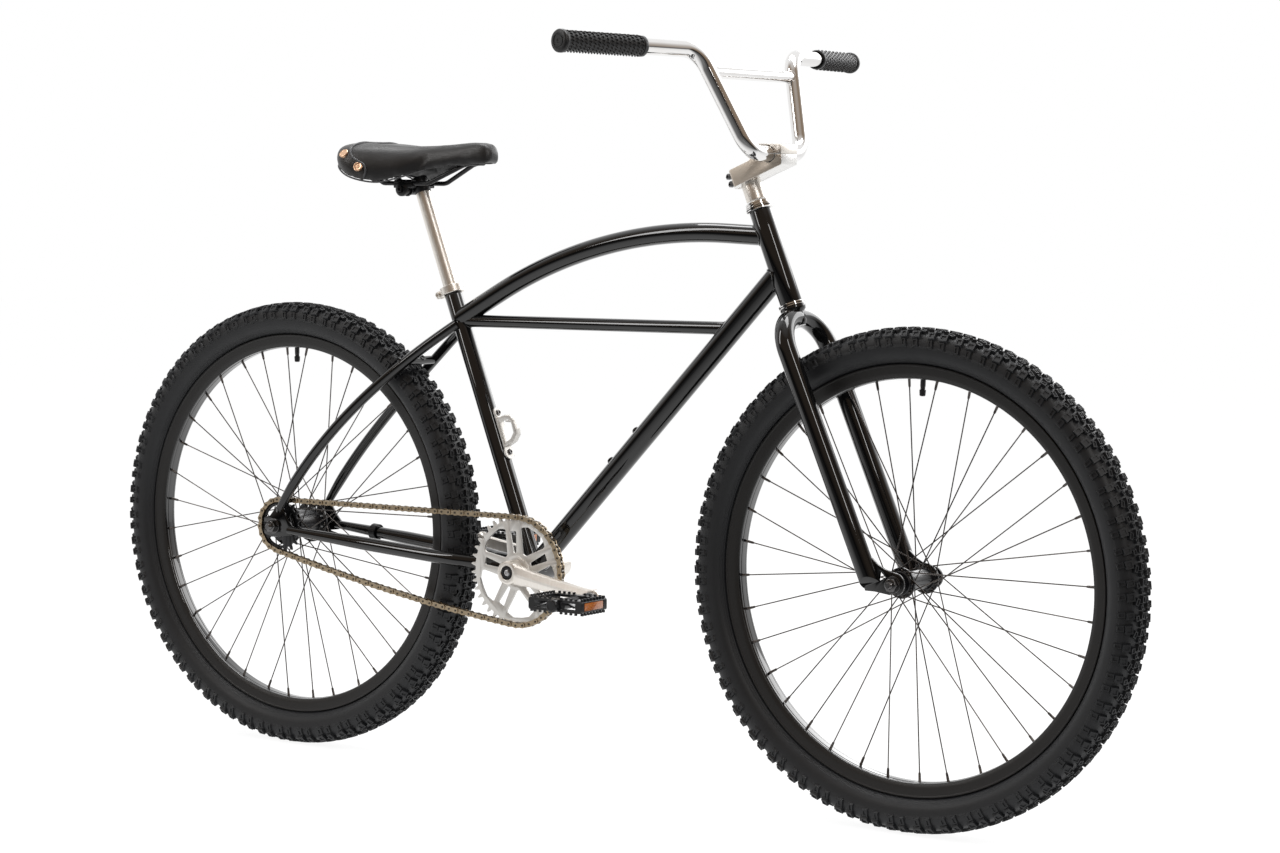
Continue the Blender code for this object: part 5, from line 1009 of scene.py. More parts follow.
def addStem():
    post, quill = stem["postRadius"], 0.0111
    bm = bmesh.new()
    turned(bm, headMiddle, steerUp, capped([(locknutTop - 0.075, quill), (locknutTop + 0.0003, quill),
        (locknutTop + 0.0003, post - 0.0008), (locknutTop + 0.0011, post), (stemTop - 0.0018, post),
        (stemTop - 0.0006, post - 0.0010)]), 56)
    for step in range(4):  # height marks on the post
        turned(bm, steerPoint(0, locknutTop + 0.010 + step * 0.005), steerUp, [(-0.0003, post - 0.0004),
            (0, post + 0.00025), (0.0003, post - 0.0004)], 56, closed=True)
    addPiece("stemPost", bm, alloy, "stem", "stem_quill")

    half, reach, rear = stem["width"] / 2, stem["clampReach"], -stem["rear"]
    under, gap = besideBar(0, stem["above"]), stem["gap"]
    rise = (reach - under.x) * steerAhead.z / steerAhead.x
    seat = bar["radius"] + 0.0004
    outline = [besideBar(rear, stem["above"]), Vector((reach, 0, under.z + rise)), Vector((reach, 0, -gap))]
    outline += [Vector((u, 0, v - gap)) for u, v in arc(seat, 0, -180, 20)]
    outline += [Vector((-reach, 0, -gap)), besideBar(stem["dip"], stemTop), besideBar(rear, stemTop)]
    body = bmesh.new()
    plate(body, [barMiddle - across * half + p for p in outline], across * half * 2)
    plan = bmesh.new()
    face = 0.0142                 # the flat sides end here and the rear is round
    turn = math.degrees(math.atan2(half, -face))
    edge = arc(stem["rear"] - 0.0006, turn, 360 - turn, 22) + [(0.11, -half - 0.01), (0.11, half + 0.01)]
    low = stem["above"] - 0.06
    plate(plan, [steerPoint(u, low, v) for u, v in edge], steerUp * 0.16)
    body = carve(body, plan, "INTERSECT")
    slit = spots([steerPoint(-0.030, stemTop), steerPoint(-0.030, stemTop + 0.01)])[0]
    body = notched(body, slit, (0.0022, 0.040, 0.12))
    roundEdges(body, 0.0011, 3, 40)
    bolts = bmesh.new()
    for level in (0.0070, 0.0185):  # the two bolts of the rear clamp
        place = steerPoint(-0.0235, stem["above"] + level, -0.0085)
        hexBolt(bolts, place, Vector((-0.55, -1, 0.1)), 0.0044, 0.0056)
    for side in (-0.0132, 0.0132):  # bolt heads under the front clamp
        hexBolt(bolts, barMiddle + Vector((0.0138, side, -0.0118)), -upwards, 0.0036, 0.0040, 20)
    addPiece("stemBody", body, brushedPaintedTanSides, "stem", "stem_body", smooth=30)

    top, half = stem["capHeight"], stem["capWidth"] / 2
    outline = [(reach, gap), (reach, top - 0.004), (reach - 0.0012, top - 0.0012), (reach - 0.004, top)]
    outline += [(0.006 - reach, top), (0.002 - reach, top - 0.002), (-reach, top - 0.006), (-reach, gap)]
    outline += [(u, v + gap) for u, v in arc(seat, 180, 0, 20)]
    cap = bmesh.new()
    plate(cap, [barMiddle + Vector((u, -half, v)) for u, v in outline], across * half * 2)
    holes = bmesh.new()
    for ahead in (-0.0150, 0.0150):
        for side in (-0.0132, 0.0132):
            turned(holes, barMiddle + Vector((ahead, side, top)), upwards,
                capped([(-0.0035, 0.0032), (0.01, 0.0032)]), 24)
    cap = carve(cap, holes)
    roundEdges(cap, 0.0009, 3, 40)
    for ahead in (-0.0150, 0.0150):
        for side in (-0.0132, 0.0132):
            hexBolt(bolts, barMiddle + Vector((ahead, side, top - 0.0040)), upwards, 0.0028, 0.0016, 20)
    addPiece("stemBolts", bolts, darkSteel, "stem", smooth=30)
    addPiece("stemCap", cap, alloy, "stem", "stem_cap", smooth=30)


def barCorners(side):
    foot = barMiddle + across * side * bar["foot"]
    head = barMiddle + Vector((-bar["lean"], side * bar["head"], bar["rise"]))
    tip = barMiddle + Vector((-bar["lean"] - bar["sweep"], side * bar["half"], bar["rise"] + bar["endRise"]))
    return foot, head, tip


def addHandlebar():
    halves = []
    for side in (-1, 1):
        foot, head, tip = barCorners(side)
        end = tip + (head - tip).normalized() * 0.0044
        halves.append(rounded([barMiddle, foot, head, end], [bar["footBend"], bar["headBend"]], 16))
    bm = bmesh.new()
    tube(bm, list(reversed(halves[0])) + halves[1][1:], bar["radius"], 40)
    ends = []
    for side in (-1, 1):
        foot, head, _ = barCorners(side)
        ends.append(foot.lerp(head, bar["crossShare"]))
    tube(bm, ends, bar["crossRadius"], 32)
    for side, end in ((-1, ends[0]), (1, ends[1])):
        foot, head, _ = barCorners(side)
        middle = (ends[0] + ends[1]) / 2
        weldBead(bm, middle, end - middle, bar["crossRadius"], foot, head - foot, bar["radius"], 0.0013)
    addPiece("handlebar", bm, chrome, "handlebar", "handlebar")


def addGrip(name, side):
    _, head, tip = barCorners(side)
    along = (head - tip).normalized()
    core, flange, length = grip["core"], grip["flange"], grip["length"]
    bm = bmesh.new()
    turned(bm, tip, along, [(0.0012, 0), (0.0012, 0.0030), (0.0004, 0.0036), (0.0004, 0.0072),
        (0.0012, 0.0078), (0.0012, 0.0098), (0.0, 0.0106), (0.0002, flange - 0.0022),
        (0.0008, flange - 0.0009), (0.0022, flange), (0.0068, flange), (0.0078, flange - 0.0006),
        (0.0086, core + 0.0004), (0.0120, core), (length - 0.0075, core), (length - 0.0068, core + 0.0009),
        (length - 0.0015, core + 0.0009), (length - 0.0004, core + 0.0002), (length, 0.0118),
        (length - 0.010, 0.0118)], 56)
    spot = spots([tip, tip + along])[0]
    wide, long, tall = grip["ridge"]
    first, last = 0.0150, length - 0.0110
    for column in range(grip["along"]):
        for row in range(grip["around"]):
            turn = 2 * math.pi * (row + 0.5 * (column % 2)) / grip["around"]
            place = spot @ Matrix.Rotation(turn, 4, "Z") @ Matrix.Translation((core, 0,
                first + (last - first) * column / (grip["along"] - 1)))
            place = place @ Matrix.Rotation(math.radians(38 * side), 4, "X")
            lump = bmesh.ops.create_cube(bm, size=1, matrix=place @ Matrix.Diagonal((tall * 2, wide, long,
                1)))
            out = place.to_3x3() @ Vector((1, 0, 0))
            crest = [v for v in lump["verts"] if (v.co - place.translation).dot(out) > 0]
            bmesh.ops.scale(bm, vec=(0.42, 0.42, 0.42), verts=crest,
                space=Matrix.Translation(-(place.translation + out * tall)))
    addPiece("grip." + name, bm, rubber, "handlebar", "grip_" + name)


addStem()
addHandlebar()
addGrip("right", -1)
addGrip("left", 1)
print("stem, handlebar and grips made")


# Seat post and saddle
post = {
    "radius": 0.0111,
    "top": 0.6246,               # crank axis to its top
    "length": 0.3200,
    "collarHeight": 0.0120,
    "collarOut": 0.0176,
    "boltBehind": 0.0160,
    "sleeveHeight": 0.0240,
    "sleeveRadius": 0.0125,
    "discRadius": 0.0112,
    "railRadius": 0.0035,
    "railSpread": 0.0220,
    "railAbove": 0.0085,
}
saddle = {
    "length": 0.2690,
    "depth": 0.0600,
    "behind": 0.1120,
    "above": 0.0690,
    "rearHalf": 0.0780,
    "noseHalf": 0.0205,
    "wall": 0.0048,
    "roof": 0.0120,
    "voxel": 0.0026,
    "swell": 0.0022,             # most that the padding may rise
    "seamBelow": 0.045,
    "seam": (                    # (degrees from the top, x)
        (0.0, -0.4007), (58.2, -0.3987), (65.5, -0.3952), (70.5, -0.3912), (73.7, -0.3861), (75.9, -0.3797),
        (78.2, -0.3733), (80.5, -0.3668), (87.5, -0.3647), (94.6, -0.3688), (99.6, -0.3716)),
    "rivets": ((-0.4049, -0.0722, 0.9313), (-0.3769, -0.0730, 0.9125)),
}
saddlePivot = seatPoint(post["top"] - post["sleeveHeight"] / 2, -post["boltBehind"])
saddleRear = saddlePivot.x - saddle["behind"]
saddleTop = saddlePivot.z + saddle["above"]
railZ = saddlePivot.z + post["railAbove"]


def addSeatPost():
    radius, top = post["radius"], post["top"]
    bm = bmesh.new()
    turned(bm, crankAxis, seatUp, capped([(top - post["length"], radius), (top - 0.0010, radius),
        (top, radius - 0.0010)]), 56)
    addPiece("seatPost", bm, alloy, "seat_post", "seat_post")

    foot = layout["seatTube"] - post["collarHeight"] + 0.0020
    high, out, bore = foot + post["collarHeight"], post["collarOut"], layout["seatRadius"] + 0.0003
    bm = bmesh.new()
    turned(bm, crankAxis, seatUp, [(foot, bore), (foot, out - 0.0008), (foot + 0.0008, out), (high - 0.0008,
        out), (high, out - 0.0008), (high, 0.0122), (layout["seatTube"] + 0.0003, 0.0122),
        (layout["seatTube"] + 0.0003, bore)], 56, closed=True)
    ear = bmesh.new()
    middle = (foot + high) / 2
    for side in (-1, 1):
        spot = Matrix.Translation(seatPoint(middle, -out - 0.0042, side * 0.0038))
        spot = spot @ spots([seatPoint(0), seatPoint(1)])[0].to_3x3().to_4x4()
        block(ear, spot, (0.0056, 0.0125, post["collarHeight"] - 0.0014))
    roundEdges(ear, 0.0016, 3)
    pour(ear, bm)
    for side in (-1, 1):
        hexBolt(bm, seatPoint(middle, -out - 0.0052, side * 0.0066), across * side, 0.0036, 0.0030, 20)
    addPiece("seatCollar", bm, alloy, "frame", "seat_collar")


def toothedDisc(bm, place, axis, radius, thick, teeth=26):
    spot = spots([place, place + axis.normalized()])[0]
    ring = []
    for k in range(teeth * 2):
        a = math.pi * k / teeth
        r = radius * (1.0 if k % 2 else 0.90)
        ring.append(spot @ Vector((r * math.cos(a), r * math.sin(a), 0)))
    disc = bmesh.new()
    plate(disc, ring, axis.normalized() * thick)
    pour(disc, bm)


def addSaddleClamp():
    outer, foot = post["sleeveRadius"], post["top"] - post["sleeveHeight"]
    bm = bmesh.new()
    turned(bm, crankAxis, seatUp, [(foot, 0.0116), (foot, outer - 0.0006), (foot + 0.0008, outer),
        (post["top"] - 0.0008, outer), (post["top"], outer - 0.0008), (post["top"], 0.0116)], 48,
        closed=True)
    turned(bm, saddlePivot, across, [(-outer, 0.0043), (-outer, 0.0084), (-outer + 0.0006, 0.0090),
        (outer - 0.0006, 0.0090), (outer, 0.0084), (outer, 0.0043)], 40, closed=True)
    addPiece("clampSleeve", bm, blackened, "seat_post", "seat_clamp_sleeve")

    bm = bmesh.new()
    reach, disc = post["railSpread"] + 0.0110, post["discRadius"]
    for side in (-1, 1):
        out = across * side
        toothedDisc(bm, saddlePivot + out * (outer + 0.0004), out, disc, 0.0026)
        turned(bm, saddlePivot, out, [(outer + 0.003, 0), (outer + 0.003, 0.0088), (reach - 0.0100, 0.0092),
            (reach - 0.0088, disc), (reach - 0.0040, disc), (reach - 0.0026, disc - 0.0014),
            (reach - 0.0022, 0.0064), (reach - 0.0028, 0.0060), (reach - 0.0028, 0)], 40)
        hexBolt(bm, saddlePivot + out * (reach - 0.0030), out, 0.0052, 0.0042)
    turned(bm, saddlePivot, across, capped([(-outer - 0.004, 0.0040), (outer + 0.004, 0.0040)]), 24)
    for side in (-1, 1):
        middle = side * post["railSpread"]
        rail, rise = post["railRadius"] + 0.0003, post["railAbove"]
        low = arc(rail, 180, 360, 10)
        high = arc(rail, 0, 180, 10)
        lower = [(-0.0066, rise), *[(u, v + rise - 0.0003) for u, v in low], (0.0066, rise),
            (0.0058, 0.0014), (-0.0058, 0.0014)]
        upper = [(0.0066, rise + 0.0004), *[(u, v + rise + 0.0003) for u, v in high],
            (-0.0066, rise + 0.0004), (-0.0054, rise + 0.0058), (0.0054, rise + 0.0058)]
        for outline, long in ((lower, 0.0350), (upper, 0.0330)):
            jaw = bmesh.new()
            plate(jaw, [saddlePivot + Vector((-long / 2 + 0.0015, middle + u, v)) for u, v in outline],
                Vector((long, 0, 0)))
            roundEdges(jaw, 0.0007, 2, 50)
            pour(jaw, bm)
    addPiece("saddleClamp", bm, blackened, "saddle", "saddle_clamp")


def railCorners(side):
    height = saddleTop - railZ

    def at(share, out, up):
        return Vector((saddleRear + saddle["length"] * share, side * post["railSpread"] * out,
            railZ + height * up))

    return [at(0.160, 1.3, 0.330), at(0.271, 1.05, 0), at(0.590, 1, 0), at(0.816, 0.50, 0.471),
        at(0.896, 0.28, 0.554)]


def saddleStations(steps=5):
    wide, nose, deep = saddle["rearHalf"], saddle["noseHalf"], saddle["depth"]
    rows = [(0.000, wide * 0.45, -0.217, -0.350), (0.020, wide * 0.60, -0.100, -0.440), (0.070, wide * 0.90,
        -0.017, -0.620), (0.150, wide, 0.000, -0.830), (0.250, wide * 0.93, -0.017, -0.958),
        (0.350, wide * 0.81, -0.050, -0.988), (0.460, wide * 0.66, -0.083, -0.867), (0.580, wide * 0.48,
        -0.075, -0.708), (0.700, nose * 1.46, -0.050, -0.613), (0.820, nose * 1.16, 0.000, -0.575),
        (0.910, nose * 1.02, 0.033, -0.547), (0.970, nose * 0.88, -0.017, -0.517), (1.000, nose * 0.50,
        -0.183, -0.425)]
    return curve([Vector((share, half, deep * top, deep * skirt)) for share, half, top, skirt in rows], steps)


def saddleSection(station, inset=0.0):  # the outer skin from the right skirt over the top to the left
    share, half, top, skirt = station
    high, low = saddleTop + top - inset, saddleTop + skirt
    half, deep = half - inset, high - low
    flankPaintedTan = [(0.95, low), (0.985, high - deep * 0.80), (1.0, high - deep * 0.60),
        (0.94, high - deep * 0.30), (0.77, high - deep * 0.10), (0.50, high - deep * 0.01),
        (0.20, high - deep * 0.02)]
    x = saddleRear + saddle["length"] * share
    right = [Vector((x, -half * y, z)) for y, z in flankPaintedTan]
    left = [Vector((x, half * y, z)) for y, z in reversed(flankPaintedTan)]
    return curve(right + left, 4)


def saddleRing(station):
    share, half, top, skirt = station
    outer = saddleSection(station, 0.0010)
    low, high = saddleTop + skirt, saddleTop + top
    hollow = min(1.0, max(0.0, (share - 0.04) * 14), max(0.0, (0.97 - share) * 14))
    thick = max(saddle["roof"], 0.34 * (high - low))
    roof = low + (high - thick - low) * hollow + 0.0006
    inside = half * 0.95 - min(saddle["wall"], half * 0.30)
    x = saddleRear + saddle["length"] * share
    left = [Vector((x, inside, low)), Vector((x, inside * 0.98, low + (roof - low) * 0.6)),
        Vector((x, half * 0.55, roof)), Vector((x, half * 0.2, roof))]
    right = [Vector((x, -p.y, p.z)) for p in reversed(left)]
    return outer + curve(left + right, 3)


def swellPadding(pad):  # a short cloth simulation under air pressure, held to a small rise
    rest = [v.co.copy() for v in pad.data.vertices]
    cloth = pad.modifiers.new("padding", "CLOTH")
    cloth.settings.quality = 5
    cloth.settings.mass = 0.3
    cloth.settings.tension_stiffness = 40
    cloth.settings.compression_stiffness = 40
    cloth.settings.bending_stiffness = 2
    cloth.settings.use_pressure = True
    cloth.settings.uniform_pressure_force = 4
    cloth.settings.effector_weights.gravity = 0
    cloth.point_cache.frame_start, cloth.point_cache.frame_end = 1, 20
    scene = bpy.context.scene
    for number in range(1, 21):
        scene.frame_set(number)
    moved = [v.co.copy() for v in asSeen(pad).data.vertices]
    pad.modifiers.remove(cloth)
    scene.frame_set(1)
    for vert, start, end in zip(pad.data.vertices, rest, moved):
        step = end - start
        if step.length > saddle["swell"]:
            step = step.normalized() * saddle["swell"]
        vert.co = start + step


def addPad():
    bm = bmesh.new()
    loft(bm, [saddleRing(station) for station in saddleStations()])
    pad = addPiece("saddlePad", bm, leather, "saddle", "saddle_pad", smooth=180)
    remesh = pad.modifiers.new("remesh", "REMESH")
    remesh.mode = "VOXEL"
    remesh.voxel_size = saddle["voxel"]
    smooth = pad.modifiers.new("smooth", "SMOOTH")
    smooth.iterations = 6
    smooth.factor = 0.5
    mesh = bpy.data.meshes.new_from_object(asSeen(pad))
    pad.modifiers.clear()
    pad.data = mesh
    swellPadding(pad)
    mesh.shade_smooth()
    pad.modifiers.new("relax", "SMOOTH").iterations = 4
    subdivision = pad.modifiers.new("subdivision", "SUBSURF")
    subdivision.levels = 1
    subdivision.render_levels = 1
    return pad


def onPad(pad, place, lift):  # the nearest place on the padding's outside, raised a little
    _, hit, normal, _ = asSeen(pad).closest_point_on_mesh(place)
    return hit + normal * lift, normal


def rearEdge(place):  # where the rear panel ends, by the angle about a line along the saddle
    angle = math.degrees(math.atan2(abs(place.y), place.z - saddleTop + saddle["seamBelow"]))
    for (a, x), (b, far) in zip(saddle["seam"], saddle["seam"][1:]):
        if angle <= b:
            return x + (far - x) * (angle - a) / (b - a)
    return saddle["seam"][-1][1]


def addRearPanel(pad):
    rings = [saddleSection(station) for station in saddleStations(6)[:26]]
    bm = bmesh.new()
    verts = [bm.verts.new(p) for p in rings[0]]
    edges = [bm.edges.new(pair) for pair in zip(verts, verts[1:])]
    carried(bm, verts, edges, rings[1:])
    bmesh.ops.subdivide_edges(bm, edges=bm.edges[:], cuts=1, use_grid_fill=True)
    far = [v for v in bm.verts if v.co.x > rearEdge(v.co) + 0.0006]
    bmesh.ops.delete(bm, geom=far, context="VERTS")
    for v in bm.verts:
        v.co, _ = onPad(pad, v.co, 0.0006)
    tidyMesh(bm)
    bmesh.ops.solidify(bm, geom=bm.faces[:], thickness=0.0010)
    addPiece("saddleRearPanel", bm, panelLeather, "saddle", smooth=50)


def addPiping(pad):
    seen = asSeen(pad)
    seam, limit = [], saddle["seam"][-1][0]
    for i in range(61):
        a = math.radians(limit * (i - 30) / 30)
        out = Vector((0, math.sin(a), math.cos(a)))
        base = Vector((0, 0, saddleTop - saddle["seamBelow"]))
        base.x = rearEdge(base + out * 0.05)
        hit, place, normal, _ = seen.ray_cast(base + out * 0.12, -out)
        if hit:
            seam.append(place + normal * 0.0008)
    bm = bmesh.new()
    tube(bm, seam, 0.0017, 12)
    addPiece("saddleSeamPiping", bm, pipingPaintedHighlight, "saddle")

    bm = bmesh.new()
    edge = []
    for side in (-1, 1):
        run = [saddleSection(station)[0 if side < 0 else -1] for station in saddleStations(6)[:44]]
        edge.append([Vector((p.x, p.y * 0.985, p.z + 0.0004)) for p in run])
    tube(bm, list(reversed(edge[0])) + edge[1], 0.0013, 12)
    addPiece("saddleSkirtPiping", bm, pipingPaintedHighlight, "saddle")


def addRivets(pad):
    bm = bmesh.new()
    for x, y, z in saddle["rivets"] + tuple((x, -y, z) for x, y, z in saddle["rivets"]):
        place, normal = onPad(pad, Vector((x, y, z)), 0.0012)
        turned(bm, place, normal + upwards * 0.35, [(-0.0030, 0.0070), (0.0008, 0.0074), (0.0014, 0.0068),
            (0.0015, 0.0058), (0.0011, 0.0052), (0.0012, 0.0030), (0.0013, 0)], 40)
    addPiece("saddleRivets", bm, copper, "saddle")


def addRails():
    corners = railCorners(-1) + list(reversed(railCorners(1)))
    wide, small, nose = saddle["length"] * 0.104, saddle["length"] * 0.035, post["railSpread"] * 0.25
    bm = bmesh.new()
    tube(bm, rounded(corners, [small, wide, wide, nose, nose, wide, wide, small], 8), post["railRadius"], 20)
    addPiece("saddleRails", bm, blackened, "saddle", "saddle_rails")

    bm = bmesh.new()
    rings = []
    for station in saddleStations(3)[6:-6]:
        share, half, top, skirt = station
        roof = saddleTop + top - max(saddle["roof"], 0.34 * (top - skirt)) - 0.0006
        x = saddleRear + saddle["length"] * share
        rings.append([Vector((x, y * half * 0.42, roof - down)) for y, down in ((-1, 0), (-0.5, 0),
            (0.5, 0), (1, 0), (1, 0.0022), (0.5, 0.0022), (-0.5, 0.0022), (-1, 0.0022))])
    loft(bm, rings)
    rear, nose = railCorners(1)[0], railCorners(1)[-1]
    for side in (-1, 1):
        spot = Matrix.Translation((rear.x - 0.001, side * (rear.y - 0.002), rear.z + 0.006))
        roundedBlock(bm, spot, (0.014, 0.012, 0.024), 0.002, 3)
    roundedBlock(bm, Matrix.Translation((nose.x - 0.004, 0, nose.z + 0.002)), (0.015, 0.018, 0.016), 0.002, 3)
    addPiece("saddleShell", bm, resin, "saddle", "saddle_base")


addSeatPost()
addSaddleClamp()
pad = addPad()
addRearPanel(pad)
addPiping(pad)
addRivets(pad)
addRails()
print("seat post and saddle made")


# Wheels
wheel = {
    "crown": 0.3458,
    "knob": 0.0042,
    "repeats": 50,               # of the tread's pattern round the tyre
    "bead": 0.2925,
    "rimOuter": 0.2990,
    "rimInner": 0.2790,
    "rimHalf": 0.0150,
    "tubeCentre": 0.3195,
    "tubeRadius": 0.0172,
    "spokes": 36,
    "spokeRadius": 0.0009,
    "crossings": 3,
    "valveLength": 0.0240,
    "axleRadius": 0.00475,
    "nutRadius": 0.0098,
    "nutHeight": 0.0085,
    "washer": 0.0018,
    "axleEnd": 0.0055,
}
# stops: where the axle's locknuts end, right and left; holes: light holes in each flange
frontWheel = {"name": "front", "body": "front_wheel", "centre": frontAxle, "valve": 88.0, "phase": 3.0,
              "flange": 0.0215, "spread": 0.0330, "barrel": 0.0140, "right": 0.0395, "left": 0.0395,
              "cap": 0.0170, "stops": (0.0395, 0.0395), "holes": 0}
rearWheel = {"name": "rear", "body": "rear_wheel", "centre": rearAxle, "valve": 91.0, "phase": 6.0,
             "flange": 0.0325, "spread": 0.0300, "barrel": 0.0205, "right": 0.0415, "left": 0.0470,
             "cap": 0.0170, "stops": (0.0480, 0.0505), "holes": 9}
crown = wheel["crown"]
# the tyre's skin from the crown line to the bead: (from the wheel's plane, radius)
casing = curve([Vector(p) for p in ((0, crown), (0.0110, crown - 0.0011), (0.0216, crown - 0.0045),
    (0.0270, crown - 0.0103), (0.0292, crown - 0.0183), (0.0287, crown - 0.0268), (0.0258, crown - 0.0358),
    (0.0185, crown - 0.0433), (0.0127, crown - 0.0464), (0.0119, wheel["bead"]))], 5)
lining = curve([Vector(p) for p in ((0.0094, wheel["bead"]), (0.0104, crown - 0.0462),
    (0.0160, crown - 0.0415), (0.0235, crown - 0.0340), (0.0262, crown - 0.0263), (0.0266, crown - 0.0188),
    (0.0245, crown - 0.0120), (0.0195, crown - 0.0074), (0.0100, crown - 0.0040), (0, crown - 0.0030))], 2)


def outwards(degrees):
    a = math.radians(degrees)
    return Vector((math.cos(a), 0, math.sin(a)))


def ringOf(bm, centre, half, steps):  # a closed ring about the wheel's axis from half of its section
    half = [tuple(p) for p in half]
    turned(bm, centre, across, half + [(-y, r) for y, r in reversed(half[1:-1])], steps, closed=True)


def onCasing(far):  # a place on the skin and its normal, at a distance from the crown line
    left, way = abs(far), math.copysign(1, far)
    for a, b in zip(casing, casing[1:]):
        run = (b - a).length
        if left <= run:
            break
        left -= run
    place, along = a.lerp(b, left / run), (b - a).normalized()
    return (way * place.x, place.y), (-way * along.y, along.x)


def addKnob(bm, centre, degrees, far, size, twist=0.0, taper=0.80):
    (y, radius), (aside, outward) = onCasing(far)
    radial, around = outwards(degrees), outwards(degrees + 90)
    out = radial * outward + across * aside
    turn = Matrix((around, out.cross(around), out)).transposed().to_4x4()
    place = Matrix.Translation(centre + radial * radius + across * y) @ turn
    place = place @ Matrix.Rotation(math.radians(twist), 4, "Z")
    long, wide, tall = size
    buried = 0.0015
    shape = Matrix.Translation((0, 0, (tall - buried) / 2)) @ Matrix.Diagonal((long, wide, tall + buried, 1))
    made = bmesh.ops.create_cube(bm, size=1, matrix=place @ shape)["verts"]
    crest = [v for v in made if (v.co - place.translation).dot(out) > 0]
    top = place.translation + out * tall
    bmesh.ops.scale(bm, vec=(taper,) * 3, verts=crest, space=Matrix.Translation(-top))
    face = next(f for f in crest[0].link_faces if set(f.verts) == set(crest))
    bmesh.ops.inset_individual(bm, faces=[face], thickness=min(long, wide) * 0.26)
    bmesh.ops.inset_individual(bm, faces=[face], thickness=0.00008, depth=-0.0011)


def addTyre(side):
    name, centre = side["name"], side["centre"]
    bm = bmesh.new()
    ringOf(bm, centre, casing + lining, 180)
    tread = bmesh.new()
    tall, step = wheel["knob"], 360 / wheel["repeats"]
    for way in (-1, 1):
        start = 0.25 * step if way > 0 else 0.0
        for degrees, long in ((0.20, 0.0130), (0.63, 0.0106)):
            turn = start + degrees * step
            addKnob(tread, centre, turn, way * 0.0258, (long, 0.0118, tall * 1.12), way * -8, 0.86)
            addKnob(tread, centre, turn, way * 0.0362, (long * 0.84, 0.0138, tall * 0.50), way * -8, 0.72)
        addKnob(tread, centre, start + 0.05 * step, way * 0.0172, (0.0112, 0.0070, tall), way * 24, 0.86)
        addKnob(tread, centre, start + 0.55 * step, way * 0.0160, (0.0090, 0.0074, tall), way * -16, 0.86)
        addKnob(tread, centre, 0.10 * step, way * 0.0046, (0.0106, 0.0074, tall), way * 10, 0.86)
        addKnob(tread, centre, 0.36 * step, way * 0.0078, (0.0070, 0.0056, tall * 0.94), way * -20)
        addKnob(tread, centre, 0.62 * step, way * 0.0046, (0.0106, 0.0074, tall), way * 10, 0.86)
        addKnob(tread, centre, 0.88 * step, way * 0.0080, (0.0070, 0.0056, tall * 0.94), way * -20)
    bmesh.ops.spin(tread, geom=tread.verts[:] + tread.edges[:] + tread.faces[:], cent=centre, axis=across,
        angle=2 * math.pi * (wheel["repeats"] - 1) / wheel["repeats"], steps=wheel["repeats"] - 1,
        use_duplicate=True)
    pour(tread, bm)
    addPiece(name + "Tyre", bm, tyreRubber(name + "TyreRubber", centre), side["body"], name + "_tyre",
        30)


def addRim(side):
    name, centre = side["name"], side["centre"]
    bed, edge, half = wheel["rimInner"], wheel["rimOuter"], wheel["rimHalf"]
    section = [(0, bed - 0.0009), (0.0044, bed - 0.0007), (0.0052, bed - 0.0001), (0.0060, bed - 0.0003),
        (0.0092, bed), (0.0108, bed + 0.0008), (0.0120, bed + 0.0024), (0.0133, bed + 0.0064),
        (0.0135, bed + 0.0078), (half - 0.0006, edge - 0.0052), (half - 0.0004, edge - 0.0030),
        (half + 0.0002, edge - 0.0022), (half + 0.0003, edge - 0.0008), (half - 0.0003, edge),
        (half - 0.0018, edge), (half - 0.0022, edge - 0.0012), (half - 0.0026, edge - 0.0065),
        (0.0096, bed + 0.0036), (0.0080, bed + 0.0026), (0, bed + 0.0022)]
    bm = bmesh.new()
    ringOf(bm, centre, section, 180)
    addPiece(name + "Rim", bm, rimPaint, side["body"], name + "_rim", smooth=28)

    bm = bmesh.new()
    circle = [(u, wheel["tubeCentre"] + v) for u, v in arc(wheel["tubeRadius"], 0, 345, 23)]
    turned(bm, centre, across, circle, 90, closed=True)
    tip = bed - wheel["valveLength"]
    turned(bm, centre, outwards(side["valve"]), [(tip, 0), (tip + 0.0002, 0.0030), (tip + 0.0012, 0.0041),
        (tip + 0.0085, 0.0046), (tip + 0.0092, 0.0040), (tip + 0.0094, 0.0033), (tip + 0.0130, 0.0034),
        (tip + 0.0138, 0.0037), (bed + 0.0230, 0.0038), (bed + 0.0230, 0)], 24)
    addPiece(name + "InnerTube", bm, rubber, side["body"], name + "_inner_tube")


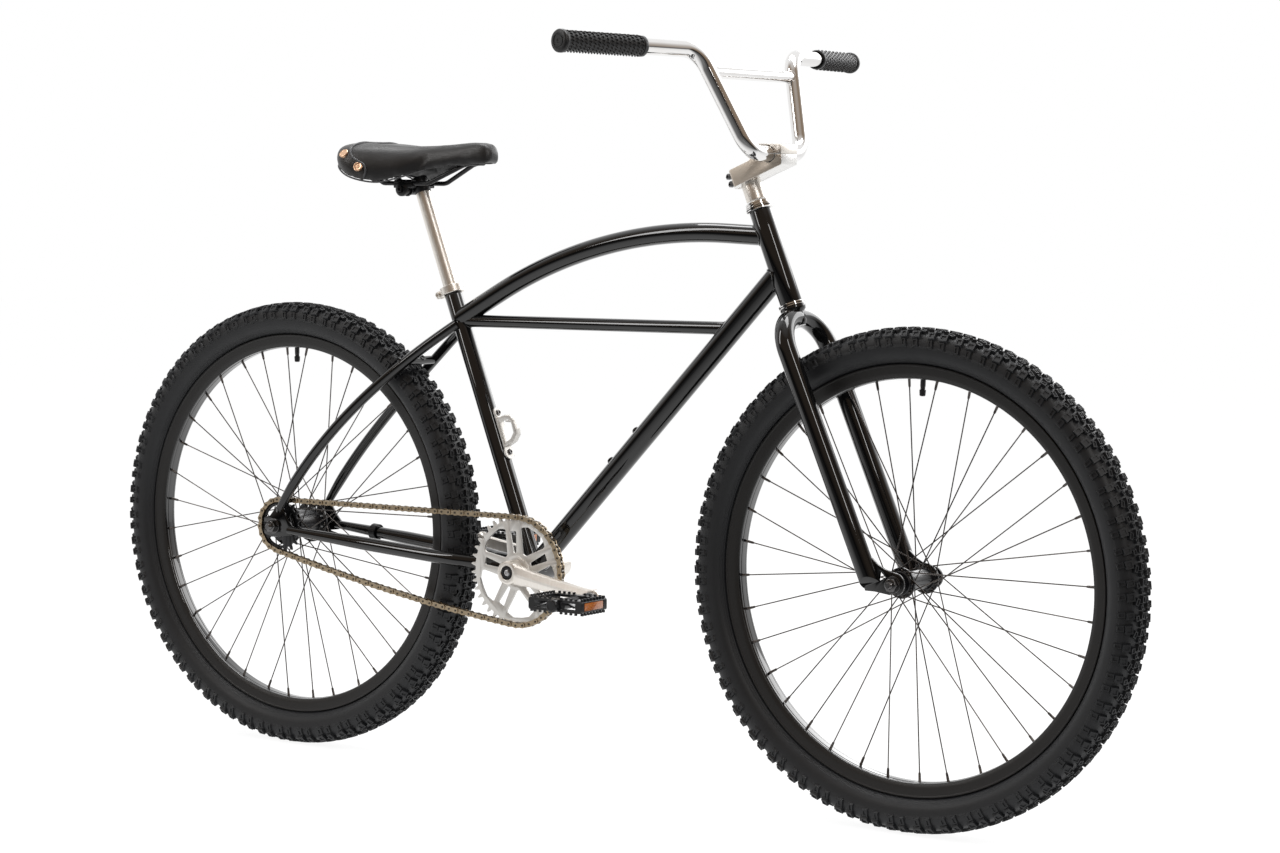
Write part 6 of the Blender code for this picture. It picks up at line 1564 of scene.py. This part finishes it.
def addHub(side):
    name, centre = side["name"], side["centre"]
    flange, spread, barrel, cap = side["flange"], side["spread"], side["barrel"], side["cap"]

    def half(stop):  # from the bore over the end's rings to the barrel
        inner, outer = spread - 0.0020, spread + 0.0020
        return [(stop, 0.0051), (stop, 0.0108), (stop - 0.0009, 0.0112), (stop - 0.0009, 0.0132),
            (stop, 0.0136), (stop, cap - 0.0012), (stop - 0.0010, cap), (outer + 0.0012, cap),
            (outer, cap + 0.0010), (outer, flange - 0.0008), (outer - 0.0008, flange), (inner + 0.0008,
            flange), (inner, flange - 0.0008), (inner, barrel + 0.0038), (inner - 0.0012, barrel + 0.0012),
            (inner - 0.0045, barrel)]
    profile = [(-y, r) for y, r in half(side["right"])] + [(y, r) for y, r in reversed(half(side["left"]))]
    bm = bmesh.new()
    turned(bm, centre, across, profile, 64, closed=True)
    if side["holes"]:
        holes = bmesh.new()
        for way in (-1, 1):
            for k in range(side["holes"]):
                turn = side["phase"] + 20 + 360 * k / side["holes"]
                place = centre + outwards(turn) * (flange - 0.0075) + across * way * spread
                turned(holes, place, across, capped([(-0.006, 0.0026), (0.006, 0.0026)]), 14)
        bm = carve(bm, holes)
    addPiece(name + "Hub", bm, hubPaint, side["body"], name + "_hub_shell", smooth=34)

    bm = bmesh.new()
    count, radius = wheel["spokes"], wheel["spokeRadius"]
    for k in range(count):
        way, turn = (-1 if k % 2 == 0 else 1), (1 if k // 2 % 2 == 0 else -1)
        far = side["phase"] + 360 * k / count
        out = across * way
        hole = centre + outwards(far + turn * wheel["crossings"] * 720 / count) * (flange - 0.0035)
        end = centre + outwards(far) * (wheel["rimInner"] - 0.0006) + out * (0.0030 + turn * 0.0011)
        elbow, butt = hole + out * (spread + turn * 0.0029), hole + out * (spread - turn * 0.0026)
        along = (end - elbow).normalized()
        tube(bm, [butt, elbow - out * turn * 0.0009, elbow + along * 0.0010, end], radius, 8)
        turned(bm, butt, out * -turn, [(-0.0003, 0.0019), (0.0004, 0.0019), (0.0009, 0.0012), (0.0010, 0)],
            10)
        turned(bm, end, -along, [(-0.0020, 0), (-0.0020, 0.0024), (0.0004, 0.0024), (0.0009, 0.0020),
            (0.0105, 0.0018), (0.0122, 0.0013), (0.0124, radius)], 10)
    addPiece(name + "Spokes", bm, spokeSteel, side["body"])


def addAxle(side, body, inner, foot):  # inner: the dropouts' inner faces; foot: their outer faces
    name, centre, radius = side["name"], side["centre"], wheel["axleRadius"]
    end = foot + wheel["washer"] + wheel["nutHeight"] + wheel["axleEnd"]
    half = [(end, 0), (end, radius - 0.0011), (end - 0.0006, radius - 0.0004)]
    for k in range(14):  # the thread's crests
        half += [(end - 0.0010 - 0.0010 * k, radius), (end - 0.0015 - 0.0010 * k, radius - 0.0005)]
    half += [(inner - 0.0002, radius)]

    def stack(stop):
        face = inner - 0.0003
        rows = [(face, radius), (face, 0.0078), (face - 0.0006, 0.0088)]
        if face - stop > 0.0040:
            rows += [(stop + 0.0034, 0.0088), (stop + 0.0030, 0.0080), (stop + 0.0026, 0.0088)]
        return rows + [(stop + 0.0008, 0.0088), (stop + 0.0003, 0.0080), (stop + 0.0003, radius)]

    right = [(-y, r) for y, r in half + stack(side["stops"][0])]
    left = [(y, r) for y, r in half + stack(side["stops"][1])]
    bm = bmesh.new()
    turned(bm, centre, across, right + list(reversed(left)), 32)
    addPiece(name + "Axle", bm, darkSteel, body, name + "_axle", smooth=34)

    for way, word in bothSides:
        out = across * way
        bm = bmesh.new()
        low = foot + wheel["washer"]
        turned(bm, centre, out, [(foot + 0.0003, radius + 0.0003), (foot + 0.0003, 0.0117), (foot + 0.0007,
            0.0120), (low - 0.0001, 0.0120), (low + 0.0002, 0.0116), (low + 0.0002, radius + 0.0003)], 40,
            closed=True)
        nut = bmesh.new()
        spot = spots([centre + out * low, centre + out])[0]
        bmesh.ops.create_cone(nut, cap_ends=True, segments=6, radius1=wheel["nutRadius"],
            radius2=wheel["nutRadius"], depth=wheel["nutHeight"], matrix=spot @ Matrix.Translation((0, 0,
            wheel["nutHeight"] / 2)))
        bore = bmesh.new()
        turned(bore, centre, out, capped([(foot - 0.01, radius + 0.0003), (foot + 0.03, radius + 0.0003)]),
            24)
        nut = carve(nut, bore)
        chamfer = bmesh.new()
        turned(chamfer, centre, out, capped([(low - 0.001, 0.0099), (low + wheel["nutHeight"] - 0.0016,
            0.0099), (low + wheel["nutHeight"] + 0.0008, 0.0072)]), 48)
        nut = carve(nut, chamfer, "INTERSECT")
        roundEdges(nut, 0.0003, 1, 40)
        pour(nut, bm)
        addPiece(f"{name}AxleNut.{word}", bm, darkSteel, body, f"{name}_axle_nut_{word}", 34)


for side in (frontWheel, rearWheel):
    addTyre(side)
    addRim(side)
    addHub(side)
addAxle(frontWheel, "fork", forkSize["hub"], forkSize["hub"] + forkSize["plateThick"])
addAxle(rearWheel, "frame", stays["dropoutIn"], stays["dropoutIn"] + stays["dropoutThick"])
print("wheels made")


# Drive
drive = {
    "pitch": 0.0127,
    "ringTeeth": 40,
    "sprocketTeeth": 20,
    "chainLine": layout["chainLine"],
    "pins": 104,
    "roller": 0.0039,
    "linkHalf": 0.0043,
    "linkWaist": 0.0031,
    "linkPlate": 0.0012,
    "innerHalf": 0.0024,
    "toothRoot": 0.0046,
    "toothTip": 0.0040,
    "toothWidth": 0.0050,
    "ringThick": 0.0032,
    "sprocketThick": 0.0030,
    "windowIn": 0.0275,
    "windowOut": 0.0690,
    "slotPhase": 25.0,
}
crank = {
    "length": 0.1700,
    "angle": -7.5,
    "thick": 0.0130,
    "bossRadius": 0.0175,
    "bossOut": 0.0705,
    "eyeOut": 0.0885,
    "eyeRadius": 0.0130,
    "capRadius": 0.0096,
}
pedal = {
    "inner": 0.0930,
    "cageIn": 0.1150,
    "cageOut": 0.1780,
    "outer": 0.1870,
    "length": 0.0930,
    "height": 0.0200,
    "bar": 0.0100,
    "barrel": 0.0095,
}


def pitchRadius(teeth):
    return drive["pitch"] / (2 * math.sin(math.pi / teeth))


def slackRun(start, end, links):  # the pins of a hanging run
    pitch, chord = drive["pitch"], (end - start).length
    turn = halved(1e-6, math.pi / (2 * links), lambda t: pitch * math.sin(links * t) / math.sin(t) > chord)
    along = (end - start).normalized()
    down = Vector((along.z, 0, -along.x))
    pins, place = [], start.copy()
    for k in range(links - 1):
        angle = turn * (links - 1 - 2 * k)
        place = place + (along * math.cos(angle) + down * math.sin(angle)) * pitch
        pins.append(place.copy())
    return pins


def chainPins():  # round the ring, back along the top, round the sprocket, home below
    ring, small, pitch = pitchRadius(drive["ringTeeth"]), pitchRadius(drive["sprocketTeeth"]), drive["pitch"]
    apart = crankAxis - rearAxle
    base, beta = math.atan2(apart.z, apart.x), math.asin((ring - small) / apart.length)
    top, bottom = base + math.pi / 2 + beta, base - math.pi / 2 - beta

    def on(centre, radius, angle):
        return centre + Vector((math.cos(angle), 0, math.sin(angle))) * radius

    step = 2 * math.pi / drive["ringTeeth"]
    pins = [on(crankAxis, ring, top - step * k) for k in range(int((top - bottom) / step), -1, -1)]
    start, back = pins[-1], Vector((-math.sin(top), 0, math.cos(top)))
    pins += [start + back * (pitch * (k + 1)) for k in range(int(apart.length * math.cos(beta) / pitch))]
    first = top + halved(0.0, math.pi / 6, lambda t: (on(rearAxle, small, top + t) - pins[-1]).length < pitch)
    step = 2 * math.pi / drive["sprocketTeeth"]
    pins += [on(rearAxle, small,
        first + step * k) for k in range(int((2 * math.pi + bottom - first) / step) + 1)]
    pins += slackRun(pins[-1], pins[0], drive["pins"] - len(pins) + 1)
    return pins, math.degrees(top), math.degrees(first)


pins, ringPhase, sprocketPhase = chainPins()


def toothedOutline(teeth, phase):
    radius, width, outline = pitchRadius(teeth), drive["toothWidth"], []
    root, tip = radius - drive["toothRoot"], radius + drive["toothTip"]
    rows = [(root + 0.0006, -0.80), (root + 0.0018, -0.56), (radius, -0.45), (tip - 0.0010, -0.26),
        (tip, -0.13)]
    for k in range(teeth):
        for r, share in rows + [(r, -share) for r, share in reversed(rows)]:
            a = math.radians(phase + 360 * k / teeth) + width * share / r
            outline.append((r * math.cos(a), r * math.sin(a)))
    return outline


def softOutline(points, radius, steps=5):  # a closed outline with every corner rounded
    made = []
    corners = [Vector((u, 0, v)) for u, v in points]
    for i, corner in enumerate(corners):
        before, after = corners[i - 1].lerp(corner, 0.5), corner.lerp(corners[(i + 1) % len(corners)], 0.5)
        made += [(p.x, p.z) for p in rounded([before, corner, after], [radius], steps)[1:-1]]
    return made


def rotated(points, degrees):
    c, s = math.cos(math.radians(degrees)), math.sin(math.radians(degrees))
    return [(u * c - v * s, u * s + v * c) for u, v in points]


def flat(bm, centre, outline, low, high):  # a plate in the wheels' plane, between two distances across
    plate(bm, [centre + Vector((u, low, v)) for u, v in outline], across * (high - low))


def addChainring():
    line, thick = drive["chainLine"], drive["ringThick"]
    low, high = -line - thick / 2, -line + thick / 2
    ring = bmesh.new()
    flat(ring, crankAxis, toothedOutline(drive["ringTeeth"], ringPhase - 180 / drive["ringTeeth"]), low, high)
    inner, outer = drive["windowIn"], drive["windowOut"]
    window = softOutline([(inner + 0.0010, -0.0030), (outer - 0.0090, -0.0268), (outer - 0.0005, -0.0150),
        (outer + 0.0006, 0), (outer - 0.0005, 0.0150), (outer - 0.0090, 0.0268), (inner + 0.0010, 0.0030)],
        0.0040)
    slot = softOutline([(0.0275, -0.0028), (0.0600, -0.0060), (0.0600, 0.0060), (0.0275, 0.0028)], 0.0024)
    for k in range(5):
        for outline, turn in ((slot, 0), (window, 36)):
            hole = bmesh.new()
            flat(hole, crankAxis, rotated(outline, drive["slotPhase"] + 72 * k + turn), low - 0.01,
                high + 0.01)
            ring = carve(ring, hole)
    bore = bmesh.new()
    turned(bore, crankAxis, across, capped([(low - 0.01, 0.0084), (high + 0.01, 0.0084)]), 32)
    ring = carve(ring, bore)
    roundEdges(ring, 0.0004, 2, 50)
    turned(ring, crankAxis, -across, [(line + thick / 2 - 0.0002, 0.0182), (line + thick / 2 + 0.0006,
        0.0236), (line + thick / 2 - 0.0002, 0.0242)], 64, closed=True)
    addPiece("chainring", ring, satin, "crank", "chainring", 40)

    line, thick = drive["chainLine"], drive["sprocketThick"]
    low, high = -line - thick / 2, -line + thick / 2
    bm = bmesh.new()
    flat(bm, rearAxle, toothedOutline(drive["sprocketTeeth"], sprocketPhase + 180 / drive["sprocketTeeth"]),
        low, high)
    for k in range(3):
        hole = bmesh.new()
        kidney = softOutline(arc(0.0322, 103, 163, 6) + arc(0.0235, 157, 109, 5), 0.0016, 3)
        flat(hole, rearAxle, rotated(kidney, 120 * k), low - 0.01, high + 0.01)
        bm = carve(bm, hole)
    roundEdges(bm, 0.0004, 2, 50)
    turned(bm, rearAxle, -across, [(line - 0.0010, 0.0052), (line - 0.0010, 0.0180), (0.0472, 0.0180),
        (0.0480, 0.0172), (0.0480, 0.0138), (0.0474, 0.0130), (0.0474, 0.0112), (0.0480, 0.0104),
        (0.0480, 0.0052)], 48, closed=True)
    addPiece("rearSprocket", bm, blackened, "driver", "rear_sprocket", 40)


def addChain():
    half, waist, pitch = drive["linkHalf"], drive["linkWaist"], drive["pitch"]
    outline = arc(half, 65, 295, 7) + [(pitch / 2, -waist)] + [(u + pitch, v) for u, v in arc(half, -115,
        115, 7)]
    outline += [(pitch / 2, waist)]
    plates, rollers = bmesh.new(), bmesh.new()
    line = across * drive["chainLine"]
    for i, (pin, following) in enumerate(zip(pins, pins[1:] + pins[:1])):
        along = (following - pin).normalized()
        up = Vector((-along.z, 0, along.x))
        inner = drive["innerHalf"] + (drive["linkPlate"] + 0.0001 if i % 2 else 0)
        for way in (-1, 1):
            place = pin - line + across * way * inner
            plate(plates, [place + along * u + up * v for u, v in outline], across * way * drive["linkPlate"])
        turned(rollers, pin - line, across, capped([(-0.0023, drive["roller"]), (0.0023, drive["roller"])]),
            14)
        turned(rollers, pin - line, across, capped([(-0.0056, 0.0014), (-0.0053, 0.0018), (0.0053, 0.0018),
            (0.0056, 0.0014)]), 10)
    addPiece("chainPlates", plates, chainMetal, "frame", "chain", smooth=35)
    addPiece("chainRollers", rollers, pinSteel, "frame", smooth=35)


def crankLine(side):
    return outwards(crank["angle"]) * -side


def pedalCentre(side):
    return crankAxis + crankLine(side) * crank["length"]


def addCrank(name, side):
    along, out = crankLine(side), across * side
    up = Vector((-along.z, 0, along.x))
    foot = drive["chainLine"] + drive["ringThick"] / 2 + 0.0003 if side < 0 else 0.0503
    end, radius = crank["bossOut"], crank["bossRadius"]
    bm = bmesh.new()
    turned(bm, crankAxis, out, [(foot, 0.0085), (foot, radius - 0.0006), (foot + 0.0006, radius),
        (end - 0.0016, radius), (end - 0.0004, radius - 0.0012), (end, radius - 0.0030), (end, 0.0112),
        (end - 0.0008, 0.0104), (end - 0.0070, 0.0100), (end - 0.0075, 0.0085)], 64, closed=True)
    widths = curve([Vector(p) for p in ((0.085, 0.0146), (0.16, 0.0138), (0.30, 0.0117), (0.80, 0.0104),
        (0.96, 0.0110))], 6)
    rings = []
    for share, half in widths:
        far = end + (crank["eyeOut"] - end) * min(1.0, share * 1.1) - 0.0008
        back = far - crank["thick"] + 0.0012
        right = [(0.16 * half, far), (0.84 * half, far - 0.0019), (half, far - 0.0036),
            (half, back + 0.0016), (half - 0.0014, back)]
        section = right + [(-u, v) for u, v in reversed(right)]
        rings.append([crankAxis + along * (crank["length"] * share) + up * u + out * v for u, v in section])
    arm = bmesh.new()
    loft(arm, rings)
    pour(arm, bm)
    far, eye = crank["eyeOut"], crank["eyeRadius"]
    turned(bm, pedalCentre(side), out, [(far - crank["thick"], 0.0072), (far - crank["thick"],
        eye - 0.0012), (far - crank["thick"] + 0.0012, eye), (far - 0.0014, eye), (far - 0.0003,
        eye - 0.0012), (far, eye - 0.0026), (far, 0.0084), (far - 0.0006, 0.0072)], 48, closed=True)
    addPiece("crank." + name, bm, alloy, "crank", "crank_" + name, smooth=11)

    wide = crank["capRadius"]
    bm = bmesh.new()
    turned(bm, crankAxis, out, [(end - 0.0070, 0.0058), (end - 0.0070, wide), (end - 0.0016, wide),
        (end - 0.0003, wide - 0.0010), (end - 0.0003, 0.0062), (end - 0.0010, 0.0058)], 40, closed=True)
    addPiece("dustCap." + name, bm, blackened, "crank", "crank_bolt_" + name, 34)
    bm = bmesh.new()
    turned(bm, crankAxis, out, capped([(end - 0.0072, 0.0057), (end - 0.0030, 0.0057), (end - 0.0024,
        0.0051)]), 32)
    hexBolt(bm, crankAxis + out * (end - 0.0026), out, 0.0047, 0.0022)
    addPiece("crankBolt." + name, bm, steel, "crank", smooth=34)


def addPedal(name, side):
    place, out = pedalCentre(side), across * side
    face = crank["eyeOut"]
    bm = bmesh.new()
    turned(bm, place, out, capped([(face - crank["thick"] + 0.0004, 0.0052),
        (face - crank["thick"] + 0.0004, 0.0070), (face + 0.0003, 0.0070), (face + 0.0003, 0.0086),
        (face + 0.0008, 0.0090), (pedal["inner"] - 0.0014, 0.0090), (pedal["inner"] - 0.0009, 0.0086),
        (pedal["inner"] - 0.0009, 0.0054), (pedal["cageOut"] - 0.0010, 0.0054)]), 32)
    addPiece("pedalAxle." + name, bm, steel, "crank", "pedal_axle_" + name, smooth=34)

    half, tall, bar = pedal["length"] / 2, pedal["height"] / 2, pedal["bar"]
    low, high = sorted((side * pedal["cageIn"], side * pedal["cageOut"]))
    cage = bmesh.new()
    corner = 0.0035
    flat(cage, place, softOutline([(-half, -tall + 0.0012), (half, -tall + 0.0012), (half, tall - 0.0012),
        (-half, tall - 0.0012)], corner, 4), low, high)
    middle = (low + high) / 2

    def at(x, y=middle, up=0.0):
        return Matrix.Translation((place.x + x, y, place.z + up))

    cage = notched(cage, at(0), (2 * (half - bar), high - low - 2 * bar, 0.1))
    for way in (-1, 1):  # seats of the reflectors
        cage = notched(cage, at(way * half), (0.0044, 0.0460, 0.0124))
    for way in (-1, 1):  # the ends are two thin rails with gaps between
        for end in (pedal["cageIn"], pedal["cageOut"]):
            cage = notched(cage, at(way * 0.0235, side * end), (0.0250, 0.0300, 0.0100))
    roundEdges(cage, 0.0006, 1, 40)
    for way in (-1, 1):
        for level in (-1, 1):
            top = level * (tall + 0.0004)
            for k in range(8):  # teeth along the treads and the ends
                block(cage, at(way * (half - 0.0022), middle + (k - 3.5) * 0.0074, top), (0.0036, 0.0032,
                    0.0034))
            for k in range(4):
                for y in (low + 0.0022, high - 0.0022):
                    block(cage, at(way * (0.0100 + k * 0.0086), y, top), (0.0032, 0.0030, 0.0030))
    barrel = pedal["barrel"]
    turned(cage, place, out, [(pedal["inner"], 0.0058), (pedal["inner"], barrel - 0.0006),
        (pedal["inner"] + 0.0006, barrel), (pedal["inner"] + 0.0100, barrel), (pedal["inner"] + 0.0130,
        barrel - 0.0014), (pedal["cageOut"] - 0.004, barrel - 0.0014), (pedal["cageOut"] - 0.002, barrel),
        (pedal["outer"] - 0.0016, barrel), (pedal["outer"] - 0.0004, barrel - 0.0010), (pedal["outer"],
        barrel - 0.0026), (pedal["outer"] - 0.0008, barrel - 0.0034), (pedal["outer"] - 0.0008, 0)], 40)
    for way in (-1, 1):  # webs from the barrel to the bars
        block(cage, at(way * (half - bar) / 2), (half - bar, 0.0050, 0.0110))
    addPiece("pedalBody." + name, cage, resin, "pedal_" + name, "pedal_body_" + name, smooth=34)

    bm = bmesh.new()
    for way in (-1, 1):
        roundedBlock(bm, at(way * (half - 0.0011)), (0.0020, 0.0448, 0.0112), 0.0006)
    addPiece("pedalReflectors." + name, bm, amber, "pedal_" + name)
    bm = bmesh.new()
    for way in (-1, 1):  # bright plates in the cage's window
        spot = at(way * 0.0235, up=0.0010) @ Matrix.Rotation(way * 0.30, 4, "Y")
        roundedBlock(bm, spot, (0.0236, 0.0420, 0.0014), 0.0004, 1)
    addPiece("pedalPlates." + name, bm, steel, "pedal_" + name)


def addSpindle():
    bm = bmesh.new()
    turned(bm, crankAxis, across, capped([(-0.0500, 0.0072), (-0.0492, 0.0080), (0.0492, 0.0080),
        (0.0500, 0.0072)]), 32)
    for side in (-1, 1):
        roundedBlock(bm, Matrix.Translation(crankAxis + across * side * 0.0560), (0.0124, 0.0140, 0.0124),
            0.0008)
    addPiece("crankSpindle", bm, steel, "crank", "crank_spindle", smooth=34)


addChainring()
addChain()
addSpindle()
for side, name in bothSides:
    addCrank(name, side)
    addPedal(name, side)
print("drive made")


# Bottom bracket cups, brake arm, strap and bottle opener
brake = {
    "out": 0.0475,
    "thick": 0.0030,
    "length": 0.1250,
    "strapPlace": 0.1135,
    "boltBelow": 0.0325,
    "bandThick": 0.0020,
    "bandWidth": 0.0120,
}
opener = {
    "low": 0.1783,
    "high": 0.2407,
    "out": 0.0445,
    "thick": 0.0030,
    "half": 0.0070,
}


def addCups():
    wide, reach = tubes["shellRadius"] - 0.0010, tubes["shellWidth"] / 2 + 0.0003
    for side, name in bothSides:
        cup = bmesh.new()
        turned(cup, crankAxis, across * side, [(reach - 0.0110, 0.0084), (reach - 0.0110, 0.0166),
            (reach, 0.0166), (reach, wide - 0.0004), (reach + 0.0004, wide), (reach + 0.0022, wide),
            (reach + 0.0030, wide - 0.0010), (reach + 0.0030, 0.0108), (reach + 0.0024, 0.0100),
            (reach + 0.0024, 0.0084)], 64, closed=True)
        for k in range(8):
            spot = Matrix.Translation(crankAxis + outwards(45 * k) * wide + across * side * (reach + 0.0022))
            cup = notched(cup, spot @ Matrix.Rotation(math.radians(-45 * k), 4, "Y"), (0.0044, 0.0060,
                0.0040))
        addPiece("bracketCup." + name, cup, darkSteel, "frame", "bb_cup_" + name, smooth=34)


def strapBolt():
    return rearAxle + Vector((brake["strapPlace"], 0, -brake["boltBelow"]))


def addBrakeArm():
    low, high, long = brake["out"], brake["out"] + brake["thick"], brake["length"]
    outline = arc(0.0165, 45, 290, 24) + [(0.0300, -0.0330), (long - 0.0070, -0.0395), (long - 0.0015,
        -0.0375), (long, -0.0330), (long - 0.0012, -0.0280), (long - 0.0050, -0.0255), (0.0500, -0.0205),
        (0.0240, -0.0150)]
    arm = bmesh.new()
    flat(arm, rearAxle, outline, low, high)
    holes = bmesh.new()
    turned(holes, rearAxle, across, capped([(0.03, 0.0051), (0.07, 0.0051)]), 32)
    turned(holes, strapBolt(), across, capped([(0.03, 0.0029), (0.07, 0.0029)]), 24)
    arm = carve(arm, holes)
    roundEdges(arm, 0.0005, 2, 50)
    turned(arm, rearAxle, across, [(high - 0.0002, 0.0094), (high + 0.0003, 0.0100), (high + 0.0003,
        0.0122), (high - 0.0002, 0.0128)], 40, closed=True)
    addPiece("brakeArm", arm, blackened, "frame", "brake_arm", 34)

    path = chainstayPath(1)
    x = rearAxle.x + brake["strapPlace"]
    a, b = next((a, b) for a, b in zip(path, path[1:]) if a.x <= x <= b.x)
    place, along = a.lerp(b, (x - a.x) / (b.x - a.x)), (b - a).normalized()
    inner, half = stays["chainRadius"] + 0.0004, brake["bandWidth"] / 2
    outer = inner + brake["bandThick"]
    bm = bmesh.new()
    turned(bm, place, along, [(-half, inner), (-half, outer - 0.0004), (-half + 0.0005, outer),
        (half - 0.0005, outer), (half, outer - 0.0004), (half, inner)], 48, closed=True)
    bolt, face = strapBolt(), high + 0.0003
    top = place.z - 0.6 * inner
    spot = Matrix.Translation((bolt.x, face + brake["bandThick"] / 2, (bolt.z - 0.0060 + top) / 2))
    roundedBlock(bm, spot, (2 * half, brake["bandThick"], top - bolt.z + 0.0060), 0.0005)
    seat = face + brake["bandThick"]
    turned(bm, bolt, across, capped([(low - 0.0030, 0.0022), (seat + 0.0012, 0.0024)]), 20)
    hexBolt(bm, bolt + across * (seat + 0.0001), across, 0.0046, 0.0028)
    hexBolt(bm, bolt + across * (low - 0.0004), -across, 0.0046, 0.0026)
    addPiece("brakeStrap", bm, blackened, "frame", "brake_strap", 34)


def addOpener():
    foot, thick, half = layout["seatRadius"] + 0.0003, opener["thick"], opener["half"]
    low, high, out = opener["low"] - 0.0080, opener["high"] + 0.0080, opener["out"]
    middle = (opener["low"] + opener["high"]) / 2
    back = bmesh.new()
    rim = softOutline([(low, -half), (high, -half), (high, half), (low, half)], 0.0055, 6)
    plate(back, [seatPoint(u, foot, v) for u, v in rim], seatAhead * thick)
    roundEdges(back, 0.0006, 2)
    root, wide = foot + thick / 2, 0.0060
    outer = [(root, middle - 0.0230), (out - 0.0120, middle - 0.0200), (out - 0.0020, middle - 0.0120),
        (out, middle - 0.0030), (out, middle + 0.0120), (out - 0.0040, middle + 0.0195), (out - 0.0120,
        middle + 0.0230), (root, middle + 0.0230)]
    loop = bmesh.new()
    plate(loop, [seatPoint(v, u, -wide) for u, v in softOutline(outer, 0.0018)], across * 2 * wide)
    near, far = root + 0.0035, out - 0.0050
    inside = [(near, middle - 0.0160), (far - 0.0090, middle - 0.0140), (far - 0.0010, middle - 0.0070),
        (far, middle + 0.0080), (far - 0.0040, middle + 0.0145), (far - 0.0100, middle + 0.0170),
        (near, middle + 0.0170)]
    hole = bmesh.new()
    plate(hole, [seatPoint(v, u, -0.02) for u, v in softOutline(inside, 0.0018)], across * 0.04)
    loop = carve(loop, hole)
    tongue = bmesh.new()  # the lip that catches a cap's edge
    block(tongue, Matrix.Translation(seatPoint(middle + 0.0125, far - 0.0065)), (0.0090, 0.0080, 0.0026))
    pour(tongue, loop)
    roundEdges(loop, 0.0008, 2, 50)
    pour(loop, back)
    screws = bmesh.new()
    for along, lug in ((opener["low"], 0.0112), (opener["high"], 0.0085)):
        turned(back, seatPoint(along), seatAhead, capped([(foot + 0.0008, lug - 0.0006), (foot + thick,
            lug), (foot + thick + 0.0008, lug - 0.0006)]), 40)
        face = foot + thick + 0.0009
        turned(screws, seatPoint(along), seatAhead, capped([(face - 0.0004, 0.0046), (face + 0.0012,
            0.0046), (face + 0.0026, 0.0034), (face + 0.0026, 0.0022), (face + 0.0012, 0.0020)]), 24)
    addPiece("bottleOpener", back, satin, "frame", "bottle_opener", 34)
    addPiece("openerScrews", screws, darkSteel, "frame", smooth=34)


addCups()
addBrakeArm()
addOpener()
print("small parts made")
